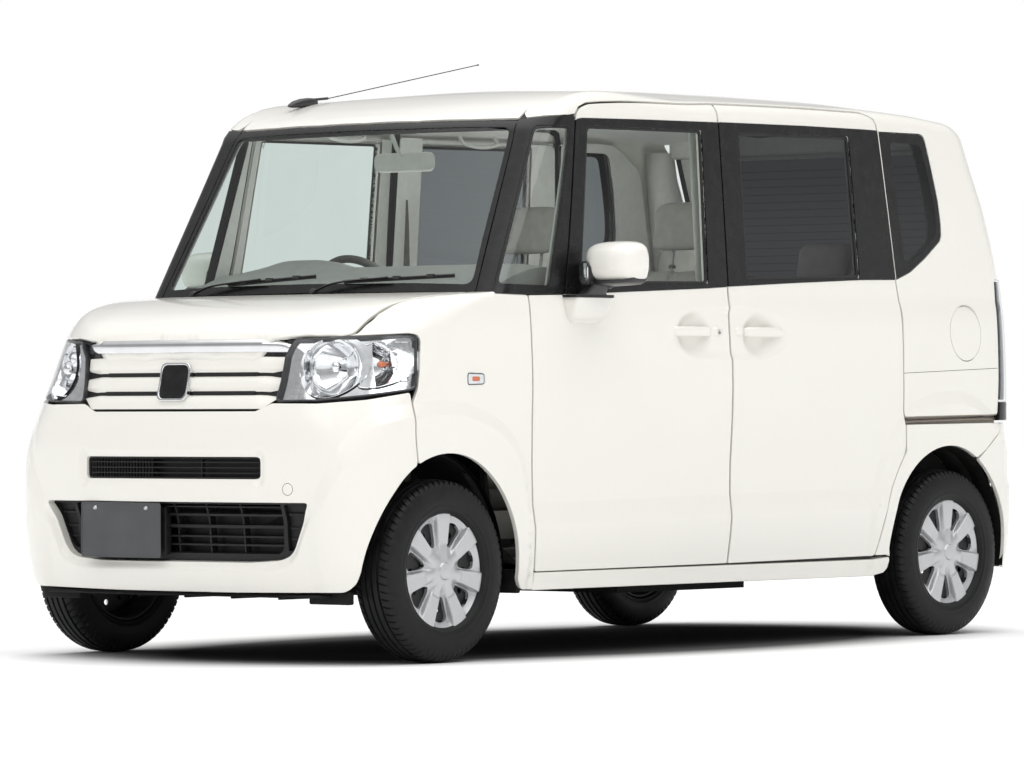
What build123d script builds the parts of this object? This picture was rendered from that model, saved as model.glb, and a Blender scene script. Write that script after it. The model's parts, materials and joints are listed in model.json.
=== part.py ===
"""Tall-bodied kei car: five-door family wagon with sliding rear doors.

Frame: millimetres, +Z up, ground at Z = 0, the car faces -Y and its left side is +X.
Y = 0 is half way between the axles.
"""
import os
from math import sqrt, cos, sin, radians, hypot
from build123d import *

os.makedirs("parts", exist_ok=True)

# ---------------------------------------------------------------- driving dimensions
WHEELBASE = 2520.0
TRACK = 1305.0
TYRE_R = 271.0
TYRE_W = 145.0
RIM_R = 178.0
HUB_Z = TYRE_R
AXLE_Y = WHEELBASE / 2
WHEEL_X = TRACK / 2
KING_X = 640.0                      # steering axis of each front wheel
ARCH_R = 346.0                      # clear radius of a wheel well
WELL_X_FRONT = 424.0                # inner wall of the front wells, clear of the steered tyre
WELL_X_REAR = 556.0
SPINDLE_R = 17.0
SPINDLE_FIT = 0.05

SKIN = 14.0                         # outer flange of a door
DOOR_T = 70.0                       # whole door, below the belt
DOOR_T_UP = 38.0                    # door frame, above the belt
FIX = 7.0                           # air between a hinged door and what it closes on
GLASS_T = 5.0
BELT_Z = 1095.0
SILL_Z = 261.0                      # bottom line of the side doors
GAP = 6.0
FRONT_LINE_Y = -1408.0              # joint between bumper or lamp and wing
B_LINE_Y = 90.0                     # gap between front and sliding door
B_GAP = 8.0

# body sections: height, half width, front Y, front crown radius, front corner radius,
# rear Y, rear crown radius, rear corner radius
LOWER = [
    (176, 698, -1642, 3600, 150, 1672, 6000, 110),
    (260, 711, -1682, 3600, 145, 1690, 6000, 110),
    (400, 731, -1698, 3600, 140, 1699, 6000, 110),
    (600, 725, -1699, 3600, 150, 1690, 6000, 105),
    (830, 737, -1658, 3800, 270, 1656, 6000, 100),
    (1095, 719, -1592, 3800, 330, 1650, 6000, 95),
]
UPPER = [
    (1095, 719, -1103, 3380, 75, 1650, 6000, 95),
    (1200, 711, -1046, 3290, 75, 1641, 6000, 100),
    (1640, 680, -809, 2880, 70, 1495, 6000, 110),
    (1704, 660, -774, 2800, 65, 1469, 6000, 110),
    (1790, 628, -728, 2700, 60, 1430, 6000, 110),
]
# insets of the nested skins: name, side, front, rear, roof, side above the belt
INSETS = {
    "outer": (0, 0, 0, 0, 0),
    "glass": (GLASS_T, GLASS_T, GLASS_T, GLASS_T, GLASS_T),
    "skin": (SKIN, SKIN, SKIN, SKIN, SKIN),
    "door": (DOOR_T, 62, 60, 34, DOOR_T_UP),
    "frame": (DOOR_T + FIX, 70, 68, 40, DOOR_T_UP + FIX),
    "cabin": (128, 110, 108, 62, 88),
}
ROOF_Z = 1768.0
ROOF_EDGE = (600.0, 1718.0)


# ---------------------------------------------------------------- shape helpers
def plan_wire(hw, yf, rcf, rf, yr, rcr, rr):
    """Closed plan outline: crowned front and rear, straight sides, tangent corners."""
    def corner(y0, big, small, sign):
        cx = hw - small
        cy = y0 + sign * (big - sqrt((big - small) ** 2 - cx ** 2))
        ty = y0 + sign * big
        k = big / (big - small)
        return (cx, cy), (cx * k, ty + (cy - ty) * k)
    (fx, fy), (ax, ay) = corner(yf, rcf, rf, 1)
    (gx, gy), (bx, by) = corner(yr, rcr, rr, -1)

    def mid(cx, cy, r, px, py):
        dx, dy = (px - cx) / r + 1, (py - cy) / r
        n = hypot(dx, dy)
        return cx + r * dx / n, cy + r * dy / n
    fm = mid(fx, fy, rf, ax, ay)
    gm = mid(gx, gy, rr, bx, by)
    ThreePointArc((-ax, ay), (0, yf), (ax, ay))
    ThreePointArc((ax, ay), fm, (hw, fy))
    Line((hw, fy), (hw, gy))
    ThreePointArc((hw, gy), gm, (bx, by))
    ThreePointArc((bx, by), (0, yr), (-bx, by))
    ThreePointArc((-bx, by), (-gm[0], gm[1]), (-hw, gy))
    Line((-hw, gy), (-hw, fy))
    ThreePointArc((-hw, fy), (-fm[0], fm[1]), (-ax, ay))


def stack(table, ds, df, dr):
    with BuildPart() as b:
        for z, hw, yf, rcf, rf, yr, rcr, rr in table:
            with BuildSketch(Plane.XY.offset(z)):
                with BuildLine():
                    plan_wire(hw - ds, yf + df, rcf - df, max(rf - ds, 25), yr - dr, rcr - dr, max(rr - ds, 25))
                make_face()
        loft(ruled=True)
    return b.part


def side_slab(points, x0, x1, arcs=False):
    """Solid between two X planes with a (Y, Z) outline."""
    with BuildPart() as b:
        with BuildSketch(Plane.YZ.offset(x0)):
            with BuildLine():
                Polyline(*points, close=True)
            make_face()
        extrude(amount=x1 - x0)
    return b.part


def front_slab(points, y0, y1):
    """Solid between two Y planes with an (X, Z) outline."""
    with BuildPart() as b:
        with BuildSketch(Plane.XZ.offset(-y0)):
            with BuildLine():
                Polyline(*points, close=True)
            make_face()
        extrude(amount=-(y1 - y0))
    return b.part


def block(x0, x1, y0, y1, z0, z1):
    with BuildPart() as b:
        with BuildSketch(Plane.XY.offset(z0)):
            with BuildLine():
                Polyline((x0, y0), (x1, y0), (x1, y1), (x0, y1), close=True)
            make_face()
        extrude(amount=z1 - z0)
    return b.part


def drum(y, z, r, x0, x1):
    """Cylinder along X."""
    with BuildPart() as b:
        with BuildSketch(Plane.YZ.offset(x0)):
            with Locations((y, z)):
                Circle(r)
        extrude(amount=x1 - x0)
    return b.part


def roof_solid(d):
    """Everything under the roof skin lowered by d: crown across and rounded ends along."""
    ex, ez = ROOF_EDGE
    with BuildPart() as b:
        with BuildSketch(Plane.XZ.offset(-1900)):
            with BuildLine():
                ThreePointArc((-ex, ez - d), (0, ROOF_Z - d), (ex, ez - d))
                Line((ex, ez - d), (700, 1655 - d))
                Line((700, 1655 - d), (760, 1000))
                Line((760, 1000), (-760, 1000))
                Line((-760, 1000), (-700, 1655 - d))
                Line((-700, 1655 - d), (-ex, ez - d))
            make_face()
        extrude(amount=3800)
        with BuildSketch(Plane.YZ.offset(-800)):
            with BuildLine():
                ThreePointArc((-860 + d, 1604 - d), (-560, 1722 - d), (-100, 1766 - d))
                Line((-100, 1766 - d), (800, 1768 - d))
                ThreePointArc((800, 1768 - d), (1210, 1752 - d), (1520 - d, 1704 - d))
                Line((1520 - d, 1704 - d), (1800, 1000))
                Line((1800, 1000), (-1300, 1000))
                Line((-1300, 1000), (-860 + d, 1604 - d))
            make_face()
        extrude(amount=1600, mode=Mode.INTERSECT)
    return b.part


# bonnet line in side view: Y, Z (centre of the car)
HOOD = [(-1648, 958), (-1612, 994), (-1560, 1026), (-1450, 1060), (-1300, 1086), (-1050, 1112)]


def under_hood(d):
    pts = [(y, z - d) for y, z in HOOD] + [(-1030, 1300), (1900, 1300), (1900, 100), (-1900, 100), (-1900, HOOD[0][1] - 6 - d)]
    return side_slab(pts, -800, 800)


def nested(name):
    ds, df, dr, dt, du = INSETS[name]
    with BuildPart() as low:
        add(stack(LOWER, ds, df, dr))
        add(under_hood(0 if name == "outer" else 30), mode=Mode.INTERSECT)
    with BuildPart() as up:
        add(stack(UPPER, du, df * 0.75 if name in ("door", "frame", "cabin") else df, dr if name != "cabin" else dr))
        add(roof_solid(dt), mode=Mode.INTERSECT)
    return low.part, up.part


LAYER = {name: nested(name) for name in INSETS}
OUT_LO, OUT_UP = LAYER["outer"]
GLS_LO, GLS_UP = LAYER["glass"]
SKN_LO, SKN_UP = LAYER["skin"]
DOR_LO, DOR_UP = LAYER["door"]
FRM_LO, FRM_UP = LAYER["frame"]
CAB_LO, CAB_UP = LAYER["cabin"]


def shell(outer, inner, region):
    with BuildPart() as b:
        add(outer)
        add(region, mode=Mode.INTERSECT)
        add(inner, mode=Mode.SUBTRACT)
    return b.part


def grow(points, d):
    """Outline offset outwards by d, with sharp corners."""
    with BuildSketch(Plane.XY) as s:
        with BuildLine():
            Polyline(*points, close=True)
        make_face()
        offset(amount=d, kind=Kind.INTERSECTION, mode=Mode.REPLACE)
    w = s.sketch.faces()[0].outer_wire()
    n = [v for v in w.order_edges()]
    return [((e @ 0).X, (e @ 0).Y) for e in n]


# ---------------------------------------------------------------- outlines in side view (Y, Z)
FRONT_DOOR = [(-844, SILL_Z), (-861, 415), (-867, 565), (-877, 714), (-877, 1088), (-708, 1091), (-673, 1246), (-639, 1433), (-605, 1622), (-602, 1640), (-587, 1660), (-549, 1675),
              (-378, 1687), (B_LINE_Y - B_GAP / 2, 1697), (B_LINE_Y - B_GAP / 2, SILL_Z)]
SLIDE_DOOR = [(B_LINE_Y + B_GAP / 2, SILL_Z), (B_LINE_Y + B_GAP / 2, 1697), (535, 1700), (858, 1697), (906, 1680), (918, 1646),
              (968, 1161), (990, 1040), (980, 861), (983, 716), (996, 603), (943, 525), (886, 420), (853, 302), (815, SILL_Z)]
FRONT_DOOR_GLASS = [(-634, 1128), (-560, 1600), (-548, 1608), (4, 1612), (-8, 1134)]
SLIDE_DOOR_GLASS = [(188, 1146), (188, 1612), (764, 1618), (778, 1160)]
FRONT_QUARTER = [(-1012, 1122), (-818, 1594), (-650, 1598), (-786, 1122)]
REAR_QUARTER = [(1000, 1180), (952, 1612), (1140, 1614), (1160, 1598), (1190, 1500), (1222, 1340), (1218, 1300), (1136, 1248), (1050, 1200)]
REAR_CORNER = [(1400, 150), (1400, 572), (1438, 602), (1480, 636), (1521, 666), (1530, 698), (1900, 698), (1900, 150)]
FRONT_APERTURE = [(-790, 320), (-800, 1050), (-645, 1060), (-560, 1590), (-520, 1640), (30, 1650), (30, 320)]
SLIDE_APERTURE = [(150, 320), (150, 1650), (850, 1650), (870, 1600), (910, 1160), (925, 1000), (915, 720), (905, 640), (870, 560), (820, 430), (800, 320)]


def pad(points, d):
    return grow(points, d)


LEFT = block(20, 900, -2000, 2000, 0, 2000)
SIDE_X = 585.0

front_well_l = drum(-AXLE_Y, HUB_Z, ARCH_R, WELL_X_FRONT, 900)
rear_well_l = drum(AXLE_Y, HUB_Z, ARCH_R, WELL_X_REAR, 900)


# ---------------------------------------------------------------- side doors
def side_door(outline, back, slide):
    box_lo, box_up = (FRM_LO, FRM_UP) if slide else (DOR_LO, DOR_UP)
    with BuildPart() as b:
        add(OUT_LO)
        add(OUT_UP)
        add(side_slab(outline, SIDE_X, 900), mode=Mode.INTERSECT)
        add(box_lo, mode=Mode.SUBTRACT)
        add(box_up, mode=Mode.SUBTRACT)
        if not slide:
            for core in (SKN_LO, SKN_UP):
                with BuildPart(mode=Mode.PRIVATE) as rebate:
                    add(core)
                    add(block(400, 900, back - 20, back + 50, 100, 1900), mode=Mode.INTERSECT)
                add(rebate.part, mode=Mode.SUBTRACT)
    return b.part


front_door_solid = side_door(FRONT_DOOR, B_LINE_Y - B_GAP / 2, False)
slide_door_solid = side_door(SLIDE_DOOR, 0, True)

with BuildPart() as front_door_left:
    add(front_door_solid)
    add(side_slab(FRONT_DOOR_GLASS, SIDE_X, 900), mode=Mode.SUBTRACT)
with BuildPart() as sliding_door_left:
    add(slide_door_solid)
    add(side_slab(SLIDE_DOOR_GLASS, SIDE_X, 900), mode=Mode.SUBTRACT)
    add(rear_well_l, mode=Mode.SUBTRACT)
with BuildPart() as front_door_glass_left:
    add(OUT_UP)
    add(side_slab(FRONT_DOOR_GLASS, SIDE_X, 900), mode=Mode.INTERSECT)
    add(GLS_UP, mode=Mode.SUBTRACT)
with BuildPart() as sliding_door_glass_left:
    add(OUT_UP)
    add(side_slab(SLIDE_DOOR_GLASS, SIDE_X, 900), mode=Mode.INTERSECT)
    add(GLS_UP, mode=Mode.SUBTRACT)

# ---------------------------------------------------------------- wing in front of the door
WING = [(-883, 275), (-883, 1092), (-1036, 1092), (-1060, 1200), (-1300, 1200), (-1500, 1120), (-1409, 975), (FRONT_LINE_Y, 812),
        (FRONT_LINE_Y, 400), (-1300, 275)]
WING[0] = (-850, 204)
WING.insert(1, (-851, SILL_Z))
WING.insert(2, (-867, 415))
WING.insert(3, (-873, 565))
WING.insert(4, (-883, 714))
BONNET_PLAN = [(-579, -1750), (-585, -1532), (-600, -1500), (-612, -1437), (-625, -1344), (-637, -1216), (-647, -1060),
               (-440, -1112), (-220, -1142), (0, -1152), (220, -1142), (440, -1112),
               (647, -1060), (637, -1216), (625, -1344), (612, -1437), (600, -1500), (585, -1532), (579, -1750)]
with BuildPart() as bonnet_hole:
    with BuildSketch(Plane.XY.offset(940)):
        with BuildLine():
            Polyline(*grow(BONNET_PLAN, GAP), close=True)
        make_face()
    extrude(amount=300)

with BuildPart() as front_wing_left:
    add(OUT_LO)
    add(side_slab(WING, SIDE_X, 900), mode=Mode.INTERSECT)
    add(FRM_LO, mode=Mode.SUBTRACT)
    add(front_well_l, mode=Mode.SUBTRACT)
    add(bonnet_hole.part, mode=Mode.SUBTRACT)

# ---------------------------------------------------------------- fixed body side: pillars, rails, sill, rear quarter
TAILGATE_Y = 1440.0
TAIL_HALF = 603.0
FUEL_Y, FUEL_Z, FUEL_R = 1335.0, 988.0, 86.0
SIDE_PANEL = [(-845, 176), (1600, 176), (1800, 495), (1800, 1760), (1500, 1760), (900, 1703), (535, 1706), (84, 1703),
              (-376, 1697), (-560, 1690), (-760, 1640), (-1060, 1640), (-1200, 1097), (-879, 1097), (-879, 1000), (-879, 700), (-845, 300)]
TAILGATE = [(-TAIL_HALF, 484), (TAIL_HALF, 484), (TAIL_HALF, 1180), (588, 1640), (560, 1800), (-560, 1800), (-588, 1640), (-TAIL_HALF, 1180)]
REAR_BUMPER_TOP = 478.0
TAIL_LAMP = [(1508, 704), (1520, 1166), (1900, 1166), (1900, 704)]

tailgate_hole = front_slab(grow(TAILGATE, GAP), 1300, 1900)

with BuildPart() as windscreen_hole:
    with BuildSketch(Plane.XZ.offset(600)):
        with BuildLine():
            Polyline((-640, 1096), (640, 1096), (578, 1622), (-578, 1622), close=True)
        make_face()
    extrude(amount=700)

with BuildPart() as body_side_left:
    # outer skin zone
    add(OUT_LO)
    add(OUT_UP)
    add(side_slab(SIDE_PANEL, 560, 900), mode=Mode.INTERSECT)
    add(FRM_LO, mode=Mode.SUBTRACT)
    add(FRM_UP, mode=Mode.SUBTRACT)
    add(side_slab(pad(FRONT_DOOR, GAP), SIDE_X, 900), mode=Mode.SUBTRACT)
    add(side_slab(pad(SLIDE_DOOR, GAP), SIDE_X, 900), mode=Mode.SUBTRACT)
    # pillars, sill and rails behind the doors
    with BuildPart(mode=Mode.PRIVATE) as inner:
        add(FRM_LO)
        add(FRM_UP)
        add(block(563, 900, -1130, 1640, 176, 1800), mode=Mode.INTERSECT)
        add(CAB_LO, mode=Mode.SUBTRACT)
        add(CAB_UP, mode=Mode.SUBTRACT)
        add(side_slab([(-1400, 100), (-1400, 1098), (-1000, 1098), (-1000, 100)], 400, 900), mode=Mode.SUBTRACT)
        add(side_slab(FRONT_APERTURE, SIDE_X, 900), mode=Mode.SUBTRACT)
        add(side_slab(SLIDE_APERTURE, SIDE_X, 900), mode=Mode.SUBTRACT)
        add(drum(-AXLE_Y, HUB_Z, ARCH_R + 14, 400, 900), mode=Mode.SUBTRACT)
    add(inner.part)
    with BuildPart(mode=Mode.PRIVATE) as well:
        add(drum(AXLE_Y, HUB_Z, ARCH_R + 14, WELL_X_REAR - 14, 680))
        add(block(300, 900, 800, 1700, 345, 900), mode=Mode.INTERSECT)
    add(well.part)
    add(rear_well_l, mode=Mode.SUBTRACT)
    add(side_slab(REAR_CORNER, 300, 900), mode=Mode.SUBTRACT)
    add(side_slab(TAIL_LAMP, 540, 900), mode=Mode.SUBTRACT)
    add(drum(FUEL_Y, FUEL_Z, FUEL_R + 5, 640, 900), mode=Mode.SUBTRACT)
    add(tailgate_hole, mode=Mode.SUBTRACT)
    add(windscreen_hole.part, mode=Mode.SUBTRACT)
    add(side_slab(FRONT_QUARTER, 652, 900), mode=Mode.SUBTRACT)
    add(side_slab(REAR_QUARTER, SIDE_X, 900), mode=Mode.SUBTRACT)


# ---------------------------------------------------------------- glass
def pane(outline, x0):
    with BuildPart() as b:
        add(OUT_UP)
        add(side_slab(outline, x0, 900), mode=Mode.INTERSECT)
        add(GLS_UP, mode=Mode.SUBTRACT)
    return b.part


front_quarter_pane = pane(FRONT_QUARTER, 652)
rear_quarter_pane = pane(REAR_QUARTER, SIDE_X)
with BuildPart() as windscreen:
    add(OUT_UP)
    add(windscreen_hole.part, mode=Mode.INTERSECT)
    add(GLS_UP, mode=Mode.SUBTRACT)

# ---------------------------------------------------------------- tailgate and its glass
TAIL_GLASS = [(-520, 1150), (520, 1150), (500, 1606), (-500, 1606)]
HATCH_HINGE = (TAILGATE_Y, 1738.0)
with BuildPart() as tailgate:
    add(OUT_LO)
    add(OUT_UP)
    add(front_slab(TAILGATE, TAILGATE_Y, 1900), mode=Mode.INTERSECT)
    add(FRM_LO, mode=Mode.SUBTRACT)
    add(FRM_UP, mode=Mode.SUBTRACT)
    add(front_slab(TAIL_GLASS, 1300, 1900), mode=Mode.SUBTRACT)
    with Locations((0, 1655, 868)):
        with GridLocations(210, 1, 2, 1):
            Cylinder(3.3, 120, rotation=(90, 0, 0), mode=Mode.SUBTRACT)
with BuildPart() as tailgate_glass:
    add(OUT_UP)
    add(front_slab(TAIL_GLASS, 1300, 1900), mode=Mode.INTERSECT)
    add(GLS_UP, mode=Mode.SUBTRACT)

# ---------------------------------------------------------------- roof
with BuildPart() as roof_panel:
    add(OUT_UP)
    add(block(-800, 800, -1000, TAILGATE_Y - GAP, 1628, 1900), mode=Mode.INTERSECT)
    add(FRM_UP, mode=Mode.SUBTRACT)
    for a, b in ((557, 900), (-900, -557)):
        add(side_slab(pad(SIDE_PANEL, 2), a, b), mode=Mode.SUBTRACT)

# ---------------------------------------------------------------- bumpers
BUMPER_FACE = [(-900, 206), (900, 206), (900, 806), (690, 796), (395, 770), (386, 746), (-386, 746), (-395, 770), (-690, 796), (-900, 806)]
LOWER_INTAKE = [(-438, 292), (438, 292), (533, 474), (-533, 474)]
UPPER_INTAKE = [(-355, 546), (355, 546), (355, 609), (-355, 609)]
TOW_X, TOW_Z = -445.0, 520.0
with BuildPart() as front_bumper:
    add(OUT_LO)
    add(block(-900, 900, -1900, FRONT_LINE_Y - 5, 150, 900), mode=Mode.INTERSECT)
    add(front_slab(BUMPER_FACE, -1900, -1000), mode=Mode.INTERSECT)
    add(FRM_LO, mode=Mode.SUBTRACT)
    add(front_slab(LOWER_INTAKE, -1900, -1500), mode=Mode.SUBTRACT)
    add(front_slab(UPPER_INTAKE, -1900, -1500), mode=Mode.SUBTRACT)
    add(front_well_l, mode=Mode.SUBTRACT)
    add(drum(-AXLE_Y, HUB_Z, ARCH_R, -900, -WELL_X_FRONT), mode=Mode.SUBTRACT)

with BuildPart() as intake_grilles:
    add(front_slab(LOWER_INTAKE, -1655, -1640))
    add(block(-300, -84, -1690, -1655, 330, 455))
    with Locations((-192, -1680, 450)):
        with GridLocations(210, 1, 2, 1):
            Cylinder(3.3, 60, rotation=(90, 0, 0), mode=Mode.SUBTRACT)
    add(front_slab(UPPER_INTAKE, -1655, -1640))

with BuildPart() as rear_bumper:
    add(OUT_LO)
    add(side_slab(grow(REAR_CORNER, -3), -900, 900), mode=Mode.INTERSECT)
    add(block(-900, 900, 1000, 1900, 206, 900), mode=Mode.INTERSECT)
    add(block(-TAIL_HALF - GAP, TAIL_HALF + GAP, 1300, 1900, REAR_BUMPER_TOP, 900), mode=Mode.SUBTRACT)
    add(FRM_LO, mode=Mode.SUBTRACT)
    add(rear_well_l, mode=Mode.SUBTRACT)
    add(drum(AXLE_Y, HUB_Z, ARCH_R, -900, -WELL_X_REAR), mode=Mode.SUBTRACT)

# ---------------------------------------------------------------- lamps and grille
HEAD_LAMP = [(397, 776), (692, 801), (900, 811), (900, 972), (437, 958)]
GRILLE = [(-383, 750), (383, 750), (393, 775), (432, 956), (-432, 956), (-393, 775)]
with BuildPart() as headlamp_left:
    add(OUT_LO)
    add(block(300, 900, -1900, FRONT_LINE_Y - 3, 700, 961), mode=Mode.INTERSECT)
    add(front_slab(HEAD_LAMP, -1900, -1000), mode=Mode.INTERSECT)
    add(FRM_LO, mode=Mode.SUBTRACT)
with BuildPart() as grille:
    add(OUT_LO)
    add(front_slab(GRILLE, -1900, -1000), mode=Mode.INTERSECT)
    add(FRM_LO, mode=Mode.SUBTRACT)
with BuildPart() as tail_lamp_left:
    add(OUT_LO)
    add(OUT_UP)
    add(side_slab([(1511, 707), (1523, 1163), (1900, 1163), (1900, 707)], TAIL_HALF + GAP, 900), mode=Mode.INTERSECT)
    add(FRM_LO, mode=Mode.SUBTRACT)
    add(FRM_UP, mode=Mode.SUBTRACT)

# ---------------------------------------------------------------- bonnet
HOOD_HINGE = (-1058.0, 1110.0)
with BuildPart() as bonnet:
    add(OUT_LO)
    with BuildSketch(Plane.XY.offset(967)):
        with BuildLine():
            Polyline(*BONNET_PLAN, close=True)
        make_face()
    extrude(amount=300, mode=Mode.INTERSECT)
    add(side_slab([(y, z - 30) for y, z in HOOD] + [(-900, 1080), (-900, 900), (-1648, 900)], -800, 800), mode=Mode.SUBTRACT)

# ---------------------------------------------------------------- floor, firewall and cowl
FLOOR = [(-945, 235), (862, 235), (882, 430), (1612, 430), (1612, 455), (860, 455), (843, 255), (-945, 255)]
with BuildPart() as floor_pan:
    add(CAB_LO)
    add(side_slab(FLOOR, -800, 800), mode=Mode.INTERSECT)
    for a, b in ((WELL_X_REAR - 14, 900), (-900, -WELL_X_REAR + 14)):
        add(drum(AXLE_Y, HUB_Z, ARCH_R + 14, a, b), mode=Mode.SUBTRACT)
    for a, b in ((WELL_X_FRONT - 14, 900), (-900, -WELL_X_FRONT + 14)):
        add(drum(-AXLE_Y, HUB_Z, ARCH_R + 16, a, b), mode=Mode.SUBTRACT)
with BuildPart() as firewall:
    with BuildPart(mode=Mode.PRIVATE) as cowl:
        add(OUT_LO)
        add(block(-655, 655, -1200, -945, 1060, 1086), mode=Mode.INTERSECT)
        add(bonnet_hole.part, mode=Mode.SUBTRACT)
    with BuildPart(mode=Mode.PRIVATE) as wall:
        add(CAB_LO)
        add(block(-700, 700, -965, -945, 235, 1066), mode=Mode.INTERSECT)
    add(wall.part)
    with BuildPart(mode=Mode.PRIVATE) as shelf:
        with BuildPart(mode=Mode.PRIVATE) as ahead:
            add(FRM_LO)
            add(block(-700, 700, -1300, -1003, 1000, 1095), mode=Mode.INTERSECT)
            add(CAB_LO)
        add(ahead.part)
        add(cowl.part, mode=Mode.INTERSECT)
    add(shelf.part)
    for a, b in ((WELL_X_FRONT - 14, 900), (-900, -WELL_X_FRONT + 14)):
        add(drum(-AXLE_Y, HUB_Z, ARCH_R + 14, a, b), mode=Mode.SUBTRACT)

# ---------------------------------------------------------------- front structure: wheelhouses, strut towers, rails, beam
TOWER = (543.0, -1253.0)
with BuildPart() as front_structure:
    for s in (1, -1):
        a, b = sorted((s * (WELL_X_FRONT - 14), s * 632))
        c, d = sorted((s * WELL_X_FRONT, s * 900))
        with BuildPart(mode=Mode.PRIVATE) as house:
            add(drum(-AXLE_Y, HUB_Z, ARCH_R + 14, a, b))
            add(block(-900, 900, -1540, -900, 300, 900), mode=Mode.INTERSECT)
            with Locations((s * TOWER[0], TOWER[1], 730)):
                Cylinder(86, 250)
            add(drum(-AXLE_Y, HUB_Z, ARCH_R, c, d), mode=Mode.SUBTRACT)
            with Locations((s * TOWER[0], TOWER[1], 710)):
                Cylinder(76, 270, mode=Mode.SUBTRACT)
        add(house.part)
        e, f = sorted((s * 340, s * (WELL_X_FRONT - 14)))
        add(block(e, f, -1552, -965, 320, 420))
    add(block(-390, 390, -1596, -1540, 400, 500))
    add(block(-340, 340, -1420, -1380, 320, 360))
with BuildPart() as engine:
    add(block(-300, 300, -1370, -1010, 270, 800))
with BuildPart() as radiator:
    add(block(-310, 310, -1480, -1440, 300, 760))

# ---------------------------------------------------------------- running gear
KING_TOP = (540.0, -1252.0, 846.0)
KING_LOW = (612.0, -1260.0, 185.0)
with BuildPart() as front_crossmember:
    add(block(-345, 345, -1330, -1190, 196, 262))
    for s in (1, -1):
        with BuildSketch(Plane.XY.offset(196)):
            with BuildLine():
                Polyline((s * 345, -1200), (s * 345, -1320), (s * 562, -1278), (s * 562, -1242), close=True)
            make_face()
        extrude(amount=24)
    add(block(-345, -305, -1330, -1190, 262, 320))
    add(block(305, 345, -1330, -1190, 262, 320))

with BuildPart() as front_knuckle_left:
    # upright, hub carrier and spindle
    add(block(592, 624, -AXLE_Y - 34, -AXLE_Y + 34, 180, 400))
    add(block(540, 592, -AXLE_Y - 20, -AXLE_Y + 24, 356, 400))
    add(drum(-AXLE_Y, HUB_Z, 52, 592, 640))
    add(drum(-AXLE_Y, HUB_Z, SPINDLE_R, 600, 687))
    with BuildPart(mode=Mode.PRIVATE) as strut:
        with BuildLine():
            Line((548, -1256, 340), (540, -1252, 842))
        with BuildSketch(Plane(origin=(548, -1256, 340), z_dir=(-8, 4, 502))):
            Circle(24)
        sweep()
    add(strut.part)
    with Locations((544, -1254, 640)):
        Cylinder(58, 12)
    with Locations((541, -1252.5, 830)):
        Cylinder(50, 14)

with BuildPart() as rear_axle:
    add(block(-520, 520, 1060, 1140, 235, 290))
    for s in (1, -1):
        a, b = sorted((s * 490, s * 545))
        add(block(a, b, 900, AXLE_Y + 40, 240, 300))
        c, d = sorted((s * 545, s * 618))
        add(drum(AXLE_Y, HUB_Z, 44, c, d))
        c, d = sorted((s * 600, s * 687))
        add(drum(AXLE_Y, HUB_Z, SPINDLE_R, c, d))
        with Locations((s * 450, 1200, 360)):
            Cylinder(46, 140)
        a, b = sorted((s * 400, s * 500))
        add(block(a, b, 1130, 1250, 270, 296))
        a, b = sorted((s * 480, s * 545))
        add(block(a, b, 880, 925, 240, 310))


def wheel_plane(x, y):
    return Plane(origin=(x, y, HUB_Z), x_dir=(1, 0, 0), z_dir=(0, -1, 0))


def make_wheel(y):
    ax = Axis((WHEEL_X, y, HUB_Z), (1, 0, 0))
    with BuildPart() as w:
        with BuildSketch(wheel_plane(WHEEL_X, y)):
            with BuildLine():
                Polyline((-62, 178), (-57, 178), (-57, 168), (57, 168), (57, 178), (62, 178), (60, 160), (44, 152), (52, 60), (44, 34),
                         (44, 0), (38, 0), (38, SPINDLE_R + SPINDLE_FIT), (-8, SPINDLE_R + SPINDLE_FIT), (-8, 38), (36, 42), (40, 60), (32, 146), (20, 158), (-62, 162), close=True)
            make_face()
        revolve(axis=ax)
        with BuildSketch(Plane.YZ.offset(WHEEL_X + 20)):
            with Locations((y, HUB_Z)):
                with PolarLocations(104, 7):
                    Trapezoid(42, 50, 78, rotation=-90)
        extrude(amount=60, mode=Mode.SUBTRACT)
    return w.part


def make_tyre(y):
    ax = Axis((WHEEL_X, y, HUB_Z), (1, 0, 0))
    with BuildPart() as t:
        with BuildSketch(wheel_plane(WHEEL_X, y)):
            with BuildLine():
                Polyline((-57, 168), (57, 168), (57, 180), (68, 196), (72.5, 224), (69, 250), (58, 265), (44, TYRE_R), (-44, TYRE_R),
                         (-58, 265), (-69, 250), (-72.5, 224), (-68, 196), (-57, 180), close=True)
            make_face()
        revolve(axis=ax)
    return t.part


# ---------------------------------------------------------------- cabin
with BuildPart() as dashboard:
    with BuildPart(mode=Mode.PRIVATE) as room:
        add(CAB_LO)
        add(CAB_UP)
    add(room.part)
    add(side_slab([(-945, 1087), (-1020, 1087), (-1020, 1118), (-780, 1186), (-680, 1190), (-640, 1165), (-600, 1080), (-640, 930),
                   (-700, 760), (-800, 700), (-945, 700)], -800, 800), mode=Mode.INTERSECT)
STEER_C = (-345.0, -424.0, 1066.0)
STEER_TILT = 28.0
col_dir = (0, cos(radians(STEER_TILT)), sin(radians(STEER_TILT)))
with BuildPart() as steering_wheel:
    with BuildSketch(Plane(origin=STEER_C, x_dir=(1, 0, 0), z_dir=(0, -sin(radians(STEER_TILT)), cos(radians(STEER_TILT))))):
        with Locations((178, 0)):
            Circle(15)
    revolve(axis=Axis(STEER_C, col_dir))
    with BuildSketch(Plane(origin=STEER_C, x_dir=(1, 0, 0), z_dir=col_dir)):
        Circle(62)
        Rectangle(330, 44)
        with Locations((0, -90)):
            Rectangle(60, 150)
    extrude(amount=12, both=True)
    with BuildSketch(Plane(origin=STEER_C, x_dir=(1, 0, 0), z_dir=col_dir)):
        Circle(24)
    extrude(amount=-330)
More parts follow.
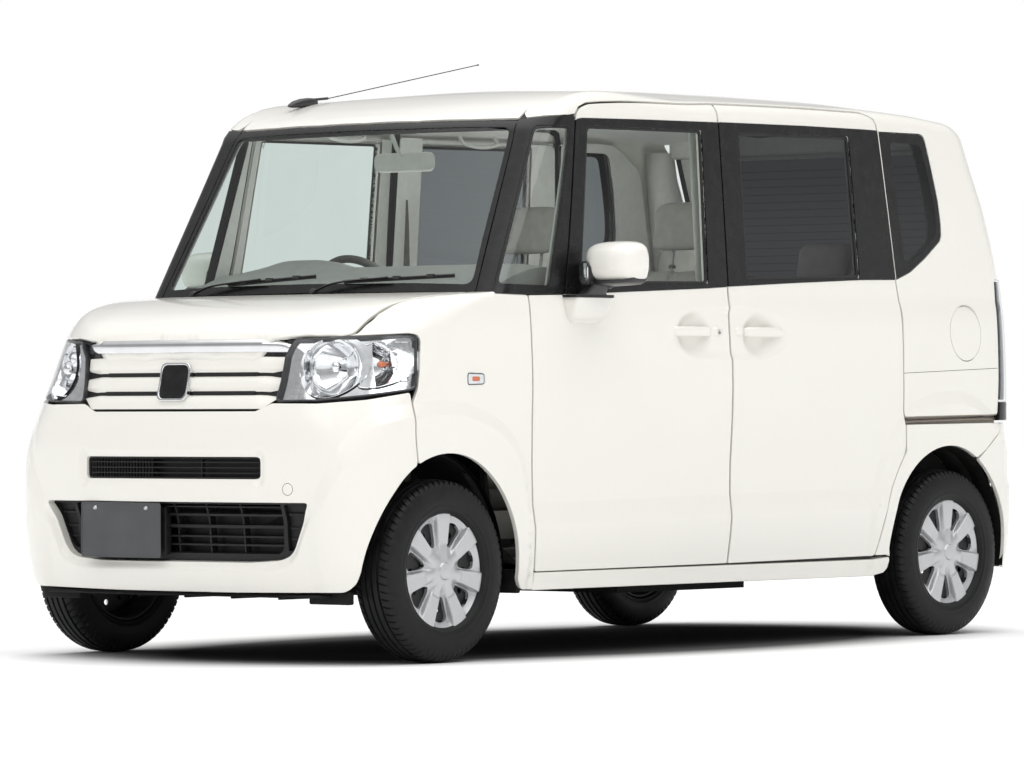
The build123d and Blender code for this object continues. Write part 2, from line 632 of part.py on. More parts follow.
with BuildPart() as column_bore:
    with BuildSketch(Plane(origin=STEER_C, x_dir=(1, 0, 0), z_dir=col_dir)):
        Circle(31)
    extrude(amount=-400)
with BuildPart() as dashboard_bored:
    add(dashboard.part)
    add(column_bore.part, mode=Mode.SUBTRACT)

# seat profiles in side view: cushion, back, head restraint
FRONT_CUSHION = [(-270, 480), (-300, 560), (-270, 610), (170, 575), (210, 520), (200, 470)]
FRONT_BACK = [(150, 560), (215, 500), (300, 560), (395, 1180), (340, 1215), (280, 1190)]
FRONT_HEAD = [(318, 1240), (400, 1250), (425, 1390), (390, 1420), (335, 1400)]
with BuildPart() as front_seat_left:
    add(side_slab(FRONT_CUSHION, 90, 570))
    add(side_slab(FRONT_BACK, 100, 560))
    add(side_slab(FRONT_HEAD, 205, 455))
    add(side_slab([(352, 1195), (366, 1195), (382, 1260), (366, 1260)], 270, 282))
    add(side_slab([(352, 1195), (366, 1195), (382, 1260), (366, 1260)], 378, 390))
    add(block(120, 540, -220, 180, 255, 492))
REAR_CUSHION = [(560, 560), (540, 620), (570, 660), (960, 625), (1000, 560), (960, 520)]
REAR_BACK = [(930, 620), (985, 560), (1050, 590), (1160, 1130), (1115, 1165), (1060, 1140)]
with BuildPart() as rear_seat:
    add(side_slab(REAR_CUSHION, -530, 530))
    add(side_slab(REAR_BACK, -530, 530))
    for s in (1, -1):
        a, b = sorted((s * 190, s * 410))
        add(side_slab([(1095, 1150), (1165, 1155), (1190, 1270), (1165, 1300), (1120, 1285)], a, b))
    add(block(-500, 500, 600, 838, 255, 560))
    add(block(-500, 500, 870, 960, 455, 540))

# ---------------------------------------------------------------- fittings
with BuildPart() as fuel_lid:
    add(OUT_LO)
    add(drum(FUEL_Y, FUEL_Z, FUEL_R, 600, 900), mode=Mode.INTERSECT)
    add(SKN_LO, mode=Mode.SUBTRACT)
with BuildPart() as door_mirror_left:
    with BuildPart(mode=Mode.PRIVATE) as head:
        add(block(757, 935, -680, -565, 1124, 1252))
        fillet(head.edges(), 30)
    add(head.part)
    add(block(700, 778, -690, -600, 1010, 1150))
    add(OUT_LO, mode=Mode.SUBTRACT)
    add(OUT_UP, mode=Mode.SUBTRACT)
with BuildPart() as antenna:
    with BuildSketch(Plane(origin=(-450, -600, 1718), x_dir=(1, 0, 0), z_dir=(0, 854, 158))):
        Circle(3)
    extrude(amount=868)
    add(side_slab([(-660, 1690), (-655, 1712), (-540, 1748), (-520, 1740), (-520, 1700)], -464, -436))
    add(OUT_UP, mode=Mode.SUBTRACT)
with BuildPart() as wipers:
    # two blades lying along the foot of the windscreen, following its curve
    add(stack(UPPER, -15, -15, 0))
    with BuildPart(mode=Mode.PRIVATE) as strips:
        add(front_slab([(-560, 1122), (-60, 1130), (-60, 1146), (-560, 1138)], -1300, -900))
        add(front_slab([(-20, 1118), (430, 1126), (430, 1142), (-20, 1134)], -1300, -900))
    add(strips.part, mode=Mode.INTERSECT)
    add(OUT_UP, mode=Mode.SUBTRACT)
with BuildPart() as rear_wiper:
    add(front_slab([(-30, 1120), (300, 1128), (300, 1140), (-30, 1150)], 1640, 1668))
    add(OUT_UP, mode=Mode.SUBTRACT)
with BuildPart() as front_plate:
    add(block(-357, -27, -1697, -1690, 308, 473))
    with Locations((-192, -1694, 450)):
        with GridLocations(210, 1, 2, 1):
            Cylinder(3.3, 40, rotation=(90, 0, 0), mode=Mode.SUBTRACT)
with BuildPart() as exhaust:
    with BuildLine():
        FilletPolyline((-60, -1100, 270), (-60, -1100, 205), (-200, -740, 205), (-200, 860, 205), (-330, 1010, 196), (-330, 1180, 196), (-330, 1300, 250), radius=40)
    with BuildSketch(Plane(origin=(-60, -1100, 270), z_dir=(0, 0, -1))):
        Circle(22)
    sweep()
    add(block(-470, -190, 1290, 1540, 212, 330))
    with BuildSketch(Plane.XZ.offset(-1540)):
        with Locations((-420, 250)):
            Circle(20)
    extrude(amount=-60)
with BuildPart() as fuel_tank:
    add(block(-110, 470, -160, 480, 172, 235))

# ---------------------------------------------------------------- write every piece
def both_sides(*solids):
    """One piece made of the given left solids and their mirror images."""
    with BuildPart() as b:
        for solid in solids:
            add(solid)
            mirror(solid, about=Plane.YZ)
    return b.part


PAIRS = {
    "body_side": body_side_left.part, "front_door": front_door_left.part, "sliding_door": sliding_door_left.part,
    "front_door_glass": front_door_glass_left.part, "door_mirror": door_mirror_left.part, "front_knuckle": front_knuckle_left.part,
    "front_wheel": make_wheel(-AXLE_Y), "front_tyre": make_tyre(-AXLE_Y), "rear_wheel": make_wheel(AXLE_Y), "rear_tyre": make_tyre(AXLE_Y),
}
SINGLES = {
    "roof_panel": roof_panel.part, "bonnet": bonnet.part, "tailgate": tailgate.part, "tailgate_glass": tailgate_glass.part,
    "windscreen": windscreen.part, "front_bumper": front_bumper.part, "intake_grilles": intake_grilles.part,
    "rear_bumper": rear_bumper.part, "grille": grille.part, "floor_pan": floor_pan.part, "firewall": firewall.part,
    "front_structure": front_structure.part, "engine": engine.part, "radiator": radiator.part,
    "front_crossmember": front_crossmember.part, "rear_axle": rear_axle.part, "dashboard": dashboard_bored.part,
    "steering_wheel": steering_wheel.part, "rear_seat": rear_seat.part, "fuel_lid": fuel_lid.part, "antenna": antenna.part,
    "wipers": wipers.part, "rear_wiper": rear_wiper.part, "front_plate": front_plate.part, "exhaust": exhaust.part,
    "fuel_tank": fuel_tank.part,
    "front_wings": both_sides(front_wing_left.part), "headlamps": both_sides(headlamp_left.part),
    "tail_lamps": both_sides(tail_lamp_left.part), "front_seats": both_sides(front_seat_left.part),
    "front_quarter_glass": both_sides(front_quarter_pane), "rear_side_glass": both_sides(sliding_door_glass_left.part, rear_quarter_pane),
}
for stem, solid in PAIRS.items():
    solid.label = stem + "_left"
    export_step(solid, "parts/" + stem + "_left.step")
    with BuildPart() as other:
        mirror(solid, about=Plane.YZ)
    other.part.label = stem + "_right"
    export_step(other.part, "parts/" + stem + "_right.step")
for stem, solid in SINGLES.items():
    solid.label = stem
    export_step(solid, "parts/" + stem + ".step")
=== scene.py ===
"""Looks of a tall-bodied kei wagon: painted panels, glass, lamps, wheels, cabin and soft seats.

Frame: metres, +Z up, ground at Z = 0, the car faces -Y and its left side is +X.
Lengths inside the shape functions are millimetres; meshes are scaled to metres when they are made.
"""

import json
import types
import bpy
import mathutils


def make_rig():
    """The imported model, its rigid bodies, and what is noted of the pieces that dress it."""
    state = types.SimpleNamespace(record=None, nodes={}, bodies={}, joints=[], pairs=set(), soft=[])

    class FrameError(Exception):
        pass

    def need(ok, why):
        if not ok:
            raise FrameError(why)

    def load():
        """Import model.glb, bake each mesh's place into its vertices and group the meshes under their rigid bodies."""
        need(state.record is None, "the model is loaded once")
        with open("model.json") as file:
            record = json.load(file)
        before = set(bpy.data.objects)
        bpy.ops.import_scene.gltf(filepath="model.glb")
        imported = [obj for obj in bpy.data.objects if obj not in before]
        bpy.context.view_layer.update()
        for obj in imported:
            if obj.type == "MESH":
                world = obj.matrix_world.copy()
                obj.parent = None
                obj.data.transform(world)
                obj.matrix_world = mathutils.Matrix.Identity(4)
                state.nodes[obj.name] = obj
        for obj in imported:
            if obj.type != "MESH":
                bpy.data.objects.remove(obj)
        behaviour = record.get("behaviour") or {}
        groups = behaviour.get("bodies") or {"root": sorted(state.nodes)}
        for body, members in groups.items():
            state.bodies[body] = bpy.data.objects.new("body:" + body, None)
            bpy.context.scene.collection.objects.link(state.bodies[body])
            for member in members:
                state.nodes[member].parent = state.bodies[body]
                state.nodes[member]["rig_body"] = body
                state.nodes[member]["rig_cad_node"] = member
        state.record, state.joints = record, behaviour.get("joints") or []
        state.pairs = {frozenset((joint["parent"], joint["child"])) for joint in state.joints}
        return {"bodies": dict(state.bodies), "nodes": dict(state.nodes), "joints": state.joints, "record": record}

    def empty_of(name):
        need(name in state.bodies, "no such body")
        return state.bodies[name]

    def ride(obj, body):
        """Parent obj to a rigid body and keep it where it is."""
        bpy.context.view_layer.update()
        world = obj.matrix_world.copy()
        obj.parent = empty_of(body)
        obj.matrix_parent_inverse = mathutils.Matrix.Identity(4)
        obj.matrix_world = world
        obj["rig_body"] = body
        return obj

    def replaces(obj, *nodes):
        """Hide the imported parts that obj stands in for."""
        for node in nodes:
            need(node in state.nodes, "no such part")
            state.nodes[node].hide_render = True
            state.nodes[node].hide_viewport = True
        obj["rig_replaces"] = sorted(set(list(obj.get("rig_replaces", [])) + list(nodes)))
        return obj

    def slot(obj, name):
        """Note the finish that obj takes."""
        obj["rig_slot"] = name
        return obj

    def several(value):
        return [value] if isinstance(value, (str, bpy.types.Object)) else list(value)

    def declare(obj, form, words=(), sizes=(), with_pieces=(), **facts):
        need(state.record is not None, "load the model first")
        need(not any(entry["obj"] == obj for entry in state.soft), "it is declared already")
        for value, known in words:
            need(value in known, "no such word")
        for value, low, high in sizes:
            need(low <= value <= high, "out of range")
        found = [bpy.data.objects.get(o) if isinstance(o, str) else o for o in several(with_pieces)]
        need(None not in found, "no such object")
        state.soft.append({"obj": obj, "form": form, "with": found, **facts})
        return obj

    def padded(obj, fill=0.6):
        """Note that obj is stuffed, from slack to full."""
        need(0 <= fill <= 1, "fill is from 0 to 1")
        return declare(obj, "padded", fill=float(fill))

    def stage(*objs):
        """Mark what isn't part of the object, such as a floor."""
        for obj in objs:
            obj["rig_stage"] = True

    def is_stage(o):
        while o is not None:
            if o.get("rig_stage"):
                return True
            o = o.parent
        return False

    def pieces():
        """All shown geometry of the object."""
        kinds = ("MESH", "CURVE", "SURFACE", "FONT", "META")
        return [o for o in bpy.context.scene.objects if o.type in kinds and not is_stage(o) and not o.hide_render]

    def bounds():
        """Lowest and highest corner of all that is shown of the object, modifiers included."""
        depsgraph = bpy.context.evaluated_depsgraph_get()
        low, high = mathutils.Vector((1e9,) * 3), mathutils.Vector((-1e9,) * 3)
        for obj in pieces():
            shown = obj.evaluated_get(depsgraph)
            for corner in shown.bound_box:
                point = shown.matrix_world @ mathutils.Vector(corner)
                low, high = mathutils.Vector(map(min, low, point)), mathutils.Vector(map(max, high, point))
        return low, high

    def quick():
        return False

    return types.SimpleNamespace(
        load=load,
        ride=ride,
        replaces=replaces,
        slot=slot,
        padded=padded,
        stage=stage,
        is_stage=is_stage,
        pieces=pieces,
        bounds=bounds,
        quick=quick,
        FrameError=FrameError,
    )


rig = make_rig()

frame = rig.load()
import json
import math
import bpy
import bmesh
import numpy as np
from mathutils import Vector, Matrix
from mathutils.geometry import delaunay_2d_cdt

CAD_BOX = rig.bounds()
MM = 0.001


# ================================================================ numbers
def curve(table):
    """Monotone cubic through (x, y) pairs, straight beyond both ends."""
    xs = np.array([a for a, b in table], float)
    ys = np.array([b for a, b in table], float)
    h = np.diff(xs)
    d = np.diff(ys) / h
    m = np.zeros_like(ys)
    s = d[:-1] * d[1:]
    m[1:-1] = np.where(s > 0, 2 * s / np.where(np.abs(d[:-1] + d[1:]) < 1e-9, 1, d[:-1] + d[1:]), 0)
    m[0], m[-1] = d[0], d[-1]

    def exact(x):
        c = np.clip(x, xs[0], xs[-1])
        i = np.clip(np.searchsorted(xs, c, side="right") - 1, 0, len(h) - 1)
        t = (c - xs[i]) / h[i]
        return ((2 * t ** 3 - 3 * t ** 2 + 1) * ys[i] + (t ** 3 - 2 * t ** 2 + t) * h[i] * m[i]
                + (-2 * t ** 3 + 3 * t ** 2) * ys[i + 1] + (t ** 3 - t ** 2) * h[i] * m[i + 1])
    # looked up from a fine table, which is much quicker
    gx = np.linspace(xs[0], xs[-1], int(np.clip((xs[-1] - xs[0]) * 4, 400, 16000)) + 1)
    gy = exact(gx)
    gx = np.concatenate([[xs[0] - 9000.0], gx, [xs[-1] + 9000.0]])
    gy = np.concatenate([[ys[0] - 9000.0 * m[0]], gy, [ys[-1] + 9000.0 * m[-1]]])
    return lambda x: np.interp(x, gx, gy)


def smooth(t):
    t = np.clip(t, 0, 1)
    return t * t * (3 - 2 * t)


def rmax(a, b, r):
    """Intersection of two half spaces with a round edge of radius r."""
    u = np.maximum(a + r, 0)
    v = np.maximum(b + r, 0)
    return np.minimum(-r, np.maximum(a, b)) + np.sqrt(u * u + v * v)


def unit(v):
    v = np.asarray(v, float)
    return v / np.maximum(np.linalg.norm(v, axis=-1, keepdims=True), 1e-12)


# ================================================================ outlines in a plane
def soften(poly, cut, n=5):
    """Round the corners of a closed outline; cut is the length taken off each side, one number or one for each corner."""
    p = np.array([q[:2] for q in poly], float)
    k = len(p)
    cuts = [cut] * k if np.isscalar(cut) else list(cut)
    out = []
    for i in range(k):
        a, b, c = p[i - 1], p[i], p[(i + 1) % k]
        la, lc = np.linalg.norm(a - b), np.linalg.norm(c - b)
        t = min(cuts[i], 0.499 * la, 0.499 * lc)
        if t < 0.2:
            out.append(b)
            continue
        s, e = b + (a - b) / la * t, b + (c - b) / lc * t
        for w in np.linspace(0, 1, n):
            out.append((1 - w) ** 2 * s + 2 * w * (1 - w) * b + w * w * e)
    return np.array(out)


def resample(loop, step, closed=True):
    """Points along a loop no further apart than step; every corner is kept."""
    out = []
    k = len(loop)
    for i in range(k if closed else k - 1):
        a, b = loop[i], loop[(i + 1) % k]
        length = np.linalg.norm(np.asarray(b) - np.asarray(a))
        if length < 1e-6:
            continue
        n = max(1, int(math.ceil(length / step)))
        for j in range(n):
            out.append(a + (b - a) * j / n)
    if not closed:
        out.append(np.asarray(loop[-1], float))
    return np.array(out)


def area2(loop):
    x, y = loop[:, 0], loop[:, 1]
    return float(np.sum(x * np.roll(y, -1) - np.roll(x, -1) * y))


def ccw(loop):
    loop = np.asarray(loop, float)
    return loop if area2(loop) > 0 else loop[::-1]


def tidy(loop, eps=0.15):
    keep = [loop[0]]
    for p in loop[1:]:
        if np.linalg.norm(p - keep[-1]) > eps:
            keep.append(p)
    if np.linalg.norm(keep[0] - keep[-1]) < eps:
        keep.pop()
    return np.array(keep)


def inset(loop, s):
    """Loop moved to its left (inwards for a counterclockwise loop) by s, with mitred corners."""
    a = np.roll(loop, 1, axis=0)
    c = np.roll(loop, -1, axis=0)
    d1, d2 = unit(loop - a), unit(c - loop)
    n1 = np.stack([-d1[:, 1], d1[:, 0]], 1)
    n2 = np.stack([-d2[:, 1], d2[:, 0]], 1)
    m = n1 + n2
    m = m / np.maximum(np.sum(m * m, axis=1, keepdims=True), 0.35) * 2
    return loop + m * s


def inside(pts, loop):
    x, y = pts[:, 0], pts[:, 1]
    r = np.zeros(len(pts), bool)
    x0, y0 = loop[:, 0], loop[:, 1]
    x1, y1 = np.roll(x0, -1), np.roll(y0, -1)
    for i in range(len(loop)):
        if y0[i] == y1[i]:
            continue
        hit = (y0[i] > y) != (y1[i] > y)
        r ^= hit & (x < (x1[i] - x0[i]) * (y - y0[i]) / (y1[i] - y0[i]) + x0[i])
    return r


def away(pts, others, dist):
    """Mask of the points further than dist from every one of the others."""
    keep = np.ones(len(pts), bool)
    if len(others) == 0 or len(pts) == 0:
        return keep
    dist = np.broadcast_to(np.asarray(dist, float), (len(pts),))
    for i in range(0, len(pts), 2000):
        d = np.min(((pts[i:i + 2000, None, :] - others[None]) ** 2).sum(2), axis=1)
        keep[i:i + 2000] = d > dist[i:i + 2000] ** 2
    return keep


def hexgrid(x0, x1, y0, y1, step, sy=None):
    sy = sy or step * 0.88
    rows = []
    j = 0
    y = y0
    while y <= y1:
        xs = np.arange(x0 + (step / 2 if j % 2 else 0), x1, step)
        rows.append(np.stack([xs, np.full(len(xs), y)], 1))
        y += sy
        j += 1
    return np.concatenate(rows) if rows else np.zeros((0, 2))


def triangulate(loop, holes, step, fine=(), lines=(), edge_step=None):
    """Triangles of a region. fine: (u0, u1, v0, v1, step) boxes; lines: polylines the mesh follows."""
    edge_step = edge_step or step
    loops = [loop] + list(holes)
    pts, edges, at = [], [], 0
    for lp in loops:
        n = len(lp)
        pts.append(lp)
        edges += [(at + i, at + (i + 1) % n) for i in range(n)]
        at += n
    boundary = np.concatenate(loops)
    lo, hi = loop.min(0), loop.max(0)
    grid = hexgrid(lo[0] + step * .3, hi[0], lo[1] + step * .3, hi[1], step)
    local = np.full(len(grid), step)
    for u0, u1, v0, v1, s in fine:
        m = (grid[:, 0] > u0) & (grid[:, 0] < u1) & (grid[:, 1] > v0) & (grid[:, 1] < v1)
        g = hexgrid(u0, u1, v0, v1, s)
        grid = np.concatenate([grid[~m], g])
        local = np.concatenate([local[~m], np.full(len(g), s)])
    on = []
    for ln in lines:
        ln = np.asarray(ln, float)
        m = inside(ln, loop)
        for h in holes:
            m &= ~inside(ln, h)
        m &= away(ln, boundary, 1.2)
        idx = np.where(m)[0]
        if len(idx) == 0:
            continue
        on.append(ln[idx])
        base = at
        for a, b in zip(range(len(idx) - 1), range(1, len(idx))):
            if idx[b] == idx[a] + 1:
                edges.append((base + a, base + b))
        pts.append(ln[idx])
        at += len(idx)
    m = inside(grid, loop)
    for h in holes:
        m &= ~inside(grid, h)
    grid, local = grid[m], local[m]
    grid, local = (lambda k: (grid[k], local[k]))(away(grid, boundary, local * 0.5))
    if on:
        k = away(grid, np.concatenate(on), local * 0.45)
        grid = grid[k]
    pts.append(grid)
    allp = np.concatenate(pts)
    vo, eo, fo, ov, oe, of_ = delaunay_2d_cdt([Vector(p) for p in allp], edges, [], 0, 1e-5)
    co = np.array([v[:] for v in vo], float)
    tri = np.array([f for f in fo], int)
    cen = co[tri].mean(1)
    m = inside(cen, loop)
    for h in holes:
        m &= ~inside(cen, h)
    tri = tri[m]
    back = np.full(len(allp), -1)
    for i, o in enumerate(ov):
        for j in o:
            back[j] = i
    sizes = np.cumsum([0] + [len(lp) for lp in loops])
    rims = [back[sizes[i]:sizes[i + 1]] for i in range(len(loops))]
    a = co[tri]
    flip = ((a[:, 1, 0] - a[:, 0, 0]) * (a[:, 2, 1] - a[:, 0, 1]) - (a[:, 1, 1] - a[:, 0, 1]) * (a[:, 2, 0] - a[:, 0, 0])) < 0
    tri[flip] = tri[flip][:, ::-1]
    return co, tri, rims


# ================================================================ mesh gathering
class Shape:
    """Collects vertices, faces and normals of one piece, in millimetres."""

    def __init__(self):
        self.v, self.n, self.f, self.m, self.s = [], [], [], [], []
        self.count = 0

    def add(self, verts, faces, normals=None, mat=0, smooth_on=True):
        verts = np.asarray(verts, float).reshape(-1, 3)
        self.v.append(verts)
        self.n.append(np.zeros_like(verts) if normals is None else np.asarray(normals, float))
        c = self.count
        faces = [list(map(int, f)) for f in faces]
        if normals is not None:
            nn = np.asarray(normals, float)
            for size in (3, 4):
                idx = [i for i, f in enumerate(faces) if len(f) == size]
                if not idx:
                    continue
                q = np.array([faces[i] for i in idx])
                fn = np.cross(verts[q[:, 1]] - verts[q[:, 0]], verts[q[:, 2]] - verts[q[:, 0]])
                if size == 4:
                    fn = fn + np.cross(verts[q[:, 2]] - verts[q[:, 0]], verts[q[:, 3]] - verts[q[:, 0]])
                bad = np.sum(fn * nn[q].sum(1), axis=1) < 0
                for j in np.where(bad)[0]:
                    faces[idx[j]] = faces[idx[j]][::-1]
        for f in faces:
            self.f.append([i + c for i in f])
        self.m += [mat] * len(faces)
        self.s += [smooth_on] * len(faces)
        self.count += len(verts)
        return self

    def join(self, other, mat=None):
        c = self.count
        self.v += other.v
        self.n += other.n
        self.f += [[i + c for i in f] for f in other.f]
        self.m += other.m if mat is None else [mat] * len(other.m)
        self.s += other.s
        self.count += other.count
        return self

    def mapped(self, fn, nfn=None):
        o = Shape()
        o.count = self.count
        for v, n in zip(self.v, self.n):
            o.v.append(fn(v))
            o.n.append(nfn(n) if nfn else n.copy())
        o.f = [list(f) for f in self.f]
        o.m, o.s = list(self.m), list(self.s)
        return o

    def moved(self, x=0, y=0, z=0):
        return self.mapped(lambda v: v + np.array([x, y, z], float))

    def turned(self, matrix, origin=(0, 0, 0)):
        r = np.array(matrix, float)
        o = np.array(origin, float)
        return self.mapped(lambda v: (v - o) @ r.T + o, lambda n: n @ r.T)

    def mirrored(self):
        k = np.array([-1.0, 1.0, 1.0])
        o = self.mapped(lambda v: v * k, lambda n: n * k)
        o.f = [f[::-1] for f in o.f]
        return o

    def make(self, name, mats, smooth_angle=None):
        verts = np.concatenate(self.v) * MM
        normals = np.concatenate(self.n)
        me = bpy.data.meshes.new(name)
        me.from_pydata(verts.tolist(), [], self.f)
        for mt in mats:
            me.materials.append(mt)
        me.polygons.foreach_set("material_index", self.m)
        me.polygons.foreach_set("use_smooth", self.s)
        me.update()
        ob = bpy.data.objects.new(name, me)
        bpy.context.scene.collection.objects.link(ob)
        if smooth_angle is not None:
            sharp_by_angle(me, smooth_angle)
        if np.abs(normals).max() > 0:
            me.normals_split_custom_set_from_vertices([tuple(n) for n in normals])
        return ob


def sharp_by_angle(me, degrees):
    bm = bmesh.new()
    bm.from_mesh(me)
    limit = math.radians(degrees)
    for e in bm.edges:
        if len(e.link_faces) == 2 and e.calc_face_angle(0) > limit:
            e.smooth = False
    bm.to_mesh(me)
    bm.free()


def grid_faces(rows, cols, wrap_c=False, wrap_r=False, flip=False):
    f = []
    for i in range(rows if wrap_r else rows - 1):
        for j in range(cols if wrap_c else cols - 1):
            a, b = i * cols + j, i * cols + (j + 1) % cols
            c, d = ((i + 1) % rows) * cols + (j + 1) % cols, ((i + 1) % rows) * cols + j
            f.append((a, b, c, d) if not flip else (d, c, b, a))
    return f


def axes(direction, up=(0, 0, 1)):
    w = unit(direction)
    if abs(np.dot(w, unit(up))) > 0.98:
        up = (0, 1, 0) if abs(w[1]) < 0.9 else (1, 0, 0)
    a = unit(np.cross(up, w))
    return a, np.cross(w, a), w


def revolve(profile, origin, direction, n=48, a0=0, a1=360, up=(0, 0, 1), cap=False, flip=False):
    """profile: (along, radius) pairs turned about the axis."""
    a, b, w = axes(direction, up)
    full = abs(a1 - a0) > 359.9
    k = n if full else n + 1
    ang = np.radians(a0 + (a1 - a0) * np.arange(k) / n)
    pr = np.array(profile, float)
    ring = np.cos(ang)[None, :, None] * a + np.sin(ang)[None, :, None] * b
    v = np.array(origin, float) + pr[:, 0][:, None, None] * w + pr[:, 1][:, None, None] * ring
    s = Shape()
    faces = grid_faces(len(pr), k, wrap_c=full, flip=not flip)
    s.add(v.reshape(-1, 3), faces)
    if cap:
        for i, rev in ((0, flip), (len(pr) - 1, not flip)):
            idx = [i * k + j for j in range(k)]
            s.f.append(idx[::-1] if rev else idx)
            s.m.append(0)
            s.s.append(True)
    return s


def frames_along(path, up=(0, 0, 1)):
    p = np.array(path, float)
    t = unit(np.gradient(p, axis=0))
    a0 = np.cross(up, t[0])
    if np.linalg.norm(a0) < 1e-3:
        a0 = np.cross((1, 0, 0), t[0])
    a = unit(a0)
    A, B = [], []
    for i in range(len(p)):
        a = unit(a - np.dot(a, t[i]) * t[i])
        A.append(a)
        B.append(np.cross(t[i], a))
    return p, np.array(A), np.array(B)


def smooth_path(points, n=8):
    p = [np.array(q, float) for q in points]
    if len(p) < 3:
        return np.array(p)
    p = [2 * p[0] - p[1]] + p + [2 * p[-1] - p[-2]]
    out = []
    for i in range(1, len(p) - 2):
        for j in range(n):
            t = j / n
            out.append(0.5 * (2 * p[i] + (p[i + 1] - p[i - 1]) * t + (2 * p[i - 1] - 5 * p[i] + 4 * p[i + 1] - p[i + 2]) * t * t
                              + (3 * p[i] - p[i - 1] - 3 * p[i + 1] + p[i + 2]) * t ** 3))
    out.append(p[-2])
    return np.array(out)


def tube(path, r, n=12, up=(0, 0, 1), section=None, ends=True):
    """Round or shaped bar along a path; r is one radius or one for each point."""
    p, A, B = frames_along(path, up)
    rr = np.broadcast_to(np.asarray(r, float), (len(p),))
    if section is None:
        ang = 2 * math.pi * np.arange(n) / n
        sec = np.stack([np.cos(ang), np.sin(ang)], 1)
    else:
        sec = np.array(section, float)
        n = len(sec)
    v = p[:, None, :] + rr[:, None, None] * (sec[None, :, 0, None] * A[:, None, :] + sec[None, :, 1, None] * B[:, None, :])
    s = Shape()
    s.add(v.reshape(-1, 3), grid_faces(len(p), n, wrap_c=True))
    if ends:
        s.f.append(list(range(n))[::-1])
        s.f.append([(len(p) - 1) * n + j for j in range(n)])
        s.m += [0, 0]
        s.s += [False, False]
    return s


def plate(loop, holes, origin, ax, ay, t, bevel=1.0, step=1e9, mat=0, side_mat=None, step_edge=1e9):
    """Flat plate with a bevelled rim: outline in the ax, ay plane, thickness t along ax x ay."""
    ax, ay = unit(ax), unit(ay)
    az = np.cross(ax, ay)
    o = np.array(origin, float)
    loop = ccw(tidy(np.array(loop, float)))
    hl = [ccw(tidy(np.array(h, float)))[::-1] for h in holes]
    loop = resample(loop, step_edge)
    hl = [resample(h, step_edge) for h in hl]
    top = [inset(lp, bevel) for lp in [loop] + hl]
    co, tri, rims = triangulate(top[0], top[1:], step)
    s = Shape()

    def at(p2, h):
        return o + p2[:, :1] * ax + p2[:, 1:2] * ay + h * az
    s.add(at(co, t), tri, mat=mat, smooth_on=False)
    s.add(at(co, 0), tri[:, ::-1], mat=mat, smooth_on=False)
    for lp, tp in zip([loop] + hl, top):
        n = len(lp)
        rows = np.concatenate([at(tp, 0), at(lp, bevel), at(lp, t - bevel), at(tp, t)])
        s.add(rows, grid_faces(4, n, wrap_c=True), mat=mat if side_mat is None else side_mat, smooth_on=False)
    return s


def loft(sections, caps=True, flip=False, smooth_on=True):
    """Skin over equal-length closed loops of 3-D points."""
    k = len(sections[0])
    v = np.concatenate([np.array(q, float) for q in sections])
    s = Shape()
    s.add(v, grid_faces(len(sections), k, wrap_c=True, flip=flip), smooth_on=smooth_on)
    if caps:
        a = list(range(k))
        b = [(len(sections) - 1) * k + j for j in range(k)]
        s.f += [a if flip else a[::-1], b[::-1] if flip else b]
        s.m += [0, 0]
        s.s += [smooth_on, smooth_on]
    return s


def brick(x0, x1, y0, y1, z0, z1, r=3, seg=2):
    """Block with rounded edges."""
    bm = bmesh.new()
    bmesh.ops.create_cube(bm, size=1)
    for v in bm.verts:
        v.co = ((x0 + x1) / 2 + v.co.x * (x1 - x0), (y0 + y1) / 2 + v.co.y * (y1 - y0), (z0 + z1) / 2 + v.co.z * (z1 - z0))
    bmesh.ops.bevel(bm, geom=list(bm.edges), offset=r, segments=seg, profile=0.5, affect="EDGES")
    s = Shape()
    s.add([v.co[:] for v in bm.verts], [[v.index for v in f.verts] for f in bm.faces])
    bm.free()
    return s


# ================================================================ the body as level functions of x, y, z
HW = curve([(150, 700), (230, 706), (260, 711), (330, 717), (400, 721), (500, 723), (560, 724), (640, 729), (720, 734), (830, 737), (907, 735),
            (1000, 730), (1060, 725), (1095, 719), (1122, 717), (1200, 711.5), (1400, 698), (1640, 680), (1790, 668)])
# lower front: outline y, crown radius, corner radius
YF = curve([(150, -1636), (180, -1652), (230, -1673), (330, -1690), (450, -1699), (600, -1700), (700, -1690), (774, -1671), (831, -1655), (852, -1651),
            (911, -1643), (960, -1640), (1100, -1622)])
RF = curve([(150, 150), (300, 140), (520, 145), (640, 170), (774, 235), (870, 290), (960, 335), (1100, 350)])
# rear: tailgate and quarter outline y, corner radius
YR = curve([(176, 1668), (276, 1680), (400, 1684), (600, 1680), (700, 1662), (830, 1655), (1095, 1648), (1181, 1642), (1367, 1600), (1524, 1540), (1640, 1495), (1690, 1472), (1790, 1425)])
RR = curve([(176, 112), (600, 108), (830, 100), (1095, 95), (1200, 100), (1500, 118), (1640, 125)])
# windscreen
YW = curve([(1000, -1155), (1095, -1103), (1200, -1046), (1400, -937), (1640, -809), (1790, -728)])
RW = curve([(1095, 3380), (1640, 2880)])
# roof centre height along the car
ROOF = curve([(-900, 1588), (-860, 1607), (-820, 1628), (-760, 1657), (-700, 1681), (-600, 1708), (-500, 1726), (-340, 1744), (-100, 1758), (200, 1766),
              (500, 1768), (800, 1767), (1100, 1757), (1300, 1741), (1400, 1727), (1450, 1713), (1500, 1690), (1540, 1660)])
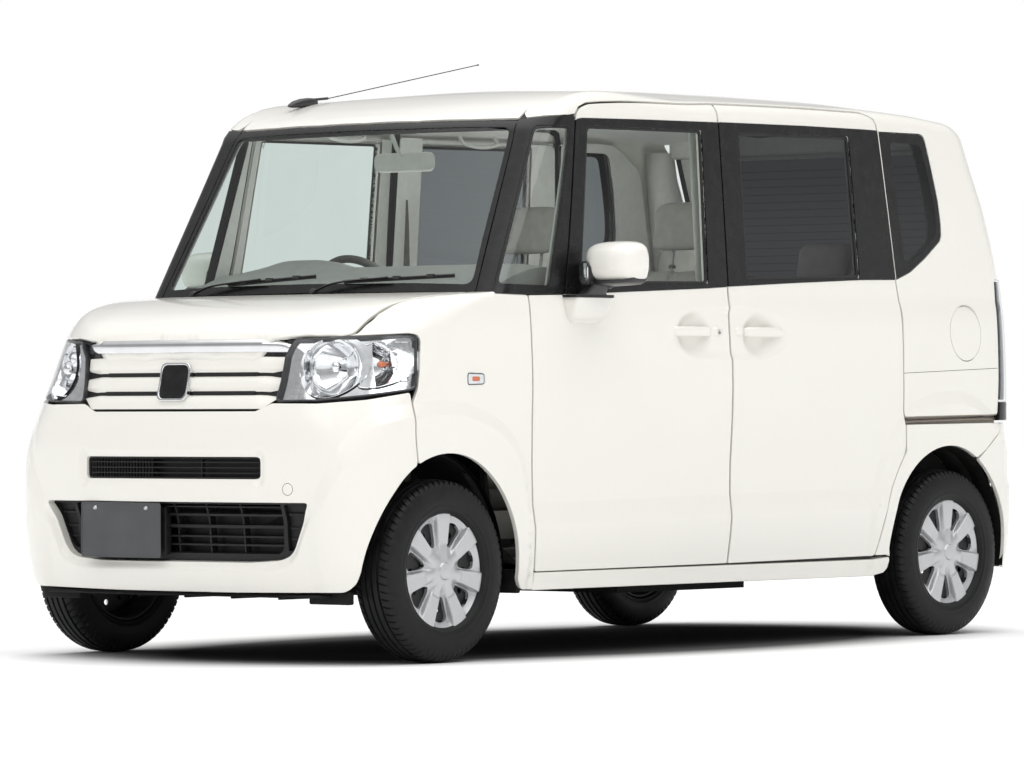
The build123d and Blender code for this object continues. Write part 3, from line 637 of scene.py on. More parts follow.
# bonnet height by distance behind its nose
NOSE = curve([(-20, 920), (0, 956), (10, 969), (24, 983), (45, 999), (80, 1020), (130, 1041), (200, 1061), (300, 1079), (420, 1092), (600, 1103), (800, 1108)])
HUB_Z, HUB_Y, ARCH = 271.0, 1260.0, 346.0
FXC, FYC, FRC = 480.0, -1400.0, 250.0       # plan corner that side panels turn about, front
BXC, BYC, BRC = 590.0, 1555.0, 125.0        # the same at the back


def plan_u(x, y):
    """Length along the side of the car, carried on round both corners."""
    x = np.abs(x)
    phi = np.arctan2(np.maximum(FYC - y, 0), np.maximum(x - FXC, 1e-6))
    front = np.where(x > FXC, FYC - FRC * phi, FYC - FRC * math.pi / 2 - (FXC - x))
    psi = np.arctan2(np.maximum(y - BYC, 0), np.maximum(x - BXC, 1e-6))
    rear = np.where(x > BXC, BYC + BRC * psi, BYC + BRC * math.pi / 2 + (BXC - x))
    return np.where(y < FYC, front, np.where(y > BYC, rear, y))


def plan_at(u):
    """Point and outward direction in plan for a length u."""
    u = np.asarray(u, float)
    phi = np.clip((FYC - u) / FRC, 0, math.pi / 2)
    psi = np.clip((u - BYC) / BRC, 0, math.pi / 2)
    fx = np.maximum(FYC - FRC * math.pi / 2 - u, 0)
    bx = np.maximum(u - (BYC + BRC * math.pi / 2), 0)
    y = np.clip(u, FYC, BYC)
    cx = np.where(u < FYC, FXC, np.where(u > BYC, BXC, 0))
    nx = np.where(u < FYC, np.cos(phi), np.where(u > BYC, np.cos(psi), 1.0))
    ny = np.where(u < FYC, -np.sin(phi), np.where(u > BYC, np.sin(psi), 0.0))
    return cx - fx - bx, y, nx, ny


def front_round(x, y, y0, big):
    return np.sqrt(x * x + (y - y0 - big) ** 2) - big


def rear_round(x, y, y0, big):
    return np.sqrt(x * x + (y - y0 + big) ** 2) - big


# crest of the flare over each wheel: length u, height
CREST_F = curve([(-2030, 466), (-1850, 470), (-1760, 477), (-1738, 486), (-1670, 602), (-1633, 670), (-1576, 727), (-1497, 754), (-1395, 768), (-1300, 774), (-1200, 768), (-1131, 751),
                 (-1042, 722), (-965, 672), (-918, 618), (-892, 555), (-876, 470)])
CREST_R = curve([(820, 470), (834, 493), (851, 546), (898, 644), (982, 729), (1069, 772), (1180, 795), (1281, 798), (1374, 781), (1468, 734), (1560, 660), (1640, 590), (1700, 560)])


def ledge(d, width, height):
    """Flat ledge: nothing above the crest, rising to full height over its width below it."""
    return 0.5 * (np.interp(d - 2, [0, width], [0, height]) + np.interp(d + 2, [0, width], [0, height]))


def flare(x, y, z):
    """How far the surface stands out round the wheels."""
    u = plan_u(x, y)

    def below(tab):
        slope = (tab(u + 2) - tab(u - 2)) / 4
        return (tab(u) - z) / np.sqrt(1 + slope * slope)
    f = ledge(below(CREST_F), 40, 10.5) * smooth((-866 - u) / 26) * smooth((u + 1960) / 160) * smooth((z - 150) / 120)
    r = ledge(below(CREST_R), 40, 10.5) * smooth((u - 806) / 36) * smooth((z - 150) / 120) * smooth((1690 - u) / 110)
    return np.where(u < 0, f, r)


BAND_Z = curve([(-900, 391), (-860, 392), (980, 420)])


def band(y, z):
    """Ledge pressed along the foot of the doors."""
    t = z - BAND_Z(y)
    tab = ([-130, -62, 0, 72], [0, 5.4, 9.4, 0])
    h = (np.interp(t - 2.5, *tab) + np.interp(t, *tab) + np.interp(t + 2.5, *tab)) / 3
    return h * smooth((y + 900) / 30) * smooth((1000 - y) / 110)


# handle recess outline in side view (y, z)
CUPS = [(-92.0, 978.0, 92.0, 76.0), (236.0, 974.0, 92.0, 76.0)]


def cup(y, z):
    """Shallow dished area round the door handles with a deeper finger cup."""
    cy, cz, a, b = 86.0, 979.0, 300.0, 82.0
    e = ((np.abs((y - cy) / a)) ** 3.4 + (np.abs((z - cz) / b)) ** 2.4)
    d = 7.0 * smooth((1.0 - e) / 0.62)
    for py, pz, pa, pb in CUPS:
        q = np.sqrt(((y - py) / pa) ** 2 + ((z - pz) / pb) ** 2)
        d = d + 17.0 * smooth((1.0 - q) / 0.55)
    return d


def poly_distance(px, py, poly):
    """Signed distance to a closed outline, positive outside."""
    d = np.full(px.shape, 1e18)
    ins = np.zeros(px.shape, bool)
    n = len(poly)
    for i in range(n):
        ax, ay = poly[i]
        bx, by = poly[(i + 1) % n]
        ex, ey = bx - ax, by - ay
        wx, wy = px - ax, py - ay
        t = np.clip((wx * ex + wy * ey) / (ex * ex + ey * ey), 0, 1)
        d = np.minimum(d, (wx - t * ex) ** 2 + (wy - t * ey) ** 2)
        if ay != by:
            hit = (ay > py) != (by > py)
            ins ^= hit & (px < ex * (py - ay) / ey + ax)
    d = np.sqrt(d)
    return np.where(ins, -d, d)


W_MID = -(FYC - FRC * math.pi / 2 - FXC)      # length from the middle of the front to u = 0
LOW_OPEN = [(-531, 476), (-468, 338), (-448, 318), (-412, 306), (-300, 299), (300, 299), (412, 306), (448, 318), (468, 338), (531, 476)]
UP_OPEN = [(-356, 545), (356, 545), (356, 610), (-356, 610)]
SCOOP = [(-418, 540), (-372, 532), (372, 532), (418, 540), (400, 577), (390, 616), (-390, 616), (-400, 577)]


def front_bump(x, y, z):
    """Dished edges round the two openings of the front bumper."""
    sel = (y < -1500) & (z < 680) & (z > 240)
    if not np.any(sel):
        return 0.0
    w = plan_u(x, y) + W_MID
    lo = poly_distance(w, z, [(a, b) for a, b in LOW_OPEN])
    d = 15.0 * smooth((30 - lo) / 30) * smooth((470 - z) / 60)
    up = poly_distance(w, z, UP_OPEN)
    ends = smooth((w - 330) / 30)
    d = d + 11.0 * smooth((30 - up) / 30) * ends + 3.0 * smooth((20 - up) / 20) * (1 - ends)
    return np.where(sel, d, 0.0)


def side_bump(x, y, z):
    w = smooth((np.abs(x) - 520) / 60)
    out = flare(x, y, z) + band(y, z)
    near = (y > -330) & (y < 520) & (z > 860) & (z < 1100)
    if np.any(near):
        out = out - np.where(near, cup(y, z), 0)
    return out * w


def hood_z(x, y):
    x = np.abs(x)
    c = x * x / 7600.0 + np.where(x > 380, 380 - np.sqrt(np.maximum(380 ** 2 - np.clip(x - 380, 0, 379) ** 2, 0)), 0)
    d = y + 1648
    shift = c / (1 + (np.clip(d, 0, 2000) / 260.0) ** 2)
    return NOSE(d - shift) - 4.0 * (x / 640.0) ** 2


def plan_front(x, y, z):
    a = np.abs(x) - HW(z)
    r = RF(z)
    return rmax(a, front_round(x, y, YF(z), 3700.0), r)


def F_low(x, y, z):
    """Bonnet, wings, doors and bumper."""
    f = plan_front(x, y, z)
    f = rmax(f, rear_round(x, y, YR(z), 6000.0), RR(z))
    ax = np.abs(x)
    fade = smooth((-1035 - y) / 240)
    k = 10 + 66 * smooth((ax - 330) / 280) * fade
    top = z - hood_z(x, y) - 400 * smooth((y + 1040) / 60)
    f = rmax(f, top, k)
    return f - side_bump(x, y, z) + front_bump(x, y, z)


def roof_z(x, y):
    """Roof height: crowned across, the crown dying out towards the header, which follows the windscreen's bow."""
    shift = x * x / 5760.0 * smooth((-420 - y) / 340)
    return ROOF(y - shift) - 1.39e-4 * x * x * smooth((y + 640) / 640)


def F_side(x, y, z):
    """Doors, body sides, greenhouse and roof."""
    a = np.abs(x) - HW(z)
    f = rmax(a, front_round(x, y, YW(z), RW(z)), 55.0)
    f = rmax(f, rear_round(x, y, YR(z), 6000.0), RR(z))
    f = rmax(f, z - roof_z(x, y), 24 + 18 * smooth((y + 900) / 300))
    return f - side_bump(x, y, z)


def F_rearbump(x, y, z):
    """Rear bumper: as the sides, standing out behind."""
    a = np.abs(x) - HW(z)
    yr = YR(z) + 13 * smooth((505 - z) / 24) + 8 * smooth((np.abs(x) - 560) / 60) * smooth((720 - z) / 60)
    f = rmax(a, rear_round(x, y, yr, 5200.0), RR(z) + 8)
    return f - side_bump(x, y, z)


def gradient(F, p, h=0.6):
    g = np.zeros_like(p)
    for i in range(3):
        d = np.zeros(3)
        d[i] = h
        a, b = p + d, p - d
        g[:, i] = F(a[:, 0], a[:, 1], a[:, 2]) - F(b[:, 0], b[:, 1], b[:, 2])
    return unit(g)


def shoot(F, o, d, t1=900.0, level=0.0):
    """Point along rays from inside where F reaches the level: halving first, then false position."""
    def at(t):
        p = o + d * t[:, None]
        return F(p[:, 0], p[:, 1], p[:, 2]) - level
    lo = np.zeros(len(o))
    hi = np.full(len(o), float(t1))
    flo, fhi = np.full(len(o), -1.0), at(hi)
    for k in range(7):
        mid = (lo + hi) / 2
        f = at(mid)
        out = f > 0
        hi, fhi = np.where(out, mid, hi), np.where(out, f, fhi)
        lo, flo = np.where(out, lo, mid), np.where(out, flo, f)
    flo = np.minimum(flo, -1e-9)
    fhi = np.maximum(fhi, 1e-9)
    last = np.zeros(len(o))
    for k in range(9):
        mid = np.clip((lo * fhi - hi * flo) / (fhi - flo), lo, hi)
        f = at(mid)
        out = f > 0
        flo = np.where(out & (last > 0), flo * 0.5, flo)
        fhi = np.where(~out & (last < 0), fhi * 0.5, fhi)
        hi, fhi = np.where(out, mid, hi), np.where(out, np.maximum(f, 1e-12), fhi)
        lo, flo = np.where(out, lo, mid), np.where(out, flo, np.minimum(f, -1e-12))
        last = np.where(out, 1.0, -1.0)
    return o + d * (np.where(np.abs(flo) < np.abs(fhi), lo, hi))[:, None]


# ---------------------------------------------------------------- ways of laying a flat outline on the body
class SideMap:
    """(u, v): length along the side and height; past v0 the rays fan upwards about a line inside."""

    def __init__(self, F, v0=5000.0, depth=150.0, ref=130.0, hw_ref=737.0):
        self.F, self.v0, self.depth, self.ref, self.hw = F, v0, depth, ref, hw_ref

    def rays(self, uv):
        cx, cy, nx, ny = plan_at(uv[:, 0])
        on_side = (uv[:, 0] >= FYC) & (uv[:, 0] <= BYC)
        in_f = uv[:, 0] < FYC
        # origin: on the side a fixed depth behind the skin, at the corners the turning centre
        base = np.where(on_side, self.hw - self.depth, 0.0)
        ox = np.where(on_side, base, cx)
        oy = cy
        if self.v0 < 4000:
            # keep the fan's line continuous round the corner
            rf = (self.hw - self.depth) - FXC
            ox = np.where(in_f, cx + rf * nx, ox)
            oy = np.where(in_f, cy + rf * ny, oy)
            rb = (self.hw - self.depth) - BXC
            in_b = uv[:, 0] > BYC
            ox = np.where(in_b, cx + rb * nx, ox)
            oy = np.where(in_b, cy + rb * ny, oy)
        else:
            ox = np.where(on_side, 300.0, ox)
        a = np.maximum(uv[:, 1] - self.v0, 0) / self.ref
        z = np.minimum(uv[:, 1], self.v0)
        o = np.stack([ox, oy, z], 1)
        d = np.stack([np.cos(a) * nx, np.cos(a) * ny, np.sin(a)], 1)
        return o, d

    def __call__(self, uv, level=0.0):
        o, d = self.rays(np.asarray(uv, float))
        return shoot(self.F, o, d, level=level)

    def normal(self, p):
        return gradient(self.F, p)


class TopMap:
    """(x, y) seen from above; rays go up."""

    def __init__(self, F, z0):
        self.F, self.z0 = F, z0

    def __call__(self, uv, level=0.0):
        uv = np.asarray(uv, float)
        o = np.stack([uv[:, 0], uv[:, 1], np.full(len(uv), self.z0)], 1)
        return shoot(self.F, o, np.tile([0.0, 0.0, 1.0], (len(uv), 1)), level=level)

    def normal(self, p):
        return gradient(self.F, p)


class EndMap:
    """(x, z) seen from the front (side=-1) or the back (side=+1)."""

    def __init__(self, F, side, y0=0.0):
        self.F, self.side, self.y0 = F, side, y0

    def __call__(self, uv, level=0.0):
        uv = np.asarray(uv, float)
        o = np.stack([uv[:, 0], np.full(len(uv), self.y0), uv[:, 1]], 1)
        return shoot(self.F, o, np.tile([0.0, float(self.side), 0.0], (len(uv), 1)), t1=2600, level=level)

    def normal(self, p):
        return gradient(self.F, p)


def panel(mp, outline, holes=(), step=22.0, edge=9.0, hem=3.0, flange=12.0, hole_flange=None, back=None, fine=(), lines=(), offset=0.0,
          mat=0, rim_mat=None, back_mat=None, cut=6.0, hole_cut=None, flip=False, sink=0.0):
    """A skin laid on the body: rounded folded edges, flange, and if back is given a closed inner face at that depth."""
    s = Shape()
    rim_mat = mat if rim_mat is None else rim_mat
    back_mat = mat if back_mat is None else back_mat
    loops = []
    for i, lp in enumerate([outline] + list(holes)):
        q = soften(lp, cut if i == 0 else (cut if hole_cut is None else hole_cut))
        q = resample(tidy(q), edge)
        q = ccw(q)
        loops.append(q if i == 0 else q[::-1])
    top = [inset(lp, hem) for lp in loops]
    co, tri, rims = triangulate(top[0], top[1:], step, fine, lines)
    p = mp(co)
    n = mp.normal(p)
    # direction of increasing (u, v) decides which way the faces look
    e = 0.5
    du = mp(co[:40] + [e, 0]) - p[:40]
    dv = mp(co[:40] + [0, e]) - p[:40]
    sign = np.sign(np.median(np.sum(np.cross(du, dv) * n[:40], axis=1)))
    tri = tri if sign > 0 else tri[:, ::-1]
    if offset or sink:
        p = p + n * (offset - sink)
    s.add(p, tri, n, mat)
    rows_mat = []
    for i, lp in enumerate(loops):
        fl = flange if i == 0 or hole_flange is None else hole_flange
        depth_end = back if back is not None else fl
        k = len(lp)
        prof = [(hem, 0.0, 0.0), (hem * 0.30, hem * 0.30, 45.0), (0.0, hem, 90.0), (0.0, depth_end, 90.0)]
        vs, ns = [], []
        prev = np.roll(lp, 1, axis=0)
        nxt = np.roll(lp, -1, axis=0)
        base0 = mp(lp)
        nor0 = mp.normal(base0)
        tan = unit(mp(nxt) - mp(prev))
        outw = unit(np.cross(tan, nor0)) * sign
        for ins, dep, ang in prof:
            b = mp(inset(lp, ins)) if ins > 0 else base0
            nb = mp.normal(b) if ins > 0 else nor0
            b = b + nb * (offset - sink - dep)
            vs.append(b)
            a = math.radians(ang)
            ns.append(unit(nb * math.cos(a) + outw * math.sin(a)))
        f = grid_faces(len(prof), k, wrap_c=True, flip=(sign < 0))
        f = [q[::-1] for q in f]
        s.add(np.concatenate(vs), f, np.concatenate(ns), rim_mat)
    if back is not None:
        pb = p - n * back
        s.add(pb, tri[:, ::-1], -n, back_mat)
        # close between the flange foot and the inner face
        for i, lp in enumerate(loops):
            rim = rims[i]
            b0 = mp(lp)
            foot = b0 + mp.normal(b0) * (offset - sink - back)
            v = np.concatenate([foot, pb[rim]])
            k = len(lp)
            f = grid_faces(2, k, wrap_c=True, flip=(sign < 0))
            s.add(v, [q[::-1] for q in f], np.concatenate([-mp.normal(b0), -n[rim]]), back_mat)
    return s


class FrontMap:
    """(w, v): length from the middle of the front round either corner, and height; past v0 fans up."""

    def __init__(self, F, v0=5000.0, depth=150.0, ref=130.0):
        self.side = SideMap(F, v0, depth, ref)
        self.F = F

    def __call__(self, wv, level=0.0):
        wv = np.asarray(wv, float)
        s = np.where(wv[:, 0] >= 0, 1.0, -1.0)
        p = self.side(np.stack([np.abs(wv[:, 0]) - W_MID, wv[:, 1]], 1), level)
        p[:, 0] *= s
        return p

    def normal(self, p):
        return gradient(self.F, p)


class BackMap(FrontMap):
    """(w, v): as FrontMap, measured from the middle of the back."""

    def __call__(self, wv, level=0.0):
        wv = np.asarray(wv, float)
        s = np.where(wv[:, 0] >= 0, 1.0, -1.0)
        p = self.side(np.stack([B_MID - np.abs(wv[:, 0]), wv[:, 1]], 1), level)
        p[:, 0] *= s
        return p


B_MID = BYC + BRC * math.pi / 2 + BXC         # u at the middle of the back


def to_uv(mp, p):
    """Side-map coordinates of points on the surface."""
    p = np.asarray(p, float)
    x, y, z = np.abs(p[:, 0]), p[:, 1], p[:, 2]
    u = plan_u(x, y)
    lat = x - (mp.hw - mp.depth)
    rf, rb = (mp.hw - mp.depth) - FXC, (mp.hw - mp.depth) - BXC
    lat = np.where(y < FYC, np.where(x > FXC, np.hypot(x - FXC, y - FYC), FYC - y) - rf, lat)
    lat = np.where(y > BYC, np.where(x > BXC, np.hypot(x - BXC, y - BYC), y - BYC) - rb, lat)
    a = np.arctan2(np.maximum(z - mp.v0, 0), lat)
    return np.stack([u, np.where(z > mp.v0, mp.v0 + mp.ref * a, z)], 1)


def from_side(mp, yz):
    """Side-map coordinates of points given in side view (y, z)."""
    q = np.asarray([t[:2] for t in yz], float)
    o = np.stack([np.full(len(q), 150.0), q[:, 0], q[:, 1]], 1)
    return to_uv(mp, shoot(mp.F, o, np.tile([1.0, 0.0, 0.0], (len(q), 1))))


def line_uv(points, step=10.0):
    return resample(np.array(points, float), step, closed=False)


def crest_lines(tab, u0, u1, offsets=(-11, 0, 11), step=9.0):
    out = []
    us = np.arange(u0, u1, step)
    zs = tab(us)
    p = np.stack([us, zs], 1)
    # equal spacing along the curve
    seg = np.concatenate([[0], np.cumsum(np.linalg.norm(np.diff(p, axis=0), axis=1))])
    q = np.arange(0, seg[-1], step)
    p = np.stack([np.interp(q, seg, p[:, 0]), np.interp(q, seg, p[:, 1])], 1)
    t = unit(np.gradient(p, axis=0))
    nn = np.stack([-t[:, 1], t[:, 0]], 1)
    for o in offsets:
        out.append(p + nn * o)
    return out


class GlassMap:
    """Greenhouse: u = 0 where the side turns into the pillar, negative round the pillar and over the windscreen; v is height."""
    R = 60.0

    def __init__(self, F=F_side):
        self.F = F

    def centre(self, z):
        xc = HW(z) - self.R
        r = RW(z)
        return xc, YW(z) + r - np.sqrt(r * r - xc * xc) + self.R

    def __call__(self, uv, level=0.0):
        uv = np.asarray(uv, float)
        u, z = uv[:, 0], uv[:, 1]
        xc, yc = self.centre(z)
        phi = np.clip(-u / self.R, 0, math.pi / 2)
        fx = np.maximum(-u - self.R * math.pi / 2, 0)
        o = np.stack([xc - fx, yc + np.maximum(u, 0), z], 1)
        d = np.stack([np.cos(phi), -np.sin(phi), np.zeros_like(phi)], 1)
        return shoot(self.F, o, d, level=level)

    def normal(self, p):
        return gradient(self.F, p)

    def uv(self, p):
        p = np.atleast_2d(np.asarray(p, float))
        x, y, z = np.abs(p[:, 0]), p[:, 1], p[:, 2]
        xc, yc = self.centre(z)
        phi = np.arctan2(np.maximum(yc - y, 0), np.maximum(x - xc, 1e-6))
        u = np.where(y >= yc, y - yc, np.where(x > xc, -self.R * phi, -self.R * math.pi / 2 - (xc - x)))
        return np.stack([u, z], 1)


G_MAP = GlassMap()


# ================================================================ materials
def new_mat(name):
    m = bpy.data.materials.new(name)
    m.use_nodes = True
    nt = m.node_tree
    nt.nodes.clear()
    out = nt.nodes.new("ShaderNodeOutputMaterial")
    b = nt.nodes.new("ShaderNodeBsdfPrincipled")
    nt.links.new(b.outputs[0], out.inputs[0])
    return m, nt, b, out


def noise(nt, scale, detail=3.0, rough=0.5, coords=None, kind="ShaderNodeTexNoise"):
    t = nt.nodes.new(kind)
    t.inputs["Scale"].default_value = scale
    if "Detail" in t.inputs:
        t.inputs["Detail"].default_value = detail
        t.inputs["Roughness"].default_value = rough
    if coords is None:
        coords = nt.nodes.new("ShaderNodeTexCoord").outputs["Object"]
    nt.links.new(coords, t.inputs["Vector"])
    return t


def ramp(nt, src, stops):
    r = nt.nodes.new("ShaderNodeValToRGB")
    cr = r.color_ramp
    while len(cr.elements) < len(stops):
        cr.elements.new(0.5)
    for e, (p, c) in zip(cr.elements, stops):
        e.position = p
        e.color = (c, c, c, 1) if np.isscalar(c) else (*c, 1)
    nt.links.new(src, r.inputs[0])
    return r.outputs[0]


def bump(nt, b, src, strength, dist=0.001, chain=None):
    n = nt.nodes.new("ShaderNodeBump")
    n.inputs["Strength"].default_value = strength
    n.inputs["Distance"].default_value = dist
    nt.links.new(src, n.inputs["Height"])
    if chain is not None:
        nt.links.new(chain, n.inputs["Normal"])
    nt.links.new(n.outputs[0], b.inputs["Normal"])
    return n.outputs[0]


def scaled(nt, sx, sy, sz, rot=(0, 0, 0)):
    c = nt.nodes.new("ShaderNodeTexCoord")
    mp = nt.nodes.new("ShaderNodeMapping")
    mp.inputs["Scale"].default_value = (sx, sy, sz)
    mp.inputs["Rotation"].default_value = rot
    nt.links.new(c.outputs["Object"], mp.inputs["Vector"])
    return mp.outputs[0]


def plain(name, c0, c1, rough=(0.4, 0.5), scale=40, metal=0.0, bump_s=0.0, bump_scale=400, coat=0.0, coat_r=0.05, spec=0.5, detail=4, dist=0.0006):
    """Colour and roughness vary with noise between two values; fine grain in the bump."""
    m, nt, b, _ = new_mat(name)
    t = noise(nt, scale, detail)
    nt.links.new(ramp(nt, t.outputs["Fac"], [(0.3, c0), (0.7, c1)]), b.inputs["Base Color"])
    nt.links.new(ramp(nt, t.outputs["Fac"], [(0.3, rough[0]), (0.7, rough[1])]), b.inputs["Roughness"])
    b.inputs["Metallic"].default_value = metal
    b.inputs["Coat Weight"].default_value = coat
    b.inputs["Coat Roughness"].default_value = coat_r
    b.inputs["Specular IOR Level"].default_value = spec
    if bump_s:
        g = noise(nt, bump_scale, 3)
        bump(nt, b, g.outputs["Fac"], bump_s, dist)
    return m


def paint_mat():
    m, nt, b, _ = new_mat("pearl_paint")
    flake = noise(nt, 1400, 2, 0.6)
    broad = noise(nt, 3.0, 2)
    mix = nt.nodes.new("ShaderNodeMix")
    mix.data_type = "RGBA"
    mix.inputs["Factor"].default_value = 0.35
    nt.links.new(ramp(nt, flake.outputs["Fac"], [(0.35, (0.785, 0.765, 0.705)), (0.65, (0.865, 0.85, 0.80))]), mix.inputs[6])
    nt.links.new(ramp(nt, broad.outputs["Fac"], [(0.3, (0.82, 0.80, 0.742)), (0.7, (0.838, 0.82, 0.765))]), mix.inputs[7])
    nt.links.new(mix.outputs[2], b.inputs["Base Color"])
    nt.links.new(ramp(nt, flake.outputs["Fac"], [(0.3, 0.32), (0.7, 0.42)]), b.inputs["Roughness"])
    b.inputs["Coat Weight"].default_value = 0.8
    b.inputs["Coat Roughness"].default_value = 0.03
    b.inputs["Specular IOR Level"].default_value = 0.35
    return m


def glass_mat(name, color, trans_strength, rough=0.0, dirt=0.02):
    """Thin pane: tinted see-through mixed with a mirror-like gloss by angle."""
    m, nt, b, out = new_mat(name)
    nt.nodes.remove(b)
    tr = nt.nodes.new("ShaderNodeBsdfTransparent")
    gl = nt.nodes.new("ShaderNodeBsdfGlossy")
    gl.inputs["Roughness"].default_value = 0.02
    t = noise(nt, 6.0, 2)
    c0 = tuple(max(0, c * (1 - dirt)) for c in color)
    nt.links.new(ramp(nt, t.outputs["Fac"], [(0.3, c0), (0.7, color)]), tr.inputs["Color"])
    lw = nt.nodes.new("ShaderNodeLayerWeight")
    lw.inputs["Blend"].default_value = 0.5
    pw = nt.nodes.new("ShaderNodeMath")
    pw.operation = "POWER"
    nt.links.new(lw.outputs["Facing"], pw.inputs[0])
    pw.inputs[1].default_value = 4.5
    ma = nt.nodes.new("ShaderNodeMath")
    ma.operation = "MULTIPLY_ADD"
    f0 = ((trans_strength - 1) / (trans_strength + 1)) ** 2
    nt.links.new(pw.outputs[0], ma.inputs[0])
    ma.inputs[1].default_value = 0.9 - f0
    ma.inputs[2].default_value = f0
    mx = nt.nodes.new("ShaderNodeMixShader")
    nt.links.new(ma.outputs[0], mx.inputs[0])
    nt.links.new(tr.outputs[0], mx.inputs[1])
    nt.links.new(gl.outputs[0], mx.inputs[2])
    nt.links.new(mx.outputs[0], out.inputs[0])
    return m


PAINT = paint_mat()
M_BLACK_GLOSS = plain("black_gloss_trim", (0.007, 0.007, 0.0075), (0.012, 0.012, 0.0125), (0.2, 0.3), 30, bump_s=0.02, bump_scale=900, spec=0.32)
M_BLACK = plain("black_plastic", (0.010, 0.010, 0.010), (0.018, 0.018, 0.018), (0.45, 0.6), 60, bump_s=0.25, bump_scale=1200, spec=0.3)
M_RUBBER = plain("seal_rubber", (0.012, 0.012, 0.012), (0.022, 0.022, 0.022), (0.5, 0.7), 50, bump_s=0.1, bump_scale=900)
M_UNDER = plain("underbody_coat", (0.007, 0.007, 0.007), (0.015, 0.0145, 0.014), (0.6, 0.85), 25, bump_s=0.5, bump_scale=260, spec=0.2)
M_CHROME = plain("chrome", (0.70, 0.705, 0.71), (0.77, 0.775, 0.78), (0.05, 0.09), 12, metal=1.0)
M_SATIN = plain("satin_metal", (0.62, 0.61, 0.585), (0.72, 0.71, 0.68), (0.22, 0.32), 20, metal=1.0, bump_s=0.03, bump_scale=1500)
M_REFLECT = plain("lamp_reflector", (0.84, 0.85, 0.86), (0.94, 0.94, 0.95), (0.05, 0.12), 60, metal=1.0, bump_s=0.02, bump_scale=200)
M_CLEAR = glass_mat("clear_glass_green", (0.79, 0.845, 0.825), 1.55)
M_DARK_GLASS = glass_mat("privacy_glass", (0.155, 0.165, 0.175), 1.5)
M_LENS = glass_mat("lamp_lens_clear", (0.955, 0.965, 0.97), 1.45)
M_MIRROR = plain("mirror_silver", (0.80, 0.82, 0.83), (0.86, 0.87, 0.88), (0.01, 0.03), 10, metal=1.0)


# ================================================================ painted panels
S_MAP = SideMap(F_side, v0=1600.0, depth=167.0, ref=120.0)      # doors, quarters, roof rails
L_MAP = SideMap(F_low, v0=960.0, depth=150.0, ref=130.0)        # wings
F_MAP = FrontMap(F_low)                                         # bumper, lamps
T_ROOF = TopMap(F_side, 1400.0)
T_HOOD = TopMap(F_low, 800.0)
PIECES = {}


def finish_pair(name, shape, mats, body_l, body_r, replaces=(), smooth_angle=None):
    """Make the left piece and its mirror image; each rides on its own body."""
    for side, sh, body in (("left", shape, body_l), ("right", shape.mirrored(), body_r)):
        ob = sh.make(name + "_" + side, mats, smooth_angle)
        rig.ride(ob, body)
        nodes = [n.replace("*", side) for n in replaces]
        if nodes:
            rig.replaces(ob, *nodes)
        PIECES[name + "_" + side] = ob


def finish_one(name, shape, mats, body="shell", replaces=(), smooth_angle=None):
    ob = shape.make(name, mats, smooth_angle)
    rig.ride(ob, body)
    if replaces:
        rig.replaces(ob, *replaces)
    PIECES[name] = ob
    return ob


FRONT_DOOR = [(-844, 259), (-861, 415), (-867, 565), (-877, 714), (-877, 1089), (-706, 1092), (-673, 1246), (-639, 1433), (-606, 1622), (-603, 1640), (-587, 1660), (-549, 1675),
              (-378, 1686), (86, 1697), (86, 262)]
FRONT_DOOR_CUT = [10, 40, 40, 40, 4, 6, 60, 60, 12, 12, 14, 20, 60, 5, 4]
SLIDE_DOOR = [(94, 262), (94, 1697), (535, 1700), (858, 1697), (906, 1680), (918, 1646), (968, 1161), (990, 1040), (982, 861), (984, 716), (996, 603), (943, 525),
              (886, 420), (853, 302), (840, 268)]
SLIDE_CUT = [4, 5, 60, 30, 24, 20, 60, 60, 60, 50, 30, 40, 50, 50, 10]
DOOR_WIN_F = [(-634, 1128), (-560, 1600), (-548, 1609), (4, 1613), (-8, 1134)]
DOOR_WIN_S = [(188, 1148), (188, 1613), (764, 1619), (778, 1162)]


def door_shell(outline, cuts, window, rear_open=None):
    o = from_side(S_MAP, outline)
    w = from_side(S_MAP, window)
    y0, y1 = min(p[0] for p in outline), max(p[0] for p in outline)
    lines = [line_uv([(y, float(BAND_Z(y)) + k) for y in (y0, y1)], 12) for k in (-5, 0, 5, 67, 72, 77)]
    crest = CREST_F if y0 < -500 else CREST_R
    if y0 < -500:
        lines += crest_lines(crest, -900, -868, (-40, 0, 6))
    else:
        lines += crest_lines(crest, 812, 985, (-44, -38, -4, 2))
    fine = [(-330, 84, 880, 1078, 7.0)] if y0 < -500 else [(96, 420, 880, 1078, 7.0)]
    return panel(S_MAP, o, [w], step=22, edge=11, hem=2.6, flange=13, hole_flange=24, cut=cuts, hole_cut=10, lines=lines, fine=fine)


door_f = door_shell(FRONT_DOOR, FRONT_DOOR_CUT, DOOR_WIN_F)
door_s = door_shell(SLIDE_DOOR, SLIDE_CUT, DOOR_WIN_S)
finish_pair("front_door_skin", door_f, [PAINT], "door_left", "door_right", ["front_door_*"])
finish_pair("sliding_door_skin", door_s, [PAINT], "shell", "shell", ["sliding_door_*"])


def arch(cy, a, b, t0, t1, n=26, cz=270.0):
    """Wheel opening in side view, from angle t0 to t1 (0 = rearwards, 90 = up)."""
    return [(cy + a * math.cos(math.radians(t)), cz + b * math.sin(math.radians(t))) for t in np.linspace(t0, t1, n)]


# wing
wing_side = [(-848, 206), (-850, 262), (-867, 415), (-873, 565), (-883, 714), (-883, 1090), (-1036, 1092)]
seam3 = np.array([(648, -1045, 1094), (640, -1130, 1096), (637, -1216, 1090), (626, -1344, 1070), (613, -1437, 1046), (600, -1480, 1026), (590, -1508, 1000), (585, -1526, 976)])


def on_hood(xy):
    return T_HOOD(np.array(xy, float))


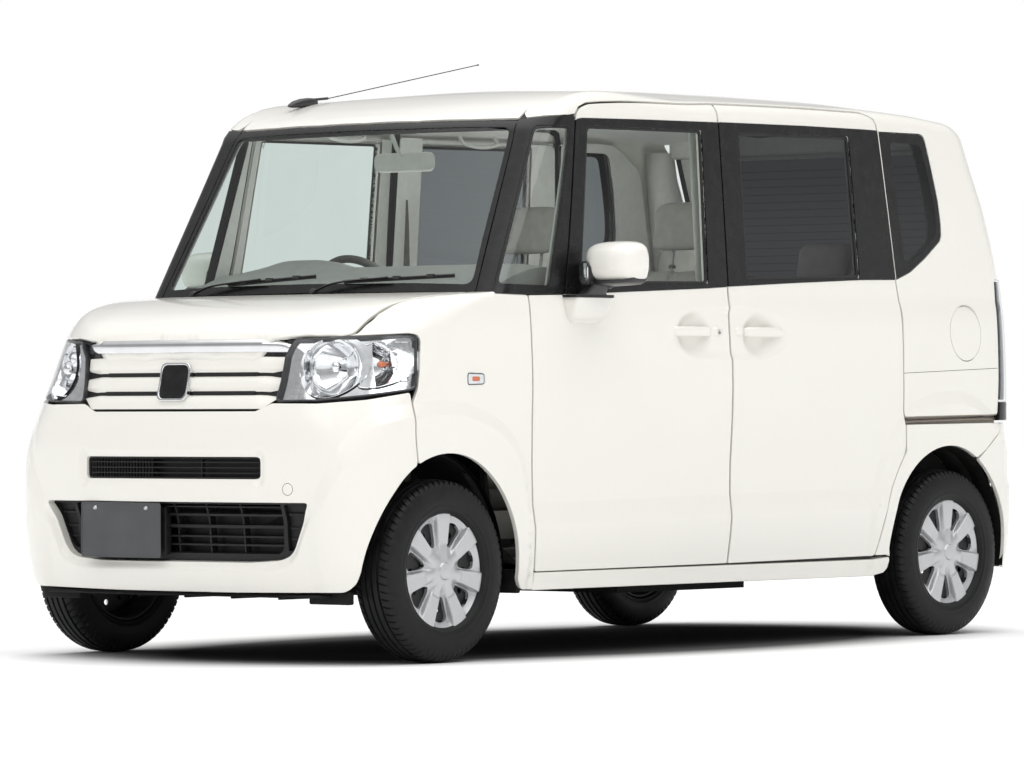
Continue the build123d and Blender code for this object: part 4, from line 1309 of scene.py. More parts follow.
wing_o = list(from_side(L_MAP, wing_side))
wing_o += list(to_uv(L_MAP, on_hood([(648, -1045), (640, -1130), (637, -1216), (626, -1344), (613, -1437), (603, -1480), (594, -1506)])))
wing_o += [np.array([-1640 + 12, 975.0])]
wing_o += [np.array(q, float) for q in [(-1500, 977), (-1391, 975), (-1366, 968), (-1358, 951), (-1378, 860), (-1394, 806)]]
wing_o += [np.array([u, v], float) for u, v in [(-1416, 768), (-1418, 735), (-1412, 662), (-1400, 600)]]
wing_o += list(from_side(L_MAP, arch(-1260, 328, 348, 114, 2)))
wing_o += list(from_side(L_MAP, [(-930, 240), (-912, 212), (-900, 206)]))
wing_cut = [4, 40, 40, 40, 40, 5, 20] + [20] * 7 + [4] + [40, 12, 12, 20, 20] + [14, 14, 30, 4][:3] + [10] + [20] * 26 + [10, 10, 10]
wing_cut = [8] * len(wing_o)
wing = panel(L_MAP, wing_o, step=20, edge=9, hem=2.6, flange=14, cut=wing_cut,
             lines=crest_lines(CREST_F, -1420, -880, (-43, -37, -3, 3)), fine=[(-1640, -1000, 960, 1110, 15.0)])
finish_pair("front_wing", wing, [PAINT], "shell", "shell", [])

# bonnet: outline from above
HOOD_SIDE = [(0, -1645.5), (150, -1643), (300, -1634), (400, -1616), (440, -1602), (500, -1574), (560, -1537), (584, -1515), (592, -1496), (606, -1437), (619, -1344), (631, -1216), (641, -1068),
             (440, -1116), (220, -1146), (0, -1156)]
hood_loop = [(-x, y) for x, y in HOOD_SIDE[::-1]][:-1] + HOOD_SIDE[:-1]
hood_loop = [(x, y) for x, y in hood_loop]
bonnet = panel(T_HOOD, hood_loop, step=24, edge=11, hem=2.6, flange=14, cut=14, fine=[(-640, 640, -1660, -1440, 14.0)])
finish_one("bonnet_skin", bonnet, [PAINT], "bonnet_lid", ["bonnet"])

# front bumper
half = [(0, 745), (330, 745), (384, 768), (396, 768), (548, 767), (700, 777), (850, 798)]
half += [(W_MID + u, v) for u, v in [(-1421, 768), (-1423, 735), (-1417, 662), (-1405, 600)]]
af = from_side(L_MAP, arch(-1260, 328, 348, 116, 180, 22))
half += [(W_MID + u, v) for u, v in af]
half += [(W_MID + u, v) for u, v in from_side(L_MAP, [(-1590, 240), (-1598, 222), (-1606, 214)])]
half += [(480, 212), (240, 209), (0, 209)]
bump_loop = [(-a, b) for a, b in half[::-1]][:-1] + half[:-1]
bumper_f = panel(F_MAP, bump_loop, [LOW_OPEN, UP_OPEN], step=20, edge=9, hem=3.0, flange=14, hole_flange=40, cut=8, hole_cut=14,
                 lines=[[(s * (u + W_MID), v) for u, v in ln] for s in (1, -1) for ln in crest_lines(CREST_F, -1760, -1424, (-43, -37, -3, 3))],
                 fine=[(-620, 620, 270, 500, 10.0), (-440, 440, 500, 650, 9.0)])
finish_one("front_bumper_skin", bumper_f, [PAINT], "shell", ["front_bumper"])

# sill under the doors
sill_o = from_side(S_MAP, [(-850, 206), (-846, 256), (-840, 256), (838, 256), (921, 263), (926, 250), (922, 226), (905, 212), (849, 203), (-846, 203)])
sill = panel(S_MAP, sill_o, step=24, edge=12, hem=2.6, flange=30, cut=5)
finish_pair("sill", sill, [PAINT], "shell", "shell", [])

# rear quarter above the slide rail: door edge, roof, tailgate edge
TG_X = 609.0


def back_edge(z):
    """u, v where the tailgate opening meets the quarter at height z."""
    pt = shoot(F_side, np.array([[TG_X, 0.0, z]]), np.array([[0.0, 1.0, 0.0]]), t1=2500)
    return to_uv(S_MAP, pt)[0]


VTOP = 1600.0 + 120.0 * math.pi / 2
Q_WIN = [(924, 1640), (1150, 1640), (1171, 1634), (1180, 1620), (1203, 1539), (1231, 1425), (1240, 1343), (1238, 1305), (1228, 1288), (1142, 1231), (1055, 1184), (976, 1159)]
q_up = list(from_side(S_MAP, [(912, 1682), (924, 1646), (974, 1161), (996, 1040), (988, 861), (990, 716), (1505, 722), (1508, 730), (1521, 1168)]))
q_up += [back_edge(z) for z in (1170, 1250, 1367, 1450, 1524, 1580, 1620, 1660)]
q_up += [np.array([1436.0, VTOP]), np.array([900.0, VTOP])]
q_up += list(from_side(S_MAP, [(862, 1702)]))
quarter = panel(S_MAP, q_up, [from_side(S_MAP, Q_WIN)], step=18, edge=9, hem=2.6, flange=10, hole_flange=16, cut=8, hole_cut=10,
                lines=crest_lines(CREST_R, 985, 1510, (-43, -37, -3, 3)))
quarter_l = panel(S_MAP, q_up, [from_side(S_MAP, Q_WIN), from_side(S_MAP, [(1335 + 86.2 * math.cos(t), 988 + 92.2 * math.sin(t)) for t in np.linspace(0, 2 * math.pi, 49)[:-1]])],
                  step=18, edge=8, hem=2.0, flange=10, hole_flange=14, cut=8, hole_cut=4, lines=crest_lines(CREST_R, 985, 1510, (-43, -37, -3, 3)))
finish_one("rear_quarter_left", quarter_l, [PAINT], "shell", [])
finish_one("rear_quarter_right", quarter.mirrored(), [PAINT], "shell", [])

# rear wing under the slide rail
rw = list(from_side(S_MAP, [(993, 690), (1002, 603), (949, 525), (892, 420), (859, 302), (846, 270), (915, 270), (925, 262)]))
rw += list(from_side(S_MAP, arch(1240, 322, 350, 176, 62)))
rw += list(from_side(S_MAP, [(1434, 602), (1476, 636), (1517, 668), (1520, 694)]))
rear_wing = panel(S_MAP, rw, step=16, edge=8, hem=2.6, flange=16, cut=6, lines=crest_lines(CREST_R, 846, 1510, (-43, -37, -3, 3)))
finish_pair("rear_wing", rear_wing, [PAINT], "shell", "shell", [])

# roof: the middle seen from above and a rail turned down each side to the door tops
X_FAN = 570.0
W_EDGE = EndMap(F_side, -1)
mid = [(float(x), float(W_EDGE(np.array([[x, 1632.0 - 2.0 * abs(x) / X_FAN]]))[0, 1])) for x in (-X_FAN, -500, -400, -200, 0, 200, 400, 500, X_FAN)]
mid += [(X_FAN, 1434), (-X_FAN, 1434)]
roof_mid = panel(T_ROOF, mid, step=34, edge=17, hem=0.4, flange=8, cut=0)


class RailMap(SideMap):
    """The roof rail: like the side map, but turned round a corner post in front of U0."""
    U0, RR = -684.0, 92.0

    def rays(self, uv):
        u, v = uv[:, 0], uv[:, 1]
        az = np.clip((self.U0 - u) / self.RR, 0, 1.7)
        nx, ny = np.cos(az), -np.sin(az)
        a = np.maximum(v - self.v0, 0) / self.ref
        o = np.stack([np.full(len(u), self.hw - self.depth), np.maximum(u, self.U0), np.minimum(v, self.v0)], 1)
        return o, np.stack([np.cos(a) * nx, np.cos(a) * ny, np.sin(a)], 1)

    def uv(self, p):
        p = np.atleast_2d(np.asarray(p, float))
        dx, dy = np.abs(p[:, 0]) - (self.hw - self.depth), p[:, 1] - self.U0
        az = np.where(dy < 0, np.arctan2(-dy, dx), 0.0)
        h = np.where(dy < 0, np.hypot(dx, dy), dx)
        a = np.arctan2(np.maximum(p[:, 2] - self.v0, 0), h)
        return np.stack([np.where(dy < 0, self.U0 - self.RR * az, p[:, 1]), np.where(p[:, 2] > self.v0, self.v0 + self.ref * a, p[:, 2])], 1)


RAIL = RailMap(F_side, v0=1600.0, depth=167.0, ref=120.0)
low_edge = RAIL.uv(G_MAP(np.array([(-119.0, 1631.0), (-105, 1632.2), (-80, 1634), (-60, 1635.5), (-30, 1636.5), (0, 1637.6), (40, 1639.5)])))
u_a = RAIL.U0 - RAIL.RR * math.pi / 2
rail = [np.array([u_a + 2.0, VTOP - 1.5]), np.array([u_a + 9.0, VTOP - 40.0]), np.array([u_a + 17.0, VTOP - 90.0])] + list(low_edge)
rail += list(from_side(S_MAP, [(-612, 1644), (-609, 1648), (-592, 1666), (-552, 1681), (-380, 1692), (86, 1703), (535, 1706), (862, 1702)]))
rail += [np.array([900.0, VTOP]), np.array([RAIL.U0, VTOP])]
roof_rail = panel(RAIL, rail, step=16, edge=9, hem=0.4, flange=8, cut=4)
roof_all = Shape().join(roof_mid).join(roof_rail).join(roof_rail.mirrored())
finish_one("roof_skin", roof_all, [PAINT], "shell", ["roof_panel", "body_side_left", "body_side_right", "front_wings"])

# tailgate: lower skin round the glass
R_MAP = EndMap(F_side, 1)
TG_TOP = [(590, 1640), (587, 1655), (575, 1661), (560, 1664.5), (540, 1668), (500, 1674.5), (400, 1687), (300, 1697), (150, 1706.5), (0, 1710)]
tg = [(-601, 486), (601, 486), (603, 700), (603, 1180)] + TG_TOP + [(-x, z) for x, z in TG_TOP[-2::-1]] + [(-603, 1180), (-603, 700)]
TG_GLASS = [(-545, 1128), (545, 1128), (528, 1606), (505, 1628), (-505, 1628), (-528, 1606)]
tailgate_skin = panel(R_MAP, tg, [TG_GLASS], step=26, edge=12, hem=2.6, flange=14, hole_flange=12, cut=10, hole_cut=20)
finish_one("tailgate_skin", tailgate_skin, [PAINT], "hatch", ["tailgate"])

# rear bumper
B_MAP = BackMap(F_rearbump)
rb_half = [(0, 482), (560, 482), (606, 486), (608, 694)]
rb_side = from_side(SideMap(F_rearbump), [(1524, 694), (1521, 666), (1480, 634), (1437, 600)])
rb_half += [(B_MID - u, v) for u, v in rb_side]
rb_half += [(B_MID - u, v) for u, v in from_side(SideMap(F_rearbump), arch(1240, 322, 350, 60, 0, 16))]
rb_half += [(B_MID - u, v) for u, v in from_side(SideMap(F_rearbump), [(1566, 240), (1580, 222), (1592, 212)])]
rb_half += [(430, 214), (0, 214)]
rb = [(-a, b) for a, b in rb_half[::-1]][:-1] + rb_half[:-1]
rear_bumper_s = panel(B_MAP, rb, step=20, edge=10, hem=3.0, flange=13, cut=8)
finish_one("rear_bumper_skin", rear_bumper_s, [PAINT], "shell", ["rear_bumper"])


# ================================================================ glass and the black surrounds
W_MAP = EndMap(F_side, -1)
WS = [(-645, 1096), (-420, 1100), (0, 1102), (420, 1100), (645, 1096), (624, 1245), (603, 1407), (585, 1557), (572, 1622), (400, 1625), (0, 1627), (-400, 1625), (-572, 1622),
      (-585, 1557), (-603, 1407), (-624, 1245)]
WS_IN = [(-625, 1121), (-420, 1128), (0, 1131), (420, 1128), (625, 1121), (606, 1245), (586, 1407), (569, 1553), (562, 1590), (545, 1601), (400, 1605), (0, 1607), (-400, 1605), (-545, 1601),
         (-562, 1590), (-569, 1553), (-586, 1407), (-606, 1245)]
glass = panel(W_MAP, WS, step=40, edge=20, hem=1.2, flange=4, cut=8, offset=-1.6)
frit = panel(W_MAP, WS, [WS_IN], step=30, edge=12, hem=1.6, flange=5, hole_flange=0.6, cut=14, hole_cut=30, offset=-0.4, mat=1)
finish_one("windscreen_glass", glass.join(frit), [M_CLEAR, M_BLACK_GLOSS], "shell", ["windscreen"])


def g_side(pts):
    """Greenhouse coordinates of points given in side view."""
    q = np.array(pts, float)
    o = np.stack([np.full(len(q), 150.0), q[:, 0], q[:, 1]], 1)
    return list(G_MAP.uv(shoot(F_side, o, np.tile([1.0, 0.0, 0.0], (len(q), 1)))))


def g_at(pts):
    return list(G_MAP.uv(np.array(pts, float)))


pil = g_at([(648, -1041, 1094), (704, -1016, 1092.5)]) + g_side([(-879, 1092.5), (-713, 1095), (-679, 1246), (-645, 1433), (-612, 1622), (-611, 1634), (-617, 1637)])
pil += [np.array([-60, 1632.0]), np.array([-121, 1627.0])] + g_at([(573, -752, 1625), (587, -795, 1557), (606, -874, 1407), (628, -960, 1245)])
q_hole = [np.array(t, float) for t in [(-80, 1604), (68, 1604), (192, 1112), (-52, 1116)]]
pillar = panel(G_MAP, pil, [q_hole], step=18, edge=9, hem=2.2, flange=9, hole_flange=5, cut=4, hole_cut=20, offset=0.2)
finish_pair("front_pillar_trim", pillar, [M_BLACK_GLOSS], "shell", "shell", [])
q_pane = panel(G_MAP, q_hole, step=26, edge=13, hem=0.8, flange=2, cut=20, offset=-1.8)
q_ring = panel(G_MAP, q_hole, [[np.array(t, float) for t in [(-71, 1597), (61, 1597), (184, 1119), (-41, 1123)]]], step=20, edge=10, hem=0.5, flange=1, hole_flange=0.5, cut=20, hole_cut=18,
               offset=-1.2, mat=1)
qg = q_pane.join(q_ring)
both = Shape().join(qg).join(qg.mirrored())
finish_one("front_quarter_panes", both, [M_CLEAR, M_BLACK_GLOSS], "shell", ["front_quarter_glass"])

# front door: black frame, glass run and pane
SG = S_MAP
blk_f = from_side(SG, [(-708, 1093), (-675, 1246), (-641, 1433), (-609, 1618), (-604, 1628), (-580, 1632), (-300, 1637), (87.2, 1641), (87.2, 1125), (-18, 1119), (-300, 1108), (-600, 1096)])
win_f = from_side(SG, DOOR_WIN_F)
frame_f = panel(SG, blk_f, [win_f], step=24, edge=10, hem=1.2, flange=17, hole_flange=16, cut=6, hole_cut=9, offset=1.6, mat=0)
run_in = from_side(SG, [(-622, 1136), (-550, 1594), (-541, 1601), (-4, 1605), (-16, 1142)])
run_f = panel(SG, [np.array(q) for q in win_f], [run_in], step=20, edge=10, hem=0.8, flange=3, hole_flange=6, cut=9, hole_cut=9, offset=-4.0, mat=1)
pane_f = panel(SG, from_side(SG, [(-630, 1132), (-557, 1598), (-547, 1606), (0, 1610), (-12, 1138)]), step=40, edge=20, hem=0.6, flange=4, cut=8, offset=-8.5, mat=0)
finish_pair("front_door_frame", frame_f.join(run_f), [M_BLACK_GLOSS, M_RUBBER], "door_left", "door_right", [])
finish_pair("front_door_pane", pane_f, [M_CLEAR], "door_left", "door_right", ["front_door_glass_*"])

# sliding door: frame, run, pane
blk_s = from_side(SG, [(92.8, 1126), (92.8, 1642), (535, 1645), (860, 1644), (915, 1643), (920.5, 1636), (969.5, 1163), (968, 1159), (782, 1156), (440, 1142)])
win_s = from_side(SG, DOOR_WIN_S)
frame_s = panel(SG, blk_s, [win_s], step=24, edge=10, hem=1.2, flange=17, hole_flange=16, cut=5, hole_cut=9, offset=1.6)
run_s = panel(SG, [np.array(q) for q in win_s], [from_side(SG, [(197, 1157), (197, 1604), (756, 1610), (769, 1171)])], step=20, edge=10, hem=0.8, flange=3, hole_flange=6, cut=9, hole_cut=9,
              offset=-4.0, mat=1)
pane_s = panel(SG, from_side(SG, [(192, 1152), (192, 1609), (760, 1615), (774, 1166)]), step=40, edge=20, hem=0.6, flange=4, cut=8, offset=-8.5)
finish_pair("sliding_door_frame", frame_s.join(run_s), [M_BLACK_GLOSS, M_RUBBER], "shell", "shell", [])
QP = [(926, 1637), (1148, 1637), (1168, 1631), (1177, 1618), (1200, 1539), (1228, 1425), (1237, 1343), (1235, 1306), (1226, 1290), (1141, 1234), (1055, 1187), (979, 1163)]
qp = from_side(SG, QP)
pane_q = panel(SG, qp, [], step=24, edge=10, hem=1.2, flange=17, cut=10, offset=-1.0)
QIN = [(985, 1606), (1132, 1604), (1150, 1596), (1158, 1580), (1182, 1500), (1205, 1405), (1212, 1345), (1208, 1318), (1196, 1302), (1130, 1256), (1060, 1220), (1028, 1214)]
q_ring2 = panel(SG, qp, [from_side(SG, QIN)], step=24, edge=10, hem=1.6, flange=5, hole_flange=0.5, cut=10, hole_cut=22, offset=-0.6, mat=1)
side = Shape().join(pane_s).join(pane_q).join(q_ring2)
finish_one("rear_side_panes", Shape().join(side).join(side.mirrored()), [M_DARK_GLASS, M_BLACK_GLOSS], "shell", ["rear_side_glass"])

# tailgate pane with its black border
TG_IN = [(-505, 1168), (505, 1168), (492, 1578), (470, 1596), (-470, 1596), (-492, 1578)]
tgp = [(-540, 1133), (540, 1133), (523, 1602), (502, 1623), (-502, 1623), (-523, 1602)]
tg_pane = panel(R_MAP, tgp, step=40, edge=16, hem=1.2, flange=4, cut=20, offset=-1.6)
tg_ring = panel(R_MAP, tgp, [TG_IN], step=26, edge=12, hem=1.2, flange=4, hole_flange=0.5, cut=20, hole_cut=20, offset=-0.8, mat=1)
heat = Shape()
for z in np.arange(1190, 1580, 26.0):
    xs = np.linspace(-500 + (z - 1168) * 0.03, 500 - (z - 1168) * 0.03, 26)
    pts = R_MAP(np.stack([xs, np.full(len(xs), z)], 1), 0.0)
    n = R_MAP.normal(pts)
    heat.join(tube(pts - n * 6.6, 0.9, 5), 2)
finish_one("tailgate_pane", tg_pane.join(tg_ring).join(heat), [M_DARK_GLASS, M_BLACK_GLOSS, plain("heater_lines", (0.10, 0.06, 0.04), (0.14, 0.09, 0.06), (0.4, 0.6), 50)], "hatch", ["tailgate_glass"])


# ================================================================ headlamps
M_AMBER = plain("bulb_amber", (0.55, 0.10, 0.02), (0.70, 0.16, 0.03), (0.15, 0.25), 40, coat=0.6)
M_BULB = plain("bulb_frosted", (0.50, 0.52, 0.55), (0.62, 0.63, 0.66), (0.12, 0.2), 60, coat=0.7)
M_BEZEL = plain("lamp_bezel", (0.030, 0.031, 0.033), (0.05, 0.05, 0.052), (0.3, 0.42), 50)
LAMP = [(439, 958), (648, 964), (882, 968), (902, 963), (906, 950), (877, 814), (865, 806), (700, 788), (548, 775), (404, 773), (395, 780), (408, 907)]


def back_of(F, x, z, y0=-300.0, gap=8.0):
    """Y just behind the skin F at x, z (front of the car)."""
    o = np.stack([x, np.full(len(x), y0), z], 1)
    p = shoot(F, o, np.tile([0.0, -1.0, 0.0], (len(x), 1)), t1=2000)
    n = gradient(F, p)
    return p[:, 1] + gap / np.clip(-n[:, 1], 0.25, 1)


def bowl(cx, cz, y_rim, r_rim, focal, y_front, flutes=0, gap=9.0, n=56):
    """Parabolic reflector facing forward whose mouth is trimmed to the lens."""
    a = np.linspace(0, 2 * math.pi, n, endpoint=False)
    rows = []
    for t in np.linspace(0.14, 1.0, 9):
        r = r_rim * t
        rows.append((r, y_rim + (r_rim ** 2 - r ** 2) / (4 * focal)))
    for k, t in enumerate(np.linspace(0.2, 1.0, 4)):
        rows.append((r_rim + 0.7 * (k + 1), y_rim + (y_front - y_rim) * t))
    vs = []
    for r, y in rows:
        rr = r * (1 + 0.012 * flutes * (np.abs(np.sin(a * 9)) - 0.5))
        x, z = cx + rr * np.cos(a), cz + rr * np.sin(a)
        lim = back_of(F_low, x, z, gap=gap)
        vs.append(np.stack([x, np.maximum(y, lim), z], 1))
    s = Shape()
    s.add(np.concatenate(vs), grid_faces(len(rows), n, wrap_c=True, flip=True))
    return s, vs[-1]


def as_w(p):
    return np.stack([plan_u(np.abs(p[:, 0]), p[:, 1]) + W_MID, p[:, 2]], 1)


unit_l = Shape()
b1, rim1 = bowl(549, 873, -1556, 88, 30, -1632)
b2, rim2 = bowl(647, 880, -1478, 66, 22, -1540, flutes=1)
unit_l.join(b1, 0).join(b2, 0)
h1 = as_w(rim1)
h1 = h1[(np.arange(len(h1)) % 2) == 0]
h2 = as_w(rim2)
h2 = h2[(np.arange(len(h2)) % 2) == 0]
h2 = h2[h2[:, 0] > h1[:, 0].max() + 5] if False else h2
lamp_in = inset(ccw(np.array(LAMP, float)), 5)
keep = h1[:, 0].max()
h2[:, 0] = np.maximum(h2[:, 0], keep + 4 + 0.02 * np.abs(h2[:, 1] - 880))
try:
    field = panel(F_MAP, lamp_in, [h1, h2], step=16, edge=8, hem=0.8, flange=30, hole_flange=1.0, cut=3, hole_cut=0, offset=-17)
except Exception:
    field = panel(F_MAP, lamp_in, [], step=16, edge=8, hem=0.8, flange=30, cut=3, offset=-34)
unit_l.join(field, 0)
# stepped blocks in the outer corner
for i, (w0, w1) in enumerate([(808, 830), (832, 855), (857, 884)]):
    for j, (v0, v1) in enumerate([(832, 872), (875, 913), (916, 950)]):
        q = [(w0 + 3 * (i == 2 and j == 0), v0), (w1 - (14 if (i == 2 and j == 0) else 4 if i == 2 and j == 1 else 0), v0), (w1, v1), (w0, v1)]
        unit_l.join(panel(F_MAP, q, [], step=30, edge=8, hem=3.0, flange=10, cut=2, offset=-9.0 - 2.0 * i), 0)
# bulbs with their shades
unit_l.join(revolve([(0, 0), (0, 9), (-26, 9), (-30, 6), (-48, 6), (-54, 2.5), (-55, 0)], (549, -1500, 873), (0, 1, 0), 20), 1)
unit_l.join(revolve([(-64, 0), (-64, 11), (-60, 15), (-46, 15), (-46, 13.4), (-60, 13.4)], (549, -1500, 873), (0, 1, 0), 24), 0)
unit_l.join(tube([(549, -1546, 887), (549, -1510, 900), (549, -1498, 903)], 1.6, 6), 0)
unit_l.join(revolve([(0, 0), (0, 8), (-16, 8), (-24, 10), (-34, 9), (-41, 5), (-43, 0)], (650, -1440, 880), (0, 1, 0), 20), 2)
bez = panel(F_MAP, LAMP, [lamp_in], step=14, edge=8, hem=0.8, flange=30, hole_flange=24, cut=6, hole_cut=4, offset=-2.4, mat=3)
unit_l.join(bez)
lens = panel(F_MAP, inset(ccw(np.array(LAMP, float)), 1.0), [], step=26, edge=13, hem=1.8, flange=6, cut=8, offset=-0.4)
finish_one("headlamp_units", Shape().join(unit_l).join(unit_l.mirrored()), [M_REFLECT, M_BULB, M_AMBER, M_BEZEL], "shell", ["headlamps"])
finish_one("headlamp_covers", Shape().join(lens).join(lens.mirrored()), [M_LENS], "shell", [])

# ================================================================ grille
def grille_strip(rows, half, mat_rows, ncol=61, crease=332.0, turn=0.20, lift=0.0):
    """Strip across the nose: rows are (height, depth behind the skin)."""
    s_ = np.linspace(-1, 1, ncol)
    vs = []
    for v, d in rows:
        wmax = half(v)
        w = s_ * wmax
        # put columns on the facet creases
        i0, i1 = np.argmin(np.abs(w + crease)), np.argmin(np.abs(w - crease))
        w[i0], w[i1] = -crease, crease
        p = F_MAP(np.stack([w, np.full(ncol, v)], 1))
        n = F_MAP.normal(p)
        off = -d + lift - np.maximum(np.abs(w) - crease, 0) * turn
        vs.append(p + n * off[:, None])
    s = Shape()
    f = grid_faces(len(rows), ncol)
    v = np.concatenate(vs)
    # outward is -Y in the middle
    a, b, c = v[f[0][0]], v[f[0][1]], v[f[0][2]]
    if np.cross(b - a, c - a)[1] > 0:
        f = [q[::-1] for q in f]
    s.add(v, f)
    k = len(f) // (len(rows) - 1)
    s.m = [mat_rows[i // k] for i in range(len(f))]
    return s


g_half = curve([(740, 318), (751, 342), (776, 396), (830, 399), (907, 402), (915, 404), (958, 426)])
gr = Shape()
gr.join(grille_strip([(905, 18), (905, 3), (902, 1), (872, 0), (869, 1.5), (860, 14), (850, 15), (843, 2.5), (841, 0.5), (818, 0), (815, 1.5), (806, 14), (796, 15), (789, 2.5), (787, 0.5), (756, 0.5),
                      (752, 2.5), (751, 16)], g_half, [2, 0, 0, 0, 0, 2, 0, 0, 0, 0, 0, 2, 0, 0, 0, 0, 2]))
bar = grille_strip([(918, 22), (917, 2), (920, -3.5), (944, -4.5), (947, -3.0), (956, 2.0), (958, 5), (958, 22)], g_half, [1] * 7, turn=0.26)
gr.join(bar)
# black gloss strip filling the gap between the chrome bar and the top painted slat: painted shade of that gap
gr.join(grille_strip([(919, 3.5), (904, 3.5)], g_half, [3]))
for z0 in (855.5, 801.5):
    for s0, s1 in ((-306, -64), (64, 306)):
        q = [(s0, z0 - 6), (s1, z0 - 6), (s1 + (3 if s1 > 70 else 0), z0 + 6), (s0 - (3 if s0 < -70 else 0), z0 + 6)]
        gr.join(panel(F_MAP, q, [], step=30, edge=10, hem=1.0, flange=6, cut=3, offset=-11.5), 2)
back = [(-430, 962), (430, 962), (410, 907), (402, 770), (344, 745), (-344, 745), (-402, 770), (-410, 907)]
gr.join(panel(F_MAP, back, [], step=30, edge=12, hem=1.0, flange=12, cut=6, offset=-19), 2)
# blank badge seat
sq = soften([(-61, 773), (61, 773), (61, 889), (-61, 889)], 26, 8)
sq_in = soften([(-53, 781), (53, 781), (53, 881), (-53, 881)], 22, 8)
gr.join(panel(F_MAP, sq, [sq_in], step=10, edge=6, hem=3.0, flange=20, hole_flange=8, cut=0.1, hole_cut=0.1, offset=10), 1)
gr.join(panel(F_MAP, inset(ccw(np.array(sq_in)), -1.5), [], step=12, edge=6, hem=2.0, flange=8, cut=0.1, offset=5.5), 3)
finish_one("grille_assembly", gr, [PAINT, M_CHROME, M_BLACK, M_BLACK_GLOSS], "shell", ["grille"])

# ================================================================ bumper openings
ig = Shape()
up_b = [(-352, 549), (352, 549), (352, 606), (-352, 606)]
ig.join(panel(F_MAP, [(-362, 540), (362, 540), (362, 616), (-362, 616)], [], step=30, edge=14, hem=1, flange=4, cut=3, offset=-44), 0)
for z in (562, 578, 594):
    ig.join(panel(F_MAP, [(-356, z - 1.8), (356, z - 1.8), (356, z + 1.8), (-356, z + 1.8)], [], step=60, edge=16, hem=0.7, flange=16, cut=0.5, offset=-14), 0)
for w in list(np.arange(-348, -70, 13.0)) + [128.0]:
    ig.join(panel(F_MAP, [(w - 1.6, 547), (w + 1.6, 547), (w + 1.6, 608), (w - 1.6, 608)], [], step=60, edge=16, hem=0.7, flange=14, cut=0.5, offset=-15.5), 0)
frame_up = [(-358, 543), (358, 543), (358, 612), (-358, 612)]
ig.join(panel(F_MAP, frame_up, [[(-351, 550), (351, 550), (351, 605), (-351, 605)]], step=20, edge=12, hem=0.8, flange=40, hole_flange=26, cut=12, hole_cut=8, offset=-9), 0)
lo_ring = [(-536, 482), (-472, 332), (-450, 311), (-412, 300), (412, 300), (450, 311), (472, 332), (536, 482)]
lo_in = [(-420, 470), (-414, 338), (-396, 322), (396, 322), (414, 338), (420, 470)]
pocket = [(432, 468), (520, 468), (514, 440), (466, 346), (452, 334), (430, 330)]
pk_holes = [pocket, [(-a, b) for a, b in pocket]]
ig.join(panel(F_MAP, lo_ring, [lo_in] + pk_holes, step=20, edge=10, hem=1.2, flange=40, hole_flange=22, cut=8, hole_cut=8, offset=-24), 0)
ig.join(panel(F_MAP, [(-424, 476), (-424, 316), (424, 316), (424, 476)], [], step=40, edge=16, hem=1, flange=4, cut=3, offset=-74), 0)
for sg in (1, -1):
    po = [(sg * a, b) for a, b in pocket]
    ig.join(panel(F_MAP, inset(ccw(np.array(po, float)), -4), [], step=30, edge=12, hem=1, flange=4, cut=6, offset=-40), 0)
    for z in (366, 398, 430):
        w1 = np.interp(z, [330, 346, 440, 468], [448, 466, 514, 520]) - 4
        ig.join(panel(F_MAP, [(sg * 436, z - 3), (sg * w1, z - 3), (sg * (w1 + 3), z + 3), (sg * 436, z + 3)], [], step=30, edge=12, hem=1, flange=10, cut=1, offset=-32), 0)
for z in (346, 371, 402, 427, 452):
    h = 3.0 if z not in (402,) else 5.0
    ig.join(panel(F_MAP, [(-418, z - h), (418, z - h), (418, z + h), (-418, z + h)], [], step=60, edge=16, hem=1.2, flange=30, cut=1, offset=-33 if h < 4 else -29), 0)
for w in (-260, -128, 0, 128, 260):
    ig.join(panel(F_MAP, [(w - 3, 322), (w + 3, 322), (w + 3, 472), (w - 3, 472)], [], step=60, edge=16, hem=1.2, flange=26, cut=1, offset=-36), 0)
finish_one("bumper_grilles", ig, [M_BLACK], "shell", ["intake_grilles"])

# towing-eye cap
cap = Shape()
pc = W_MID + float(plan_u(np.array([463.0]), np.array([-1629.0]))[0])
ang = np.linspace(0, 2 * math.pi, 25)[:-1]
disc = np.stack([pc + 18 * np.cos(ang), 516 + 17.5 * np.sin(ang)], 1)
cap.join(panel(F_MAP, disc, [], step=12, edge=4, hem=1.6, flange=2, cut=0.01, offset=0.5), 0)
cap.join(panel(F_MAP, inset(ccw(disc), -0.9), [], step=12, edge=4, hem=0.2, flange=1, cut=0.01, offset=0.12), 1)
finish_one("tow_cap", cap, [PAINT, M_RUBBER], "shell", [])

# number plate holder and blank plate
M_PLATE = plain("plate_charcoal", (0.050, 0.053, 0.058), (0.065, 0.068, 0.073), (0.32, 0.42), 14, bump_s=0.02, bump_scale=600)
M_STEEL = plain("zinc_steel", (0.50, 0.50, 0.49), (0.62, 0.62, 0.60), (0.3, 0.42), 90, metal=1.0)


